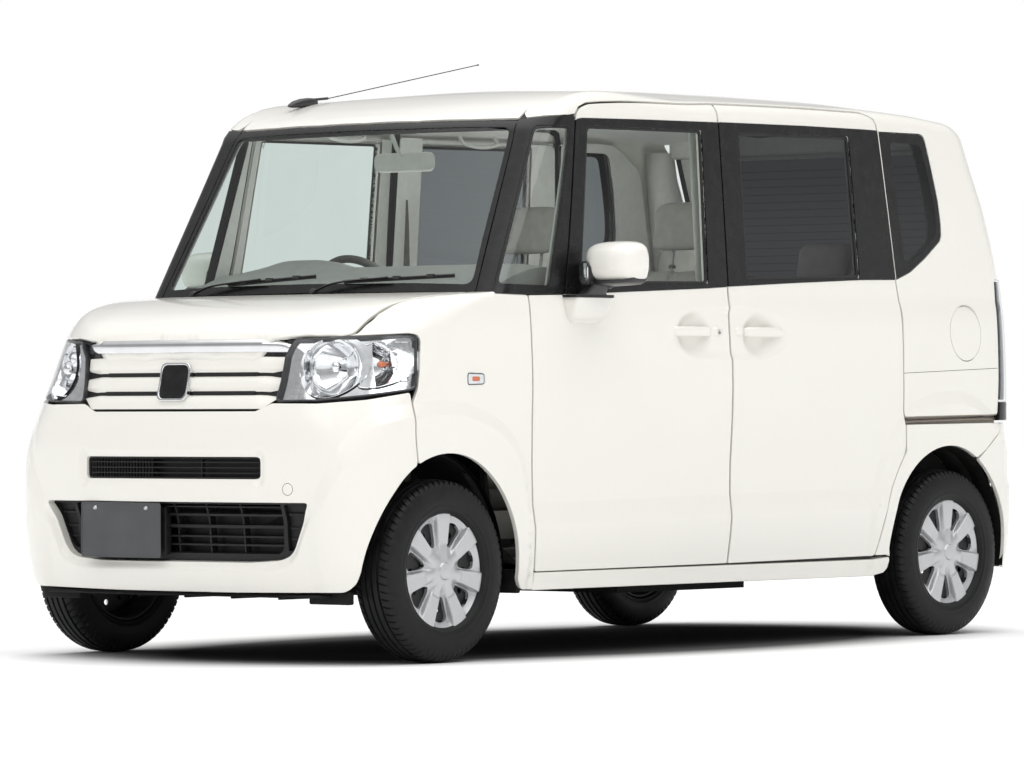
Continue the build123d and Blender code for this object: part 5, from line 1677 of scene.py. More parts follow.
def number_plate(cx, y, cz, facing, w=330.0, h=165.0):
    s = Shape()
    ax = np.array([1.0, 0, 0]) * (1 if facing < 0 else -1)
    o = np.array([cx, y, cz])
    lp = soften([(-w / 2, -h / 2), (w / 2, -h / 2), (w / 2, h / 2), (-w / 2, h / 2)], 9, 5)
    lq = soften([(-w / 2 + 5, -h / 2 + 5), (w / 2 - 5, -h / 2 + 5), (w / 2 - 5, h / 2 - 5), (-w / 2 + 5, h / 2 - 5)], 6, 5)
    s.join(plate(lp, [lq], o, ax, (0, 0, 1), 2.6, 1.0), 0)
    s.join(plate(inset(ccw(lq), -1.2), [], o, ax, (0, 0, 1), 1.4, 0.3), 0)
    for sx in (-105, 105):
        c = o + ax * sx + np.array([0, 0, h / 2 - 17])
        s.join(revolve([(0, 0), (0, 7.5), (1.5, 7.5), (2.6, 5.5), (5.5, 5.2), (6.2, 4.4), (6.2, 0)], c + np.array([0, facing * 1.4, 0]), (0, facing, 0), 6, up=(0, 0, 1)), 1)
    return s


hold = Shape()
hold.join(brick(-352, -32, -1668, -1640, 318, 462, 4, 2), 2)
fp = number_plate(-192, -1692.5, 391, -1)
hold.join(brick(-330, -54, -1692.4, -1664, 332, 450, 3, 2), 2)
finish_one("front_plate_blank", fp.join(hold), [M_PLATE, M_STEEL, M_BLACK], "shell", ["front_plate"])

# ================================================================ side markers on the wings
mk = Shape()
lo = soften([(-1180, 820), (-1106, 822), (-1106, 853), (-1180, 855)], 9, 5)
lo = np.array([t for t in lo])
mk.join(panel(L_MAP, inset(ccw(lo), -1.4), [], step=14, edge=5, hem=0.6, flange=3, cut=0.01, offset=0.6, mat=1))
mk.join(panel(L_MAP, inset(ccw(lo), 2.0), [], step=14, edge=5, hem=0.6, flange=2, cut=0.01, offset=0.9, mat=0))
mk.join(panel(L_MAP, [(-1160, 830), (-1126, 831), (-1126, 845), (-1160, 845)], [], step=10, edge=5, hem=2, flange=2, cut=5, offset=2.2, mat=2))
mk.join(panel(L_MAP, lo, [], step=14, edge=5, hem=3.0, flange=7, cut=0.01, offset=7.0, mat=3))
finish_pair("side_marker", mk, [M_REFLECT, M_RUBBER, M_AMBER, M_LENS], "shell", "shell", [])


# ================================================================ door handles
def handle(y0, y1, cap0, cap1, z=985.0, lock=None):
    """Grab bar over the finger cup with its fixed end piece."""
    s = Shape()
    x_skin = float(S_MAP(np.array([[(y0 + y1) / 2, 1066.0]]))[0, 0])
    n = 22
    ys = np.linspace(y0, y1, 15)
    secs = []
    for y in ys:
        e = min(1.0, (y - y0) / 14.0, (y1 - y) / 14.0) if True else 1
        e = max(e, 0.0)
        grow = 0.72 + 0.28 * math.sqrt(max(0.0, 1 - (1 - e) ** 2))
        hz, hx = 15.5 * grow, 8.5 * grow
        x = x_skin + 9.0 - 13.0 * ((abs(y - (y0 + y1) / 2) / (abs(y1 - y0) / 2)) ** 4)
        a = np.linspace(0, 2 * math.pi, n, endpoint=False)
        secs.append(np.stack([x + hx * np.sign(np.cos(a)) * np.abs(np.cos(a)) ** 0.75, np.full(n, y), z + hz * np.sign(np.sin(a)) * np.abs(np.sin(a)) ** 0.75], 1))
    s.join(loft(secs), 0)
    for cy in (y0 + 9, y1 - 9):
        s.join(brick(x_skin - 26, x_skin + 4, cy - 10, cy + 10, z - 12, z + 12, 4, 2), 0)
    # end piece
    ys = np.linspace(cap0, cap1, 9)
    secs = []
    c, hw = (cap0 + cap1) / 2, abs(cap1 - cap0) / 2
    for y in ys:
        t = (y - c) / hw
        rnd = math.sqrt(max(0.02, 1 - abs(t) ** 3.0))
        a = np.linspace(0, 2 * math.pi, n, endpoint=False)
        secs.append(np.stack([x_skin - 8 + (13.5 * rnd) * np.sign(np.cos(a)) * np.abs(np.cos(a)) ** 0.7 + 0.0, np.full(n, y), z + 16.0 * rnd * np.sign(np.sin(a)) * np.abs(np.sin(a)) ** 0.7], 1))
    s.join(loft(secs), 0)
    if lock is not None:
        x1 = x_skin - 8 + 13.0
        s.join(revolve([(0, 0), (0, 8.5), (-0.2, 9.4), (1.2, 9.4), (1.6, 8.6), (1.0, 7.4), (0.4, 0)], (x1, lock, z), (1, 0, 0), 26), 1)
        s.join(brick(x1 - 1.0, x1 + 0.9, lock - 1.2, lock + 1.2, z - 5.5, z + 5.5, 0.5, 1), 2)
    return s


hf = handle(-200, -6, -2, 58, lock=30.0)
finish_pair("front_handle", hf, [PAINT, M_SATIN, M_BLACK], "door_left", "door_right", [])
hs = handle(164, 356, 112, 160)
finish_pair("sliding_handle", hs, [PAINT], "shell", "shell", [])

# ================================================================ door mirrors
M_BLACK_SMOOTH = plain("black_moulding", (0.014, 0.014, 0.015), (0.024, 0.024, 0.025), (0.28, 0.4), 60, bump_s=0.06, bump_scale=1300)


def mirror_sections(table, n=40, sharp_back=True):
    secs = []
    for x, y0, y1, z0, z1 in table:
        a = np.linspace(0, 2 * math.pi, n, endpoint=False)
        cy, cz = y1 - 22.0, (z0 + z1) / 2
        c, s_ = np.cos(a), np.sin(a)
        # front half long and rounded, back half short and squared
        hy = np.where(c > 0, y1 - cy, cy - y0)
        ex = np.where(c > 0, 0.35, 0.80)
        ez = np.where(c > 0, 0.45, 0.62)
        yy = cy + np.sign(c) * hy * np.abs(c) ** ex
        zz = cz + np.sign(s_) * (z1 - z0) / 2 * np.abs(s_) ** ez
        secs.append(np.stack([np.full(n, x), yy, zz], 1))
    return secs


MT = [(754, -640, -580, 1166, 1222), (757, -652, -574, 1150, 1234), (764, -664, -568, 1139, 1243), (780, -674, -565, 1131, 1249), (805, -680, -564, 1126, 1252), (850, -682, -563, 1124, 1253),
      (890, -678, -563, 1125, 1251), (912, -668, -564, 1130, 1245), (926, -652, -566, 1141, 1234), (933, -632, -570, 1158, 1218), (935, -616, -576, 1172, 1204)]
mir = Shape()
mir.join(loft(mirror_sections(MT)), 0)
# lower trim with the inner corner piece
LT = [(750, -660, -572, 1118, 1190), (756, -674, -568, 1110, 1198), (770, -681, -566, 1108, 1200), (788, -684, -565, 1110, 1200), (797, -682, -565, 1114, 1192)]
mir.join(loft(mirror_sections(LT, 32)), 1)
LB = [(786, -660, -564, 1118, 1140), (800, -668, -561, 1117, 1138), (850, -672, -560, 1118.5, 1137), (895, -666, -561, 1121, 1138), (915, -650, -563, 1128, 1140), (922, -630, -566, 1134, 1144)]
mir.join(loft(mirror_sections(LB, 28)), 1)
# auxiliary convex glass facing forward
pts, k = [], 26
a = np.linspace(0, 2 * math.pi, k, endpoint=False)
for t, dy in ((1.0, 2.0), (0.93, -1.5), (0.86, -1.5)):
    pts.append(np.stack([774 + 20 * t * np.sign(np.cos(a)) * np.abs(np.cos(a)) ** 0.6, np.full(k, -683.0 + dy), 1156 + 37 * t * np.sign(np.sin(a)) * np.abs(np.sin(a)) ** 0.6], 1))
mir.join(loft(pts), 1)
dome = Shape()
rows = []
for t in (0.84, 0.7, 0.5, 0.25):
    rows.append(np.stack([774 + 20 * t * np.sign(np.cos(a)) * np.abs(np.cos(a)) ** 0.6, np.full(k, -684.6 - 3.2 * (0.84 ** 2 - t * t)), 1156 + 37 * t * np.sign(np.sin(a)) * np.abs(np.sin(a)) ** 0.6], 1))
mir.join(loft(rows), 2)
# rear glass in its shell
lp = soften([(770, 1137), (922, 1146), (922, 1222), (905, 1239), (774, 1241)], [14, 14, 20, 20, 14], 6)
lp = np.array(lp)
mir.join(plate(np.stack([-lp[:, 0], lp[:, 1]], 1), [], (0, -563.5, 0), (-1, 0, 0), (0, 0, 1), 3.0, 1.2), 1)
lq = inset(ccw(lp), 6)
mir.join(plate(np.stack([-lq[:, 0], lq[:, 1]], 1), [], (0, -561.5, 0), (-1, 0, 0), (0, 0, 1), 2.0, 0.6), 2)
# neck, gasket and foot
NK = [(1125, 752, 800, -664, -590), (1112, 748, 796, -668, -590), (1098, 742, 786, -676, -586), (1088, 734, 776, -696, -568), (1084, 722, 774, -706, -560)]


def box_loop(x0, x1, y0, y1, z, r, n=5):
    q = soften([(x0, y0), (x1, y0), (x1, y1), (x0, y1)], r, n)
    return [(a_, b_, z) for a_, b_ in q]


mir.join(loft([box_loop(a0, a1, b0, b1, z, 14) for z, a0, a1, b0, b1 in NK]), 1)
FT = [(1085, 704, 776, -716, -548), (1082, 702, 778, -718, -546), (1062, 702, 774, -717, -546), (1038, 702, 764, -714, -549), (1020, 702, 752, -708, -556), (1009, 702, 740, -698, -566), (1005, 702, 732, -688, -576)]
mir.join(loft([box_loop(a0, a1, b0, b1, z, 10 if z > 1075 else 16) for z, a0, a1, b0, b1 in FT], flip=False), 0)
mir.join(loft([box_loop(a0, a1, b0, b1, z, 12) for z, a0, a1, b0, b1 in [(1092, 708, 780, -721, -543), (1083.5, 708, 781, -722, -542)]]), 1)
finish_pair("mirror_assembly", mir, [PAINT, M_BLACK_SMOOTH, M_MIRROR], "door_left", "door_right", ["door_mirror_*"], smooth_angle=38)

# ================================================================ slide rail, seams behind the doors
rail_back = panel(S_MAP, from_side(S_MAP, [(984, 728), (1512, 734), (1514, 690), (984, 684)]), [], step=40, edge=16, hem=1, flange=3, cut=2, offset=-17, mat=0)
rail_lip = panel(S_MAP, from_side(S_MAP, [(988, 716), (1508, 722), (1508, 718.5), (988, 712.5)]), [], step=60, edge=16, hem=0.8, flange=16, cut=0.6, offset=-3, mat=0)
z_r = 701.0
pr = S_MAP(from_side(S_MAP, [(y, np.interp(y, [990, 1500], [699, 709])) for y in np.linspace(990, 1500, 24)]))
rail_rod = tube(pr - S_MAP.normal(pr) * 11, 5.0, 10)
M_RAIL = plain("rail_bronze", (0.20, 0.17, 0.145), (0.27, 0.235, 0.20), (0.35, 0.5), 30, metal=0.6)
M_SLOT = plain("slot_shadow_paint", (0.23, 0.20, 0.165), (0.30, 0.265, 0.22), (0.4, 0.5), 30)
rails = Shape().join(rail_back, 0).join(rail_lip, 0).join(rail_rod, 1)
finish_pair("slide_rail", rails, [M_SLOT, M_RAIL], "shell", "shell", [])
sl = []
for t in np.linspace(987, 1506, 40):
    sl.append((t, np.interp(t, [985, 1502], [858, 875])))
seam = panel(S_MAP, list(from_side(S_MAP, sl)) + list(from_side(S_MAP, [(y, z - 1.9) for y, z in sl[::-1]])), [], step=60, edge=14, hem=0.3, flange=1.2, cut=0.2, offset=0.12)
finish_pair("quarter_seam", seam, [M_RUBBER], "shell", "shell", [])

# ================================================================ fuel lid
FC, FRY, FRZ = (1335.0, 988.0), 84.0, 90.0
ang = np.linspace(0, 2 * math.pi, 49)[:-1]
lid_o = from_side(S_MAP, [(FC[0] + FRY * math.cos(t), FC[1] + FRZ * math.sin(t)) for t in ang])
lid = panel(S_MAP, lid_o, [], step=18, edge=7, hem=1.8, back=7.0, cut=0.01, offset=0.1)
lid.join(brick(704, 722, 1252, 1266, 972, 1004, 2, 1), 1)
finish_one("fuel_lid_skin", lid, [PAINT, M_BLACK], "filler_lid", ["fuel_lid"])
hole_o = from_side(S_MAP, [(FC[0] + (FRY + 3) * math.cos(t), FC[1] + (FRZ + 3) * math.sin(t)) for t in ang])
well = Shape()
ex = [(727.5, 87, 93), (716, 87, 93), (712, 80, 86), (668, 76, 82), (660, 66, 72), (658, 30, 30)]
well.join(loft([[(x, FC[0] + a_ * math.cos(t), FC[1] + b_ * math.sin(t)) for t in ang] for x, a_, b_ in ex], caps=False, flip=True), 0)
well.join(revolve([(0, 34), (14, 34), (16, 32), (22, 31), (22, 0)], (658, 1341, 992), (1, 0, 0), 36), 1)
well.join(brick(678, 692, 1312, 1370, 986, 998, 3, 2), 1)
finish_one("filler_well", well, [PAINT, M_BLACK], "shell", [])

# ================================================================ tail lamps
M_RED = plain("lamp_red", (0.42, 0.012, 0.010), (0.52, 0.018, 0.014), (0.14, 0.2), 120, coat=0.8, bump_s=0.15, bump_scale=500)
M_SMOKE = plain("lamp_smoke", (0.085, 0.09, 0.10), (0.13, 0.135, 0.15), (0.14, 0.22), 60, coat=0.8, bump_s=0.1, bump_scale=500)


def side_edge(z):
    return float(np.interp(z, [700, 730, 1168], [1508.0, 1510.0, 1523.0]))


def tl_band(e0, e1, z0, z1, off, m, hem=1.5, fl=6.0, cut=3.0):
    """Part of the lamp between two fractions of its width."""
    zs = np.linspace(z0, z1, 9)
    a_, b_ = [], []
    for z in zs:
        u0, u1 = side_edge(z), back_edge(z)[0]
        a_.append((u0 + (u1 - u0) * e0, z))
        b_.append((u0 + (u1 - u0) * e1, z))
    return panel(S_MAP, a_ + b_[::-1], [], step=22, edge=9, hem=hem, flange=fl, cut=[cut] + [0.01] * 7 + [cut, cut] + [0.01] * 7 + [cut], offset=off, mat=m)


tl = Shape()
tl.join(tl_band(0.0, 1.0, 764, 1166, -18, 3, 0.8, 4))
tl.join(tl_band(0.03, 0.175, 770, 1160, 2.0, 0, 1.5, 18))
for i in range(17):
    z = 774 + i * 23.0
    tl.join(tl_band(0.20, 0.44, z, z + 21.0, -5.0, 1, 3.0, 10, 1.0))
for z0, z1, m in ((770, 850, 2), (854, 934, 3), (938, 1160, 2)):
    tl.join(tl_band(0.47, 0.97, z0, z1, -3.0, m, 3.0, 12))
tl.join(tl_band(0.0, 1.0, 702, 762, 6.5, 4, 3.0, 18, 6))
tl_lens = tl_band(0.0, 1.0, 763, 1167, 6.0, 0, 3.0, 14, 6)
finish_one("tail_lamp_units", Shape().join(tl).join(tl.mirrored()), [M_SMOKE, M_REFLECT, M_RED, M_REFLECT, M_BLACK_GLOSS], "shell", ["tail_lamps"])
finish_one("tail_lamp_covers", Shape().join(tl_lens).join(tl_lens.mirrored()), [M_LENS], "shell", [])

# ================================================================ aerial and wipers
an = Shape()
secs = []
for y, hw_, z0, z1 in [(-664, 5, 1702, 1706), (-655, 12, 1700, 1713), (-640, 15, 1700, 1722), (-610, 16, 1702, 1730), (-575, 15, 1704, 1734), (-545, 11, 1708, 1734), (-532, 6, 1714, 1728)]:
    a = np.linspace(0, 2 * math.pi, 20, endpoint=False)
    secs.append(np.stack([-450 + hw_ * np.cos(a), np.full(20, float(y)), (z0 + z1) / 2 + (z1 - z0) / 2 * np.sin(a)], 1))
an.join(loft(secs), 0)
an.join(tube([(-450, -560, 1728), (-450, -520, 1732), (-450, -480, 1736)], 4.2, 12), 0)
an.join(tube([(-450, -482, 1735), (-450, 254, 1873)], 1.5, 8), 1)
an.join(revolve([(-4, 0), (-4, 2.4), (3, 2.4), (5, 0)], (-450, 254, 1873), (0, 0.983, 0.184), 10), 1)
finish_one("aerial", an, [M_BLACK_SMOOTH, M_BLACK], "shell", ["antenna"], smooth_angle=40)


def on_glass(pts, out):
    q = W_MAP(np.array(pts, float))
    return q + W_MAP.normal(q) * out


wp = Shape()
for piv, elbow, tip, b0, b1 in (((-470, 1098), (-380, 1120), (-180, 1138), (-330, 1131), (40, 1151)), ((60, 1098), (150, 1122), (330, 1136), (160, 1133), (560, 1146))):
    arm = np.concatenate([on_glass([piv], 16), on_glass([elbow], 22), on_glass([tip], 20)])
    wp.join(tube(smooth_path(arm, 6), 1, 10, section=[(6.5 * math.cos(t), 3.2 * math.sin(t)) for t in np.linspace(0, 2 * math.pi, 13)[:-1]]), 0)
    c = on_glass([piv], 10)[0]
    wp.join(revolve([(-14, 0), (-14, 13), (6, 13), (12, 10), (13, 0)], c, W_MAP.normal(W_MAP(np.array([piv], float)))[0], 24), 0)
    xs = np.linspace(b0[0], b1[0], 22)
    zs = np.interp(xs, [b0[0], b1[0]], [b0[1], b1[1]])
    line = on_glass(np.stack([xs, zs], 1), 9.5)
    wp.join(tube(line, 1, 10, section=[(4.2 * math.cos(t), 3.6 * math.sin(t)) for t in np.linspace(0, 2 * math.pi, 11)[:-1]]), 0)
    line2 = on_glass(np.stack([xs, zs - 2], 1), 4.2)
    wp.join(tube(line2, 1, 6, section=[(1.6, -4.0), (1.6, 4.0), (-1.6, 4.0), (-1.6, -4.0)]), 1)
    for t in (0.2, 0.5, 0.8):
        q = on_glass([(b0[0] + (b1[0] - b0[0]) * t, b0[1] + (b1[1] - b0[1]) * t)], 12)[0]
        wp.join(brick(q[0] - 14, q[0] + 14, q[1] - 5, q[1] + 5, q[2] - 5, q[2] + 5, 2, 2), 0)
finish_one("wiper_set", wp, [M_BLACK_SMOOTH, M_RUBBER], "shell", ["wipers"], smooth_angle=40)


def on_back(pts, out):
    q = R_MAP(np.array(pts, float))
    return q + R_MAP.normal(q) * out


rwp = Shape()
arm = np.concatenate([on_back([(0, 1118)], 20), on_back([(-60, 1140)], 26), on_back([(-250, 1176)], 22)])
rwp.join(tube(smooth_path(arm, 6), 1, 10, section=[(7 * math.cos(t), 4 * math.sin(t)) for t in np.linspace(0, 2 * math.pi, 13)[:-1]]), 0)
rwp.join(revolve([(-22, 0), (-22, 20), (4, 20), (12, 16), (14, 0)], on_back([(0, 1118)], 10)[0], (0, 1, 0), 28), 0)
line = on_back([(x, 1160 - (x + 100) * 0.11) for x in np.linspace(-420, -90, 16)], 12)
rwp.join(tube(line, 1, 10, section=[(4.4 * math.cos(t), 4.0 * math.sin(t)) for t in np.linspace(0, 2 * math.pi, 11)[:-1]]), 0)
line = on_back([(x, 1159 - (x + 100) * 0.11) for x in np.linspace(-420, -90, 16)], 5)
rwp.join(tube(line, 1, 6, section=[(1.6, -4.6), (1.6, 4.6), (-1.6, 4.6), (-1.6, -4.6)]), 1)
finish_one("rear_wiper_arm", rwp, [M_BLACK_SMOOTH, M_RUBBER], "hatch", ["rear_wiper"], smooth_angle=40)


# ================================================================ wheels and tyres
M_SILVER = plain("wheel_silver", (0.50, 0.505, 0.515), (0.535, 0.54, 0.55), (0.30, 0.36), 30, metal=0.55, coat=0.2, coat_r=0.12)
M_STEELWHEEL = plain("wheel_steel_black", (0.012, 0.012, 0.013), (0.028, 0.028, 0.030), (0.4, 0.6), 60, metal=0.2, bump_s=0.1, bump_scale=700)


def tyre_mat():
    m, nt, b, _ = new_mat("tyre_rubber_black")
    t = noise(nt, 30, 5)
    f = noise(nt, 900, 3)
    nt.links.new(ramp(nt, t.outputs["Fac"], [(0.3, (0.006, 0.006, 0.0065)), (0.7, (0.013, 0.013, 0.0135))]), b.inputs["Base Color"])
    nt.links.new(ramp(nt, t.outputs["Fac"], [(0.3, 0.42), (0.7, 0.60)]), b.inputs["Roughness"])
    b.inputs["Specular IOR Level"].default_value = 0.22
    bump(nt, b, f.outputs["Fac"], 0.15, 0.0005)
    return m


M_TYRE = tyre_mat()
TP = [(0, 271, 0), (7, 270.9, 0), (8, 264.5, 0), (14, 264.4, 0), (15, 270.6, 0), (22, 270.3, 0), (30, 269.9, 0), (31, 263.8, 0), (37.5, 263.2, 0), (38.5, 269.0, 2), (43, 268.4, 5.5), (50, 266.8, 5.5),
      (56, 264.0, 5.0), (60.5, 259.6, 4.2), (64, 253.5, 3.0), (66.6, 246.5, 1.4), (68.2, 240.5, 0.3), (69.4, 236, 0), (70.9, 228, 0), (72.0, 219, 0), (72.5, 210, 0), (72.2, 202, 0), (71.4, 195, 0),
      (71.9, 193, 0), (71.6, 190.5, 0), (70.4, 189, 0), (69.2, 184, 0), (67.6, 180, 0), (67.9, 178.6, 0), (66.6, 177.2, 0), (64, 173.6, 0), (60, 170.6, 0), (57.5, 168.5, 0), (54, 167, 0)]
prof = [(-x, r, d) for x, r, d in TP[::-1]][:-1] + TP
PITCH = 70
fr = [0.0, 0.07, 0.20, 0.27, 0.62]
th = np.concatenate([[(k + f_) * 2 * math.pi / PITCH for f_ in fr] for k in range(PITCH)])
dep = np.tile([0.0, 1.0, 1.0, 0.0, 0.0], PITCH)
vs = []
for x, r, d in prof:
    # blocks lean a little across the shoulder
    a = th + 0.0016 * (abs(x) - 38) * (1 if x > 0 else -1) * (abs(x) > 38)
    rr = r - d * dep
    vs.append(np.stack([np.full(len(th), float(x)), rr * np.cos(a), rr * np.sin(a)], 1))
tyre = Shape()
tyre.add(np.concatenate(vs), grid_faces(len(prof), len(th), wrap_c=True, flip=True))

# cover: dish, seven spokes and the domed middle pressed from one sheet
R_OUT = 176.0
HALF = math.pi / 7


def spoke_half(r):
    return np.interp(r, [40, 62, 84, 172, 180], [15.5, 15.0, 17.5, 27.5, 28.5])


def cover_height(r, d):
    """Height of the cover at a radius and a distance from the middle of the nearest spoke."""
    top = np.interp(r, [0, 27, 34, 62, 79, 83, 120, 166, 173, 176], [0.2, 0.2, -0.6, -2.4, -5.0, -3.2, -2.2, -1.2, -2.0, -4.5])
    top = top - 2.0 * (d / np.maximum(spoke_half(r), 1)) ** 2 * smooth((86 - r) / 20) * smooth((r - 30) / 30)
    dish = np.interp(r, [0, 60, 70, 80, 120, 145, 152, 166, 172, 176], [-9, -9, -12, -17, -20, -19.5, -17.5, -9.5, -5.0, -4.8])
    m = smooth((spoke_half(r) + 7.0 - d) / 7.0)
    m = np.maximum(m, smooth((66 - r) / 12.0))
    return dish + (top - dish) * m + 4.5 * smooth((27.0 - r) / 3.5) + 1.2 * smooth((20.0 - r) / 14)


R_ROWS = np.array([3, 10, 17, 20, 23.4, 25.2, 27.2, 30, 36, 46, 56, 62, 68, 73, 76, 77.3, 79, 81, 83, 87, 93, 101, 110, 120, 130, 138, 144, 147.4, 149.6, 151, 152, 155, 160, 165, 169, 172, 174, 176.0])
W0, W1 = 77.0, 151.4


def columns(r):
    """Angles from the middle of a spoke to half way to the next, and where the window starts."""
    w = float(spoke_half(r))
    d = np.array([0, w * 0.5, w * 0.86, w, w + 1.2, w + 2.8, w + 4.4, w + 5.9, w + 7.0])
    sc = 1.0
    ang = np.arcsin(np.clip(d / max(r, d[-1] * 1.02), 0, 1))
    t = (r - (W0 + W1) / 2) / ((W1 - W0) / 2)
    open_ = (1 - abs(t) ** 5.0) ** 0.42 if abs(t) < 1 else 0.0
    wall = HALF - (HALF - math.asin(min(1.0, (w + 8.0) / max(r, w + 8.1)))) * open_
    wall = max(wall, 0.02)
    ang = np.minimum(ang, wall * 0.985 * np.linspace(0.9, 1.0, 9) if r < 60 else ang)
    uni = np.linspace(0, wall * 0.72, 9)
    k = float(smooth(np.array((r - 52) / 20.0)))
    ang = uni * (1 - k) + np.minimum(ang, wall * 0.97) * k
    rest = ang[-1] + (wall - ang[-1]) * np.array([0.34, 0.67, 1.0])
    return np.concatenate([ang, rest]), open_ > 0


cover = Shape()
grid = []
for r in R_ROWS:
    a, _ = columns(r)
    grid.append((r, a))
nc = len(grid[0][1])
for k in range(7):
    c = math.pi / 2 + k * 2 * math.pi / 7
    for sg in (1, -1):
        vs = []
        for r, a in grid:
            d = r * np.sin(a)
            h = cover_height(np.full(nc, r), d)
            vs.append(np.stack([h, r * np.cos(c + sg * a), r * np.sin(c + sg * a)], 1))
        cover.add(np.concatenate(vs), grid_faces(len(grid), nc, flip=(sg < 0)))
        # wall of the window
        rows = []
        for dx in (0.0, -2.0, -11.0):
            rows.append(np.array([v[-1] + [dx, 0, 0] for v, (r, a) in zip(vs, grid) if W0 - 0.5 <= r <= W1 + 0.5]))
        if True:
            cover.add(np.concatenate(rows), grid_faces(3, len(rows[0]), flip=(sg > 0)))
cap0 = [[float(cover_height(np.array(3.0), np.array(0.0))), 3 * math.cos(t), 3 * math.sin(t)] for t in np.linspace(0, 2 * math.pi, 15)[:-1]]
cover.add(np.array(cap0 + [[float(cover_height(np.array(0.0), np.array(0.0))), 0, 0]]), [[q, (q + 1) % 14, 14] for q in range(14)])
rg = np.array([(R_OUT * math.cos(t), R_OUT * math.sin(t)) for t in np.linspace(0, 2 * math.pi, 141)[:-1]])
h0 = float(cover_height(np.array(176.0), np.array(0.0)))
rows = [np.concatenate([np.full((140, 1), h0 - dx), rg * (1 + dr / R_OUT)], 1) for dx, dr in ((0.0, 0.0), (0.8, 0.8), (2.5, 1.3), (8.0, 1.0), (9.0, -1.5))]
cover.add(np.concatenate(rows), grid_faces(5, len(rg), wrap_c=True), mat=0)


def weld(me, dist):
    bm = bmesh.new()
    bm.from_mesh(me)
    bmesh.ops.remove_doubles(bm, verts=bm.verts, dist=dist)
    bmesh.ops.recalc_face_normals(bm, faces=bm.faces)
    bm.to_mesh(me)
    bm.free()


# steel wheel behind: barrel, disc with vent holes, hub
back_w = Shape()
back_w.join(revolve([(-60, 172), (-62, 170), (-62, 166), (-56, 160), (-40, 158), (-20, 150), (20, 150), (36, 158), (44, 163), (50, 166), (50, 168), (46, 170), (-56, 170), (-60, 172)], (0, 0, 0), (1, 0, 0), 72), 1)
hl = []
for k in range(12):
    t = k * math.pi / 6
    hl.append([(118 * math.cos(t) + 9 * math.cos(a), 118 * math.sin(t) + 9 * math.sin(a)) for a in np.linspace(0, 2 * math.pi, 13)[:-1]])
hl.append([(32 * math.cos(a), 32 * math.sin(a)) for a in np.linspace(0, 2 * math.pi, 25)[:-1]])
back_w.join(plate([(151 * math.cos(t), 151 * math.sin(t)) for t in np.linspace(0, 2 * math.pi, 73)[:-1]], hl, (24, 0, 0), (0, 1, 0), (0, 0, 1), 5, 1.5), 1)
back_w.join(revolve([(20, 31), (42, 30), (46, 26), (46, 0)], (0, 0, 0), (1, 0, 0), 32), 1)
for k in range(4):
    t = k * math.pi / 2 + 0.4
    back_w.join(revolve([(28, 10.5), (40, 10.5), (43, 7), (43, 0)], (0, 50 * math.cos(t), 50 * math.sin(t)), (1, 0, 0), 6), 2)
# valve
back_w.join(tube([(36, 0, -150), (50, 0, -147)], 3.2, 8), 3)
for end, cy in (("front", -1260.0), ("rear", 1260.0)):
    for side, sg in (("left", 1), ("right", -1)):
        body = "wheel_" + end[0] + side[0]
        for nm, sh, mats in ((f"{end}_wheel_cover_{side}", Shape().join(cover.moved(60.5, 0, 0)).join(back_w), [M_SILVER, M_STEELWHEEL, M_STEEL, M_RUBBER]),
                             (f"{end}_tyre_tread_{side}", tyre, [M_TYRE])):
            s_ = sh.moved(652.5, cy, 271.0)
            if sg < 0:
                s_ = s_.mirrored()
            ob = s_.make(nm, mats)
            weld(ob.data, 0.00008)
            sharp_by_angle(ob.data, 40 if "tyre" in nm else 34)
            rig.ride(ob, body)
            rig.replaces(ob, f"{end}_{'wheel' if 'cover' in nm else 'tyre'}_{side}")
            PIECES[nm] = ob


# ================================================================ cabin
M_TRIM = plain("cabin_trim_grey", (0.62, 0.615, 0.585), (0.68, 0.675, 0.645), (0.5, 0.65), 40, bump_s=0.25, bump_scale=1100, spec=0.3)
M_TRIM_DK = plain("cabin_trim_dark", (0.085, 0.083, 0.080), (0.12, 0.118, 0.113), (0.5, 0.65), 40, bump_s=0.3, bump_scale=1100, spec=0.3)
M_DASH = plain("dash_top_grey", (0.30, 0.298, 0.285), (0.36, 0.356, 0.34), (0.5, 0.62), 30, bump_s=0.3, bump_scale=900, spec=0.3)
M_LINER = plain("headliner_knit", (0.72, 0.715, 0.69), (0.80, 0.795, 0.77), (0.8, 0.95), 220, bump_s=0.5, bump_scale=700, spec=0.1)
M_CARPET = plain("floor_carpet", (0.055, 0.053, 0.05), (0.10, 0.097, 0.092), (0.9, 1.0), 420, bump_s=1.0, bump_scale=500, spec=0.05, dist=0.002)


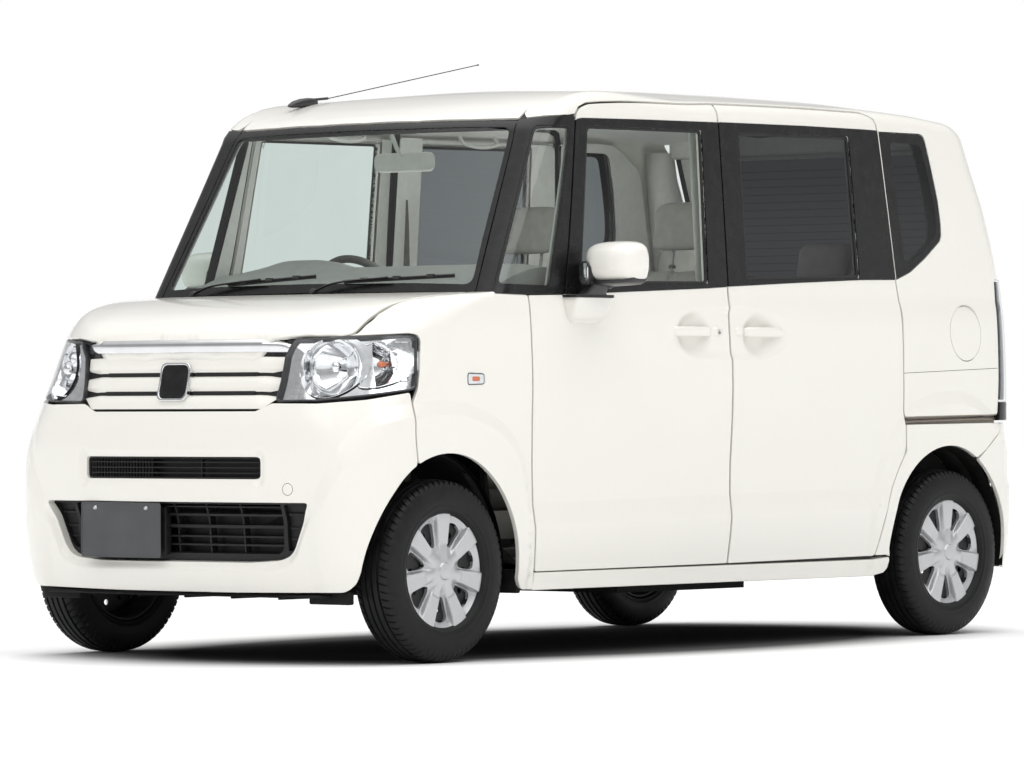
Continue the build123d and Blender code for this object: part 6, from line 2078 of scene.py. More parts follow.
def fabric(name, c0, c1):
    m, nt, b, _ = new_mat(name)
    v1 = scaled(nt, 1, 1, 1)
    w1 = nt.nodes.new("ShaderNodeTexWave")
    w1.bands_direction = "X"
    w1.inputs["Scale"].default_value = 330
    w2 = nt.nodes.new("ShaderNodeTexWave")
    w2.bands_direction = "DIAGONAL"
    w2.inputs["Scale"].default_value = 260
    nt.links.new(v1, w1.inputs["Vector"])
    nt.links.new(v1, w2.inputs["Vector"])
    mul = nt.nodes.new("ShaderNodeMath")
    mul.operation = "MULTIPLY"
    nt.links.new(w1.outputs["Fac"], mul.inputs[0])
    nt.links.new(w2.outputs["Fac"], mul.inputs[1])
    t = noise(nt, 25, 4)
    mx = nt.nodes.new("ShaderNodeMath")
    mx.operation = "MULTIPLY_ADD"
    nt.links.new(mul.outputs[0], mx.inputs[0])
    mx.inputs[1].default_value = 0.5
    nt.links.new(t.outputs["Fac"], mx.inputs[2])
    nt.links.new(ramp(nt, mx.outputs[0], [(0.3, c0), (0.9, c1)]), b.inputs["Base Color"])
    nt.links.new(ramp(nt, t.outputs["Fac"], [(0.3, 0.82), (0.7, 0.95)]), b.inputs["Roughness"])
    b.inputs["Specular IOR Level"].default_value = 0.15
    bump(nt, b, mul.outputs[0], 0.5, 0.0006)
    return m


M_SEAT = fabric("seat_fabric_beige", (0.265, 0.255, 0.235), (0.36, 0.35, 0.325))
M_SEAT2 = fabric("seat_fabric_insert", (0.20, 0.193, 0.178), (0.28, 0.272, 0.252))

# headliner and inner panels
hl_ = [(-600, -700), (-400, -738), (0, -752), (400, -738), (600, -700), (590, 1400), (-590, 1400)]
T_IN = TopMap(F_side, 1300.0)
liner = panel(T_IN, hl_, [], step=60, edge=24, hem=6, back=5, cut=60, offset=-30)
finish_one("headliner", liner, [M_LINER], "shell", [])

pil_in = panel(G_MAP, [p_ + [3 if p_[0] > 0 else 0, 0] for p_ in pil], [inset(ccw(np.array(q_hole)), -7)], step=30, edge=14, hem=5, back=5, cut=6, hole_cut=20, offset=-24)
finish_pair("pillar_lining_front", pil_in, [M_TRIM], "shell", "shell", [])

# inner sides behind the front door
ctr = list(from_side(SG, [(30, 270), (30, 1640), (535, 1655), (800, 1655), (800, 1200), (800, 560), (800, 300)]))
in_f = from_side(SG, [(-690, 1098), (-655, 1246), (-622, 1433), (-590, 1616), (-575, 1624), (60, 1630), (60, 1098)])
win_big_f = from_side(SG, [(-645, 1120), (-567, 1608), (-550, 1620), (14, 1624), (2, 1126)])
door_in_up = panel(SG, in_f, [win_big_f], step=30, edge=14, hem=4, back=4, cut=6, hole_cut=9, offset=-22)
door_card = panel(SG, from_side(SG, [(-830, 300), (-848, 420), (-850, 1080), (-700, 1096), (56, 1096), (56, 300)]), [], step=40, edge=16, hem=6, back=5, cut=14, offset=-58, mat=0)
arm = panel(SG, from_side(SG, [(-560, 806), (-120, 836), (-60, 856), (-60, 900), (-130, 900), (-560, 866), (-600, 840)]), [], step=30, edge=12, hem=14, back=50, cut=18, offset=-14 - 96, mat=1)
pocket_ = panel(SG, from_side(SG, [(-780, 330), (-80, 330), (-80, 470), (-120, 500), (-740, 500), (-780, 470)]), [], step=30, edge=12, hem=8, back=30, cut=20, offset=-58 - 34, mat=1)
grip = panel(SG, from_side(SG, [(-780, 430), (-90, 430), (-90, 520), (-780, 520)]), [], step=30, edge=12, hem=4, back=4, cut=10, offset=-58 - 8, mat=1)
inner_l = Shape().join(door_in_up).join(door_card)
handle_in = Shape().join(brick(628, 652, -690, -600, 930, 956, 6, 2), 1)
base_f = panel(SG, from_side(SG, [(-720, 905), (-575, 905), (-575, 985), (-720, 985)]), [], step=30, edge=12, hem=4, back=6, cut=16, offset=-66, mat=1)
finish_pair("front_door_lining", inner_l.join(arm).join(pocket_).join(base_f), [M_TRIM, M_TRIM_DK], "door_left", "door_right", [])

in_s = from_side(SG, [(110, 1108), (110, 1634), (860, 1636), (890, 1626), (930, 1170), (930, 1120)])
win_big_s = from_side(SG, [(178, 1140), (178, 1622), (772, 1628), (786, 1154)])
sl_up = panel(SG, in_s, [win_big_s], step=30, edge=14, hem=4, back=4, cut=6, hole_cut=9, offset=-22)
sl_card = panel(SG, from_side(SG, [(110, 300), (110, 1106), (930, 1120), (950, 900), (940, 620), (850, 420), (820, 300)]), [], step=40, edge=16, hem=6, back=5, cut=14, offset=-46)
arm_s = panel(SG, from_side(SG, [(240, 846), (640, 860), (690, 880), (690, 912), (240, 912), (214, 880)]), [], step=30, edge=12, hem=12, back=34, cut=18, offset=-82, mat=1)
finish_pair("sliding_door_lining", Shape().join(sl_up).join(sl_card).join(arm_s), [M_TRIM, M_TRIM_DK], "shell", "shell", [])

# centre pillar lining, sill cover, belts
cp = Shape()
cp.join(panel(SG, from_side(SG, [(18, 300), (30, 900), (40, 1640), (150, 1640), (150, 900), (130, 300)]), [], step=30, edge=14, hem=8, back=6, cut=12, offset=-74))
for yy, zz in ((86, 1440),):
    cp.join(brick(628, 645, yy - 14, yy + 14, zz - 36, zz + 24, 6, 2), 1)
belt = [(632, 84, 1430), (628, 86, 1300), (626, 90, 900), (624, 96, 560), (622, 100, 360)]
cp.join(tube(smooth_path(np.array(belt, float), 4), 1, 6, section=[(1.0, -23), (1.0, 23), (-1.0, 23), (-1.0, -23)], up=(1, 0, 0)), 1)
cp.join(panel(SG, from_side(SG, [(-780, 262), (-780, 300), (900, 300), (900, 262)]), [], step=60, edge=20, hem=6, back=6, cut=8, offset=-62), 1)
finish_pair("centre_pillar_lining", cp, [M_TRIM, M_TRIM_DK], "shell", "shell", [])

q_in = from_side(SG, [(930, 1150), (900, 1650), (1180, 1650), (1330, 1560), (1400, 1300), (1440, 1100)] + [(1240 + 344 * math.cos(t), 270 + 374 * math.sin(t)) for t in np.radians(np.linspace(54.5, 154.5, 22))])
q_card = panel(SG, q_in, [from_side(SG, [(960, 1172), (914, 1618), (1135, 1618), (1160, 1606), (1196, 1480), (1220, 1340), (1210, 1296), (1130, 1244), (1055, 1204)])], step=30, edge=16, hem=6, back=5,
               cut=30, hole_cut=20, offset=-40)
q_well = Shape()
loop_a = [(1240 + 338 * math.cos(t), 290 + 345 * math.sin(t)) for t in np.linspace(0, math.pi, 22)]
q_well.join(plate(loop_a, [], (540, 0, 0), (0, 1, 0), (0, 0, 1), 12, 4))
tg_card = panel(EndMap(F_side, 1), [(-555, 560), (555, 560), (560, 1118), (-560, 1118)], [], step=50, edge=20, hem=8, back=6, cut=30, offset=-46)
tg_frame = panel(EndMap(F_side, 1), [(-572, 1120), (572, 1120), (560, 1640), (-560, 1640)], [[(-528, 1142), (528, 1142), (512, 1600), (-512, 1600)]], step=50, edge=20, hem=6, back=5, cut=20, hole_cut=20, offset=-26)
finish_pair("rear_quarter_lining", Shape().join(q_card).join(q_well), [M_TRIM], "shell", "shell", [])
finish_one("tailgate_lining", tg_card.join(tg_frame), [M_TRIM], "hatch", [])
# rear bulk of the opening: inner frame each side and over the tailgate
rf = Shape()
for sg in (1, -1):
    rf.join(loft([[(sg * x, y, z) for x, y in ((590, 1440), (660, 1440), (668, 1560), (612, 1590), (590, 1560))] for z in (632, 800, 1150)] + [
        [(sg * x, y - 60, z) for x, y in ((575, 1440), (640, 1440), (648, 1545), (600, 1570), (575, 1540))] for z in (1400,)] + [
        [(sg * x, y - 110, z) for x, y in ((555, 1440), (620, 1440), (626, 1520), (585, 1540), (555, 1520))] for z in (1620,)]), 0)
rf.join(brick(-570, 570, 1395, 1445, 1600, 1690, 14, 2), 0)
finish_one("tailgate_opening_lining", rf, [M_TRIM], "shell", [])

# ---------------------------------------------------------------- dashboard
def dash_section(x):
    """Side profile of the dash at a lateral position."""
    ax = abs(x)
    e = smooth(np.array((ax - 520) / 110.0))
    bi = math.exp(-((x + 350) / 150.0) ** 4)           # hood over the dials
    mid = math.exp(-(x / 130.0) ** 4)
    fr = -618 + 22 * e
    pts = [(-1000 + 60 * e, 1090), (-1016 + 70 * e, 1112), (-960 + 60 * e, 1128), (-860 + 20 * e, 1158 - 8 * e), (-770, 1180 - 10 * e + 10 * bi), (-700, 1190 - 12 * e + 26 * bi), (fr - 30, 1186 - 12 * e + 26 * bi),
           (fr - 6, 1172 - 10 * e + 20 * bi), (fr - 2, 1150 - 8 * e + 8 * bi), (fr - 26 - 16 * bi, 1132), (fr - 34 - 22 * bi, 1098), (fr - 24, 1050), (fr - 14 + 10 * mid, 1020), (fr - 18 + 16 * mid, 960), (fr - 40 + 30 * mid, 900),
           (fr - 90 + 60 * mid, 830), (fr - 140 + 90 * mid, 770), (fr - 190 + 100 * mid, 725), (-880, 705), (-960, 720), (-985, 800), (-1000, 1000)]
    return [(x, y, z) for y, z in pts]


db = Shape()
xs = [-628, -622, -600, -560] + list(np.arange(-520, 521, 26.0)) + [560, 600, 622, 628]
db.join(loft([dash_section(x) for x in xs], flip=False), 0)
# air outlets
for cx, cz in ((-560, 1112), (560, 1112), (-86, 1086), (86, 1086)):
    y0 = -632 if abs(cx) > 200 else -626
    lp = soften([(-44, -26), (44, -26), (44, 26), (-44, 26)], 14, 5)
    li = soften([(-38, -20), (38, -20), (38, 20), (-38, 20)], 10, 5)
    db.join(plate([(-a, b) for a, b in lp], [[(-a, b) for a, b in li]], (cx, y0, cz), (-1, 0, 0), (0, 0, 1), 9, 2.5), 1)
    for k in range(4):
        db.join(brick(cx - 37, cx + 37, y0 - 6, y0 + 3, cz - 15 + k * 10 - 1.2, cz - 15 + k * 10 + 1.2, 0.8, 1), 1)
# middle panel: blank screen, climate panel and selector
def facing_rear(pts, y, t, bev, m, cx=0.0, cz=0.0):
    return plate([(-a, b) for a, b in pts], [], (cx, y, cz), (-1, 0, 0), (0, 0, 1), t, bev).join(Shape()), m


for w_, h_, y_, cz_, t_, r_, m_ in ((214, 128, -622, 984, 10, 14, 1), (190, 106, -614, 984, 3, 8, 2), (206, 74, -628, 872, 14, 12, 1)):
    lp = soften([(-w_ / 2, -h_ / 2), (w_ / 2, -h_ / 2), (w_ / 2, h_ / 2), (-w_ / 2, h_ / 2)], r_, 5)
    db.join(plate([(-a, b) for a, b in lp], [], (0, y_, cz_), (-1, 0, 0), (0, 0, 1), t_, min(3, t_ / 3)), m_)
for cx in (-66, 0, 66):
    db.join(revolve([(0, 25), (4, 25), (5, 20), (16, 19), (18, 17), (18, 0)], (cx, -614, 872), (0, 1, 0), 30), 1)
    db.join(brick(cx - 1.5, cx + 1.5, -598, -595, 872, 890, 0.5, 1), 3)
sel = tube(smooth_path(np.array([(-150, -650, 930), (-152, -600, 950), (-154, -566, 990)], float), 6), 7.5, 12)
db.join(sel, 1)
db.join(revolve([(-26, 0), (-25, 14), (-10, 18), (14, 17), (24, 11), (27, 0)], (-154, -562, 1000), (0.0, 0.35, 0.93), 20), 1)
db.join(brick(-176, -130, -656, -632, 900, 1000, 8, 2), 1)
# glove box line
for a0, a1, b0, b1 in ((190, 590, 760, 900),):
    pass
db.join(loft([[(x, -640 + dy, z + dz) for dy, dz in ((0, 0), (34, 4), (38, 12), (34, 20), (0, 24))] for x, z in ((176, 926), (360, 922), (560, 930))]), 1)
# dials
for cx, r_ in ((-350, 58), (-428, 30), (-272, 30)):
    db.join(revolve([(0, r_ + 5), (5, r_ + 5), (6, r_), (2, r_ - 2), (2, 0)], (cx, -664, 1152), (0, 0.97, 0.22), 40), 1)
    db.join(revolve([(2.4, r_ * 0.72), (3.0, r_ * 0.70), (3.0, r_ * 0.2), (2.4, 0)], (cx, -664, 1152), (0, 0.97, 0.22), 40), 4)
finish_one("dashboard_moulding", db, [M_DASH, M_TRIM_DK, M_BLACK_GLOSS, M_SATIN, plain("dial_face", (0.05, 0.06, 0.08), (0.08, 0.09, 0.11), (0.2, 0.3), 30)], "shell", ["dashboard"], smooth_angle=42)

# column shroud and stalks
col_d = unit(np.array([0, math.cos(math.radians(28.0)), math.sin(math.radians(28.0))]))
SC = np.array([-345.0, -424.0, 1066.0])
cs = Shape()
cs.join(revolve([(-235, 0), (-235, 58), (-200, 60), (-60, 46), (-34, 42), (-30, 36), (-30, 0)], SC, col_d, 28), 0)
for sg in (1, -1):
    a0 = SC - col_d * 62
    cs.join(tube([a0 + [sg * 38, 0, 0], a0 + [sg * 120, 4, 10], a0 + [sg * 168, 10, 14]], 6.0, 10), 1)
    cs.join(revolve([(-20, 0), (-20, 8), (14, 9), (18, 6), (18, 0)], a0 + [sg * 158, 9, 13], (sg, 0.06, 0.09), 14), 1)
finish_one("column_shroud", cs, [M_TRIM_DK, M_BLACK], "shell", [], smooth_angle=40)

# steering wheel
sw = Shape()
ux = np.array([1.0, 0, 0])
uy = np.cross(col_d, ux)                     # up along the rim plane


def sw_at(x, y, h=0.0):
    return SC + ux * x + uy * y + col_d * h


if uy[2] < 0:
    uy = -uy
ringp = [sw_at(178 * math.cos(t), 178 * math.sin(t), 0) for t in np.linspace(0, 2 * math.pi, 65)[:-1]]
sec = []
tor = []
for t in np.linspace(0, 2 * math.pi, 65)[:-1]:
    c_ = sw_at(178 * math.cos(t), 178 * math.sin(t))
    rad = ux * math.cos(t) + uy * math.sin(t)
    tor.append([c_ + rad * 12.5 * math.cos(q) + col_d * 14.0 * math.sin(q) for q in np.linspace(0, 2 * math.pi, 17)[:-1]])
sw.add(np.concatenate([np.array(q) for q in tor]), grid_faces(64, 16, wrap_c=True, wrap_r=True), mat=0)
padl = soften([(-78, 30), (-60, 52), (60, 52), (78, 30), (66, -44), (34, -66), (-34, -66), (-66, -44)], 16, 5)
secs = []
for h, g in ((-22, -16), (-20, -4), (0, 0), (8, -2), (13, -9), (15, -20)):
    q = inset(ccw(np.array(padl)), -g)
    secs.append([sw_at(a, b, h) for a, b in q])
sw.join(loft(secs), 1)
for pts_, w_ in (([(-60, 10), (-110, 16), (-168, 20)], 17), ([(60, 10), (110, 16), (168, 20)], 17), ([(-26, -56), (-40, -110), (-50, -170)], 12), ([(26, -56), (40, -110), (50, -170)], 12)):
    path = smooth_path(np.array([sw_at(a, b, -2 - 6 * (k == 0)) for k, (a, b) in enumerate(pts_)], float), 6)
    sw.join(tube(path, 1, 10, up=tuple(col_d), section=[(7 * math.cos(t), w_ * math.sin(t)) for t in np.linspace(0, 2 * math.pi, 15)[:-1]]), 2)
sw.join(revolve([(-34, 0), (-34, 28), (-18, 40), (-10, 30), (-10, 0)], SC, col_d, 28), 1)
finish_one("steering_wheel_rim", sw, [M_TRIM_DK, M_TRIM_DK, M_SATIN], "helm", ["steering_wheel"], smooth_angle=40)

# ---------------------------------------------------------------- cabin mirror, sun visors, grab handles, lamp
cm = Shape()
mloop = soften([(-118, -30), (118, -30), (118, 30), (-118, 30)], 24, 6)
secs = []
for y, g in ((0, -14), (4, -4), (14, 0), (26, 0), (30, -3)):
    secs.append([(a, -640 + 240 * 0 + y, 1515 + b) for a, b in inset(ccw(np.array(mloop)), -g)])
cm.join(loft(secs), 0)
cm.join(plate([(-a, b) for a, b in inset(ccw(np.array(mloop)), 5)], [], (0, -610.5, 1515), (-1, 0, 0), (0, 0, 1), 2, 0.6), 1)
cm.join(tube([(0, -628, 1520), (0, -660, 1560), (0, -690, 1612)], 7, 10), 0)
cm.join(brick(-24, 24, -720, -672, 1600, 1632, 8, 2), 0)
for sg in (1, -1):
    vl = soften([(-165, -72), (165, -72), (165, 72), (-165, 72)], 18, 5)
    v_ = Shape().join(plate(vl, [], (0, 0, 0), (1, 0, 0), (0, 1, 0), 16, 5), 2)
    rot = Matrix.Rotation(math.radians(-6), 3, "X")
    cm.join(v_.turned(np.array(rot), (0, 0, 0)).moved(sg * 300, -640, 1628), None)
for sg in (1, -1):
    for y0, y1 in ((-330, -150), (330, 510)):
        g = [(sg * 598, y0, 1650), (sg * 584, y0 + 10, 1622), (sg * 578, (y0 + y1) / 2, 1612), (sg * 584, y1 - 10, 1622), (sg * 598, y1, 1650)]
        cm.join(tube(smooth_path(np.array(g, float), 6), 7.0, 10), 0)
cm.join(brick(-60, 60, -560, -480, 1668, 1690, 8, 2), 0)
finish_one("cabin_fittings", cm, [M_TRIM, M_MIRROR, M_LINER], "shell", [], smooth_angle=40)


# ---------------------------------------------------------------- seats
def pad_shape(profile, x0, x1, crown=18.0, side=26.0, nx=16, step=22.0, bolster=0.0, bolster_pts=None):
    """Cushion: side profile carried across with rounded flanks."""
    loop = resample(ccw(np.array(soften(profile, side, 6), float)), step)
    c = loop.mean(0)
    hw_ = (x1 - x0) / 2
    mid_ = (x0 + x1) / 2
    secs = []
    ts = np.sin(np.linspace(-math.pi / 2, math.pi / 2, nx))
    for t in ts:
        x = mid_ + t * hw_
        rim_ = max(0.0, 1 - abs(t) ** 6) ** 0.5
        sh = side * (1 - rim_) * 0.9
        q = inset(loop, sh) if sh > 0.01 else loop
        secs.append([(x, y, z) for y, z in q])
    return loft(secs)


def inflate(ob, cap, pressure=4.0, voxel=0.0065, frames=16):
    """Swell a cushion as cloth, limit how far it may move, keep the result."""
    import mathutils
    sc = bpy.context.scene
    bm = bmesh.new()
    bm.from_mesh(ob.data)
    bmesh.ops.remove_doubles(bm, verts=bm.verts, dist=0.0005)
    bm.to_mesh(ob.data)
    bm.free()
    for o in bpy.context.selected_objects:
        o.select_set(False)
    bpy.context.view_layer.objects.active = ob
    ob.select_set(True)
    rm = ob.modifiers.new("remesh", "REMESH")
    rm.mode = "VOXEL"
    rm.voxel_size = voxel
    rm.use_smooth_shade = True
    bpy.ops.object.modifier_apply(modifier=rm.name)
    rest = np.array([v.co[:] for v in ob.data.vertices])
    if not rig.quick():
        cl = ob.modifiers.new("cloth", "CLOTH")
        st = cl.settings
        st.use_pressure = True
        st.uniform_pressure_force = pressure
        st.effector_weights.gravity = 0.0
        st.mass = 0.3
        st.tension_stiffness = 12
        st.compression_stiffness = 12
        st.shear_stiffness = 5
        st.bending_stiffness = 0.4
        cl.point_cache.frame_start = 1
        cl.point_cache.frame_end = frames
        for f in range(1, frames + 1):
            sc.frame_set(f)
        dg = bpy.context.evaluated_depsgraph_get()
        ev = ob.evaluated_get(dg).to_mesh()
        now = np.array([v.co[:] for v in ev.vertices])
        ob.evaluated_get(dg).to_mesh_clear()
        ob.modifiers.remove(cl)
        sc.frame_set(1)
        d = now - rest
        L = np.linalg.norm(d, axis=1, keepdims=True)
        d = d * np.minimum(1.0, cap / np.maximum(L, 1e-9))
        ob.data.vertices.foreach_set("co", (rest + d).ravel())
        ob.data.update()
    return ob


F_CUSH = [(-262, 492), (-288, 556), (-262, 598), (-60, 586), (150, 566), (196, 520), (188, 482)]
F_BACK = [(172, 560), (222, 512), (292, 566), (384, 1172), (342, 1204), (290, 1180)]
F_HEAD = [(322, 1250), (392, 1256), (418, 1384), (388, 1412), (340, 1394)]
R_CUSH = [(570, 566), (550, 618), (580, 650), (950, 620), (986, 566), (950, 528)]
R_BACK = [(942, 622), (990, 572), (1046, 598), (1148, 1126), (1112, 1154), (1070, 1134)]


def seat_piece(name, parts, fill, cap):
    sh = Shape()
    for p_ in parts:
        sh.join(p_)
    ob = sh.make(name, [M_SEAT])
    inflate(ob, cap)
    sub = ob.modifiers.new("fine", "SUBSURF")
    sub.levels = sub.render_levels = 1
    bpy.ops.object.modifier_apply(modifier=sub.name)
    for p_ in ob.data.polygons:
        p_.use_smooth = True
    return ob


def seam_line(pts, r=2.6):
    return tube(smooth_path(np.array(pts, float), 5), r, 8)


fc = seat_piece("front_cushion_left", [pad_shape(F_CUSH, 104, 556, side=34)], 0.75, 0.014)
fb = seat_piece("front_backrest_left", [pad_shape(F_BACK, 112, 548, side=34)], 0.75, 0.014)
for ob, body in ((fc, "shell"), (fb, "shell")):
    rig.ride(ob, body)
    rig.padded(ob, fill=0.75)
    PIECES[ob.name] = ob
    me2 = ob.data.copy()
    o2 = bpy.data.objects.new(ob.name.replace("_left", "_right"), me2)
    bpy.context.scene.collection.objects.link(o2)
    me2.transform(Matrix.Diagonal((-1, 1, 1, 1)))
    me2.flip_normals()
    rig.ride(o2, body)
    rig.padded(o2, fill=0.75)
    PIECES[o2.name] = o2
rc = seat_piece("rear_cushion", [pad_shape(R_CUSH, 6, 520, side=30), pad_shape(R_CUSH, -520, -6, side=30)], 0.75, 0.010)
rb_ = seat_piece("rear_backrest", [pad_shape(R_BACK, 6, 520, side=30), pad_shape(R_BACK, -520, -6, side=30)], 0.75, 0.010)
for ob in (rc, rb_):
    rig.ride(ob, "shell")
    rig.padded(ob, fill=0.75)
    PIECES[ob.name] = ob
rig.replaces(rc, "rear_seat")
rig.replaces(fc, "front_seats")
heads = Shape()
for sg in (1, -1):
    heads.join(pad_shape(F_HEAD, sg * 330 - 122, sg * 330 + 122, side=30, nx=14, step=10), 0)
    for dx in (-54, 54):
        heads.join(tube([(sg * 330 + dx, 352, 1160), (sg * 330 + dx, 372, 1270)], 5.5, 10), 1)
        heads.join(revolve([(0, 12), (8, 12), (10, 9), (10, 6)], (sg * 330 + dx, 360, 1196), (0, 0.18, 0.98), 16), 2)
    heads.join(pad_shape([(1098, 1168), (1160, 1172), (1182, 1270), (1160, 1294), (1122, 1280)], sg * 300 - 104, sg * 300 + 104, side=26, nx=12, step=10), 0)
    for dx in (-50, 50):
        heads.join(tube([(sg * 300 + dx, 1118, 1120), (sg * 300 + dx, 1134, 1190)], 5.0, 10), 1)
    # seat bases and rails
    heads.join(brick(sg * 330 - 205, sg * 330 + 205, -215, 175, 420, 492, 14, 2), 2)
    for dx in (-185, 185):
        heads.join(brick(sg * 330 + dx - 16, sg * 330 + dx + 16, -230, 190, 262, 300, 4, 2), 2)
        for yy in (-190, 150):
            heads.join(brick(sg * 330 + dx - 10, sg * 330 + dx + 10, yy - 14, yy + 14, 290, 430, 4, 2), 2)
    heads.join(brick(sg * 556, sg * 572, -60, 210, 470, 560, 7, 2) if sg > 0 else brick(-572, -556, -60, 210, 470, 560, 7, 2), 2)
    heads.join(brick(sg * 60 + (0 if sg > 0 else -20), sg * 60 + (20 if sg > 0 else 0), 200, 260, 520, 640, 7, 2), 2)
    # piping up the front backrests
for sg in (1, -1):
    for x0, x1 in ((sg * 330 - 120, sg * 330 + 120),):
        heads.join(seam_line([(x0, 214, 720), (x0 + 10, 236, 900), (x0 + 4, 262, 1080)], 2.0), 3)
        heads.join(seam_line([(x1, 214, 720), (x1 - 10, 236, 900), (x1 - 4, 262, 1080)], 2.0), 3)
heads.join(brick(-490, 490, 612, 838, 262, 540, 20, 2), 2)
ob = finish_one("seat_frames_and_headrests", heads, [M_SEAT, M_STEEL, M_TRIM_DK, M_SEAT2], "shell", [], smooth_angle=46)

# carpet over the floor
cp_ = Shape()
ysec = [(-930, 560), (-905, 420), (-860, 330), (-780, 278), (-600, 268), (560, 268), (600, 300), (640, 455), (900, 462), (1440, 468), (1560, 470)]
xs = np.linspace(-596, 596, 15)
secs = np.array([[(x, y, z + 4 * math.exp(-(x / 90.0) ** 2)) for y, z in ysec] for x in xs])
cp_.add(secs.reshape(-1, 3), grid_faces(len(xs), len(ysec), flip=False), mat=0)
finish_one("floor_carpet", cp_, [M_CARPET], "shell", [])


# ================================================================ seals and backing behind the seams
def seam_back(mp, loop, off=-14.5, w_out=12, w_in=13, step=40, edge=18):
    q = ccw(resample(tidy(np.array(loop, float)), 12))
    return panel(mp, inset(q, -w_out), [inset(q, w_in)], step=step, edge=edge, hem=0.6, flange=3, hole_flange=3, cut=1, hole_cut=1, offset=off)


seals = Shape()
for outline in (FRONT_DOOR, SLIDE_DOOR):
    s1 = seam_back(S_MAP, soften(from_side(S_MAP, outline), 8))
    seals.join(s1).join(s1.mirrored())
seals.join(seam_back(T_HOOD, [(x * 0.998, y) for x, y in hood_loop], off=-15.5, w_out=5, w_in=16))
tq = [(x * 0.998, z if z < 1600 else z - 4) for x, z in tg]
seals.join(seam_back(R_MAP, tq, off=-17.5, w_out=1, w_in=22))
ws_seal = seam_back(W_MAP, WS, off=-7.0, w_out=6, w_in=14)
seals.join(ws_seal)
bw = from_side(L_MAP, [(-1386, 806), (-1404, 768), (-1408, 735), (-1400, 662), (-1388, 610)])
bw = np.array(bw)
strip = np.concatenate([bw - [13, 0], (bw + [13, 0])[::-1]])
s1 = panel(L_MAP, strip, [], step=30, edge=12, hem=0.6, flange=3, cut=1, offset=-15)
seals.join(s1).join(s1.mirrored())
# backing over the windscreen corners, the roof front edge and the pillar tops
corner = panel(G_MAP, [np.array(t, float) for t in [(-150, 1600), (70, 1600), (70, 1650), (-60, 1660), (-150, 1655)]], [], step=20, edge=9, hem=0.6, flange=3, cut=4, offset=-9)
seals.join(corner).join(corner.mirrored())
ditch = panel(RAIL, [(u_a - 7, VTOP - 7), (u_a - 7, 1622), (u_a + 48, 1622), (u_a + 48, VTOP - 7)], [], step=18, edge=9, hem=0.6, flange=3, cut=1, offset=-6)
seals.join(ditch).join(ditch.mirrored())
header = panel(W_MAP, [(-590, 1600), (590, 1600), (580, 1652), (0, 1660), (-580, 1652)], [], step=30, edge=14, hem=0.6, flange=3, cut=4, offset=-12)
seals.join(header)
finish_one("seam_seals", seals, [M_RUBBER], "shell", [])

# cowl under the windscreen
cw = Shape()
prof_c = [(-1150, 1070), (-1146, 1078), (-1128, 1084), (-1108, 1091), (-1098, 1098), (-1090, 1099), (-1082, 1090), (-1086, 1074)]
secs = []
for x in np.linspace(-636, 636, 27):
    yb = float(W_MAP(np.array([[x, 1096.0]]))[0, 1]) + 1103.0
    drop = 10.0 * (abs(x) / 640.0) ** 4
    secs.append([(x, y + yb * (0.75 if y < -1120 else 1.0), z - drop) for y, z in prof_c])
cw.join(loft(secs), 0)
for x in np.arange(-560, 561, 22.0):
    yb = float(W_MAP(np.array([[x, 1096.0]]))[0, 1]) + 1103.0
    cw.join(brick(x - 6, x + 6, -1142 + yb * 0.8, -1116 + yb * 0.9, 1078, 1087.5, 1.2, 1), 0)
finish_one("cowl_grille", cw, [M_BLACK], "shell", [])

# ================================================================ wheel arches and underside
def arch_band(cy, a, b, x0, x1, t0=-8, t1=188, lip=0.0, n=40):
    ts = np.radians(np.linspace(t0, t1, n))
    s = Shape()
    rows = []
    for x, g in ((x0, 4), (x0 + 30, 5), ((x0 + x1) / 2 - 4, 5), ((x0 + x1) / 2, 8), ((x0 + x1) / 2 + 8, 8), ((x0 + x1) / 2 + 12, 5), (x1 - 20, 4), (x1, 0)):
        rows.append([(x, cy + (a + g) * math.cos(t), 270 + (b + g) * math.sin(t)) for t in ts])
    s.add(np.concatenate([np.array(r) for r in rows]), grid_faces(len(rows), n, flip=True))
    return s


lin = Shape()
lin.join(arch_band(-1260, 329, 349, 604, 660, -8, 181))
lin.join(arch_band(1240, 323, 351, 566, 713))
for r_ in ((1240, 323, 351, 566),):
    cy, a, b, x = r_
    lp = [(cy + (a + 4) * math.cos(t), 270 + (b + 4) * math.sin(t)) for t in np.radians(np.linspace(8, 172, 30))]
    lin.join(plate([(y, z) for y, z in lp], [], (x - 6, 0, 0), (0, 1, 0), (0, 0, 1), 6, 1.0))
# points round the front arch above the strut opening; nothing is made from them
lp = [(-1260 + 333 * math.cos(t), 270 + 353 * math.sin(t)) for t in np.radians(np.linspace(30, 150, 24))]
finish_pair("arch_liner", lin, [M_UNDER], "shell", "shell", [])

ut = Shape()
ut.join(brick(-415, 415, -1632, -1345, 196, 206, 4, 2))
ut.join(brick(-560, 560, -1632, -1556, 197, 207, 4, 2))
for x in (-380, -190, 0, 190, 380):
    ut.join(brick(x - 4, x + 4, -1620, -1350, 190, 198, 1.5, 1))
for sg in (1, -1):
    a0, a1 = sorted((sg * 470, sg * 625))
    ut.join(brick(a0, a1, -1588, -1560, 178, 216, 5, 2))
    ut.join(brick(*sorted((sg * 540, sg * 600)), -930, -900, 190, 262, 5, 2))
    ut.join(brick(*sorted((sg * 610, sg * 700)), -916, -898, 196, 268, 5, 2))
    ut.join(brick(*sorted((sg * 560, sg * 640)), 1582, 1596, 214, 300, 5, 2))
ut.join(brick(-560, 560, 1560, 1640, 222, 236, 4, 2))
finish_one("under_trays", ut, [M_UNDER], "shell", [])

# ================================================================ rear details
rd = Shape()
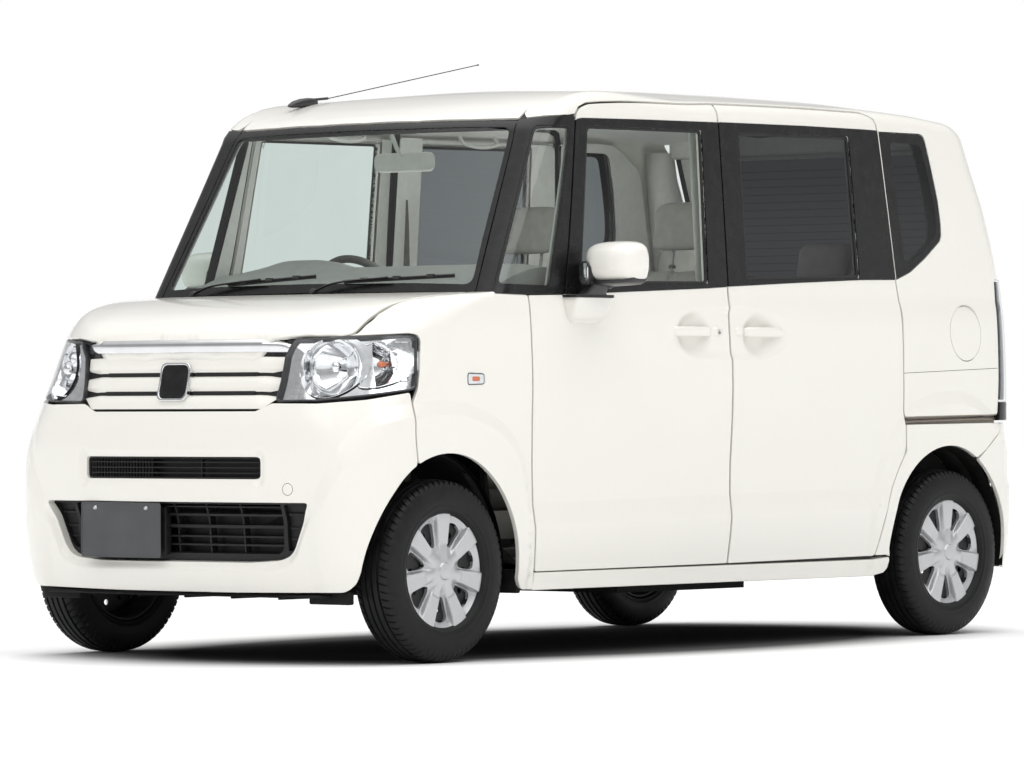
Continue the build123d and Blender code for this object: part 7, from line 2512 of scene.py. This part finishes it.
# number-plate recess with lamps and handle on the tailgate
gar = [(-330, 905), (330, 905), (322, 948), (-322, 948)]
rd.join(panel(R_MAP, gar, [], step=30, edge=12, hem=4.0, flange=10, cut=8, offset=15), 1)
rd.join(panel(R_MAP, [(-300, 893), (300, 893), (300, 907), (-300, 907)], [], step=40, edge=14, hem=3, flange=8, cut=3, offset=4), 2)
rec = [(-190, 712), (190, 712), (190, 892), (-190, 892)]
rd.join(panel(R_MAP, [(-200, 704), (200, 704), (200, 900), (-200, 900)], [rec], step=20, edge=10, hem=3.0, flange=4, hole_flange=3, cut=16, hole_cut=12, offset=1.2), 0)
rd.join(panel(R_MAP, [(-188, 714), (188, 714), (188, 890), (-188, 890)], [], step=30, edge=12, hem=0.5, flange=1, cut=10, offset=0.5), 2)
for x in (-105, 105):
    q = R_MAP(np.array([[x, 868.0]]))[0]
    rd.join(revolve([(0, 7), (2, 7), (3, 5), (3, 0)], q, (0, 1, 0), 6), 3)
for x in (-120, 120):
    rd.join(panel(R_MAP, [(x - 26, 896), (x + 26, 896), (x + 26, 904), (x - 26, 904)], [], step=30, edge=8, hem=1.5, flange=3, cut=2, offset=5.5), 4)
# high stop lamp over the glass
rd.join(panel(R_MAP, [(-150, 1652), (150, 1652), (146, 1676), (-146, 1676)], [], step=20, edge=8, hem=3.0, flange=6, cut=4, offset=4), 5)
finish_one("tailgate_details", rd, [PAINT, PAINT, M_BLACK, M_STEEL, M_LENS, M_RED], "hatch", [])
rr = Shape()
for sg in (1, -1):
    rr.join(panel(B_MAP, [(sg * 462, 398), (sg * 572, 398), (sg * 575, 430), (sg * 462, 428)], [], step=20, edge=8, hem=3.0, flange=6, cut=5, offset=3), 0)
rr.join(panel(B_MAP, [(-520, 214), (520, 214), (560, 262), (480, 296), (-480, 296), (-560, 262)], [], step=30, edge=12, hem=3.0, flange=8, cut=16, offset=2.5), 1)
finish_one("rear_bumper_details", rr, [M_RED, M_BLACK], "shell", [])

# ================================================================ engine bay
eb = Shape()
eb.join(brick(-230, 150, -1330, -1130, 760, 842, 18, 3), 0)
for x in np.arange(-190, 120, 34.0):
    eb.join(brick(x - 4, x + 4, -1318, -1142, 838, 849, 3, 1), 0)
eb.join(revolve([(0, 26), (14, 28), (20, 24), (20, 0)], (110, -1180, 838), (0, 0, 1), 28), 1)
eb.join(brick(300, 520, -1330, -1170, 640, 850, 8, 2), 1)                 # battery
eb.join(brick(296, 524, -1334, -1166, 842, 862, 5, 2), 1)
for x in (335, 485):
    eb.join(revolve([(0, 9), (16, 8), (16, 0)], (x, -1210, 862), (0, 0, 1), 16), 2)
    eb.join(brick(x - 18, x + 18, -1226, -1196, 870, 882, 4, 2), 1)
eb.join(brick(286, 534, -1262, -1240, 862, 874, 4, 1), 2)
eb.join(brick(-520, -380, -1340, -1210, 660, 880, 22, 3), 3)              # coolant bottle
eb.join(revolve([(0, 26), (20, 26), (24, 22), (24, 0)], (-450, -1275, 878), (0, 0, 1), 28), 1)
eb.join(brick(-340, 330, -1476, -1446, 735, 790, 10, 2), 1)
eb.join(revolve([(0, 30), (18, 30), (24, 25), (24, 0)], (-180, -1460, 786), (0, 0, 1), 28), 1)
eb.join(tube(smooth_path(np.array([(-300, -1440, 740), (-330, -1400, 800), (-300, -1340, 810), (-230, -1300, 800)], float), 8), 22, 16), 1)
eb.join(tube(smooth_path(np.array([(250, -1440, 720), (300, -1400, 700), (240, -1360, 690), (160, -1330, 700)], float), 8), 20, 16), 1)
eb.join(tube(smooth_path(np.array([(-120, -1340, 800), (-60, -1400, 830), (120, -1420, 840), (220, -1440, 850)], float), 8), 28, 16), 1)
eb.join(brick(180, 380, -1500, -1410, 810, 880, 16, 2), 1)
eb.join(tube(smooth_path(np.array([(300, -1180, 860), (180, -1120, 880), (-100, -1110, 880), (-300, -1130, 850)], float), 8), 9, 10), 1)
for sg in (1, -1):
    eb.join(revolve([(0, 62), (6, 62), (8, 56), (20, 40), (22, 0)], (sg * 560, -1254, 846), (0, 0, 1), 32), 1)
eb.join(brick(-600, 600, -1500, -1470, 858, 884, 8, 2), 4)                # upper beam
eb.join(brick(-36, 36, -1506, -1462, 880, 900, 6, 2), 4)
M_COOLANT = plain("bottle_plastic", (0.52, 0.53, 0.50), (0.60, 0.61, 0.58), (0.35, 0.45), 30)
finish_one("engine_bay_parts", eb, [M_BLACK_SMOOTH, M_BLACK, M_STEEL, M_COOLANT, M_UNDER], "shell", [], smooth_angle=40)

# ================================================================ finishes of the CAD pieces that stay
M_BODYMETAL = plain("body_metal_painted", (0.60, 0.585, 0.54), (0.68, 0.665, 0.62), (0.4, 0.55), 20, bump_s=0.1, bump_scale=500)
M_IRON = plain("cast_iron", (0.045, 0.043, 0.04), (0.085, 0.08, 0.075), (0.5, 0.7), 45, metal=0.6, bump_s=0.6, bump_scale=350)
M_ALLOY = plain("cast_alloy", (0.30, 0.30, 0.295), (0.40, 0.40, 0.39), (0.45, 0.6), 35, metal=0.8, bump_s=0.5, bump_scale=300)
M_EXH = plain("exhaust_steel", (0.20, 0.18, 0.16), (0.34, 0.31, 0.28), (0.3, 0.5), 18, metal=1.0, bump_s=0.2, bump_scale=200)


def fins():
    m, nt, b, _ = new_mat("radiator_fins")
    c = scaled(nt, 1, 1, 1)
    w = nt.nodes.new("ShaderNodeTexWave")
    w.bands_direction = "Z"
    w.inputs["Scale"].default_value = 60
    nt.links.new(c, w.inputs["Vector"])
    nt.links.new(ramp(nt, w.outputs["Fac"], [(0.2, (0.03, 0.03, 0.03)), (0.8, (0.22, 0.22, 0.22))]), b.inputs["Base Color"])
    nt.links.new(ramp(nt, w.outputs["Fac"], [(0.2, 0.7), (0.8, 0.4)]), b.inputs["Roughness"])
    b.inputs["Metallic"].default_value = 0.7
    bump(nt, b, w.outputs["Fac"], 0.8, 0.002)
    return m


for node, mt in {"floor_pan": M_UNDER, "firewall": M_UNDER, "front_structure": M_UNDER, "front_crossmember": M_UNDER, "rear_axle": M_IRON, "front_knuckle_left": M_IRON, "front_knuckle_right": M_IRON,
                 "engine": M_ALLOY, "radiator": fins(), "exhaust": M_EXH, "fuel_tank": M_UNDER}.items():
    me = frame["nodes"][node].data
    for i in range(len(me.materials)):
        me.materials[i] = mt

for nm, ob in PIECES.items():
    first = ob.data.materials[0].name if ob.data.materials else ""
    slot = {"pearl_paint": "body_paint", "clear_glass_green": "clear_glass", "privacy_glass": "privacy_glass", "lamp_lens_clear": "lamp_lens", "black_gloss_trim": "black_trim", "black_plastic": "black_trim",
            "seal_rubber": "black_trim", "black_moulding": "black_trim", "plate_charcoal": "blank_plate", "wheel_silver": "wheel_silver", "tyre_rubber_black": "tyre_rubber", "underbody_coat": "underbody",
            "seat_fabric_beige": "seat_fabric", "lamp_reflector": "lamp_lens", "lamp_smoke": "tail_lens", "lamp_red": "tail_lens"}.get(first)
    if nm.startswith("tail_lamp"):
        slot = "tail_lens"
    if nm.startswith("grille_assembly"):
        slot = "grille_metal"
    if slot is None and first.startswith(("cabin_", "dash", "headliner", "floor_carpet")):
        slot = "cabin_plastic"
    if slot:
        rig.slot(ob, slot)


# ================================================================ floor, light, camera
def stage():
    me = bpy.data.meshes.new("floor")
    s = 60.0
    me.from_pydata([(-s, -s, 0), (s, -s, 0), (s, s, 0), (-s, s, 0)], [], [(0, 1, 2, 3)])
    floor = bpy.data.objects.new("floor", me)
    bpy.context.scene.collection.objects.link(floor)
    m, nt, b, _ = new_mat("floor_pale")
    t = noise(nt, 0.6, 3)
    # spherical gradient darkens the floor's colour under and around the car: a painted shadow
    g = nt.nodes.new("ShaderNodeTexGradient")
    g.gradient_type = "SPHERICAL"
    nt.links.new(scaled(nt, 1 / 1.12, 1 / 2.12, 0), g.inputs["Vector"])
    mx = nt.nodes.new("ShaderNodeMix")
    mx.data_type = "RGBA"
    mx.blend_type = "MULTIPLY"
    mx.inputs["Factor"].default_value = 1.0
    nt.links.new(ramp(nt, t.outputs["Fac"], [(0.3, (0.93, 0.93, 0.93)), (0.7, (0.945, 0.945, 0.945))]), mx.inputs[6])
    nt.links.new(ramp(nt, g.outputs["Fac"], [(0.0, 1.0), (0.12, 0.78), (0.32, 0.12)]), mx.inputs[7])
    nt.links.new(mx.outputs[2], b.inputs["Base Color"])
    b.inputs["Roughness"].default_value = 0.6
    b.inputs["Specular IOR Level"].default_value = 0.0
    me.materials.append(m)
    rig.stage(floor)
    w = bpy.data.worlds.new("studio")
    bpy.context.scene.world = w
    w.use_nodes = True
    nt = w.node_tree
    nt.nodes.clear()
    out = nt.nodes.new("ShaderNodeOutputWorld")
    bg = nt.nodes.new("ShaderNodeBackground")
    bg.inputs["Strength"].default_value = 2.0
    tc = nt.nodes.new("ShaderNodeTexCoord")
    sep = nt.nodes.new("ShaderNodeSeparateXYZ")
    nt.links.new(tc.outputs["Generated"], sep.inputs[0])
    nt.links.new(ramp(nt, sep.outputs["Z"], [(0.0, (0.5, 0.5, 0.5)), (0.085, (0.5, 0.5, 0.5)), (0.13, (0.23, 0.23, 0.232)), (0.42, (0.20, 0.20, 0.202)), (0.70, (0.40, 0.40, 0.402)), (0.84, (1.0, 1.0, 1.0))]), bg.inputs["Color"])
    nt.links.new(bg.outputs[0], out.inputs[0])

    def area(name, loc, target, sx, sy, power, color=(1, 1, 1)):
        l = bpy.data.lights.new(name, "AREA")
        l.shape = "RECTANGLE"
        l.size, l.size_y = sx, sy
        l.energy = power
        l.color = color
        o = bpy.data.objects.new(name, l)
        bpy.context.scene.collection.objects.link(o)
        o.location = loc
        o.rotation_euler = (Vector(target) - Vector(loc)).to_track_quat("-Z", "Y").to_euler()
        return o
    area("top_soft", (0.6, -0.4, 5.6), (0, 0, 0.8), 5.2, 7.5, 30)
    area("key_side", (6.4, -1.8, 5.4), (0, 0, 0.8), 5.0, 3.0, 86)
    for nm, y, z, power in (("cabin_front", -0.35, 1.28, 7.0), ("cabin_rear", 0.75, 1.32, 6.0)):
        l = bpy.data.lights.new(nm, "POINT")
        l.energy = power
        l.shadow_soft_size = 0.18
        o = bpy.data.objects.new(nm, l)
        bpy.context.scene.collection.objects.link(o)
        o.location = (0, y, z)
        o.visible_camera = False
        o.visible_glossy = False
    area("front_fill", (-0.5, -7.4, 4.8), (0, -1, 0.8), 5.0, 3.0, 52)


def camera():
    cam = bpy.data.cameras.new("view")
    cam.lens = 203.42
    cam.sensor_width = 36.0
    cam.sensor_fit = "HORIZONTAL"
    cam.clip_end = 300
    o = bpy.data.objects.new("view", cam)
    bpy.context.scene.collection.objects.link(o)
    yaw, pitch, roll = math.radians(40.3184), math.radians(0.1709), math.radians(-0.2172)
    f = Vector((-math.sin(yaw) * math.cos(pitch), math.cos(yaw) * math.cos(pitch), math.sin(pitch)))
    r = Vector((math.cos(yaw), math.sin(yaw), 0))
    u = r.cross(f)
    r2 = math.cos(roll) * r + math.sin(roll) * u
    u2 = -math.sin(roll) * r + math.cos(roll) * u
    m = Matrix((( r2.x, u2.x, -f.x, 11.89711), (r2.y, u2.y, -f.y, -14.12923), (r2.z, u2.z, -f.z, 0.77085), (0, 0, 0, 1)))
    o.matrix_world = m
    bpy.context.scene.camera = o


stage()
camera()
bpy.context.scene.view_settings.view_transform = "Standard"
json.dump({"cad": [list(map(float, c)) for c in CAD_BOX], "visual": [list(map(float, c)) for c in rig.bounds()]}, open("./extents.json", "w"))
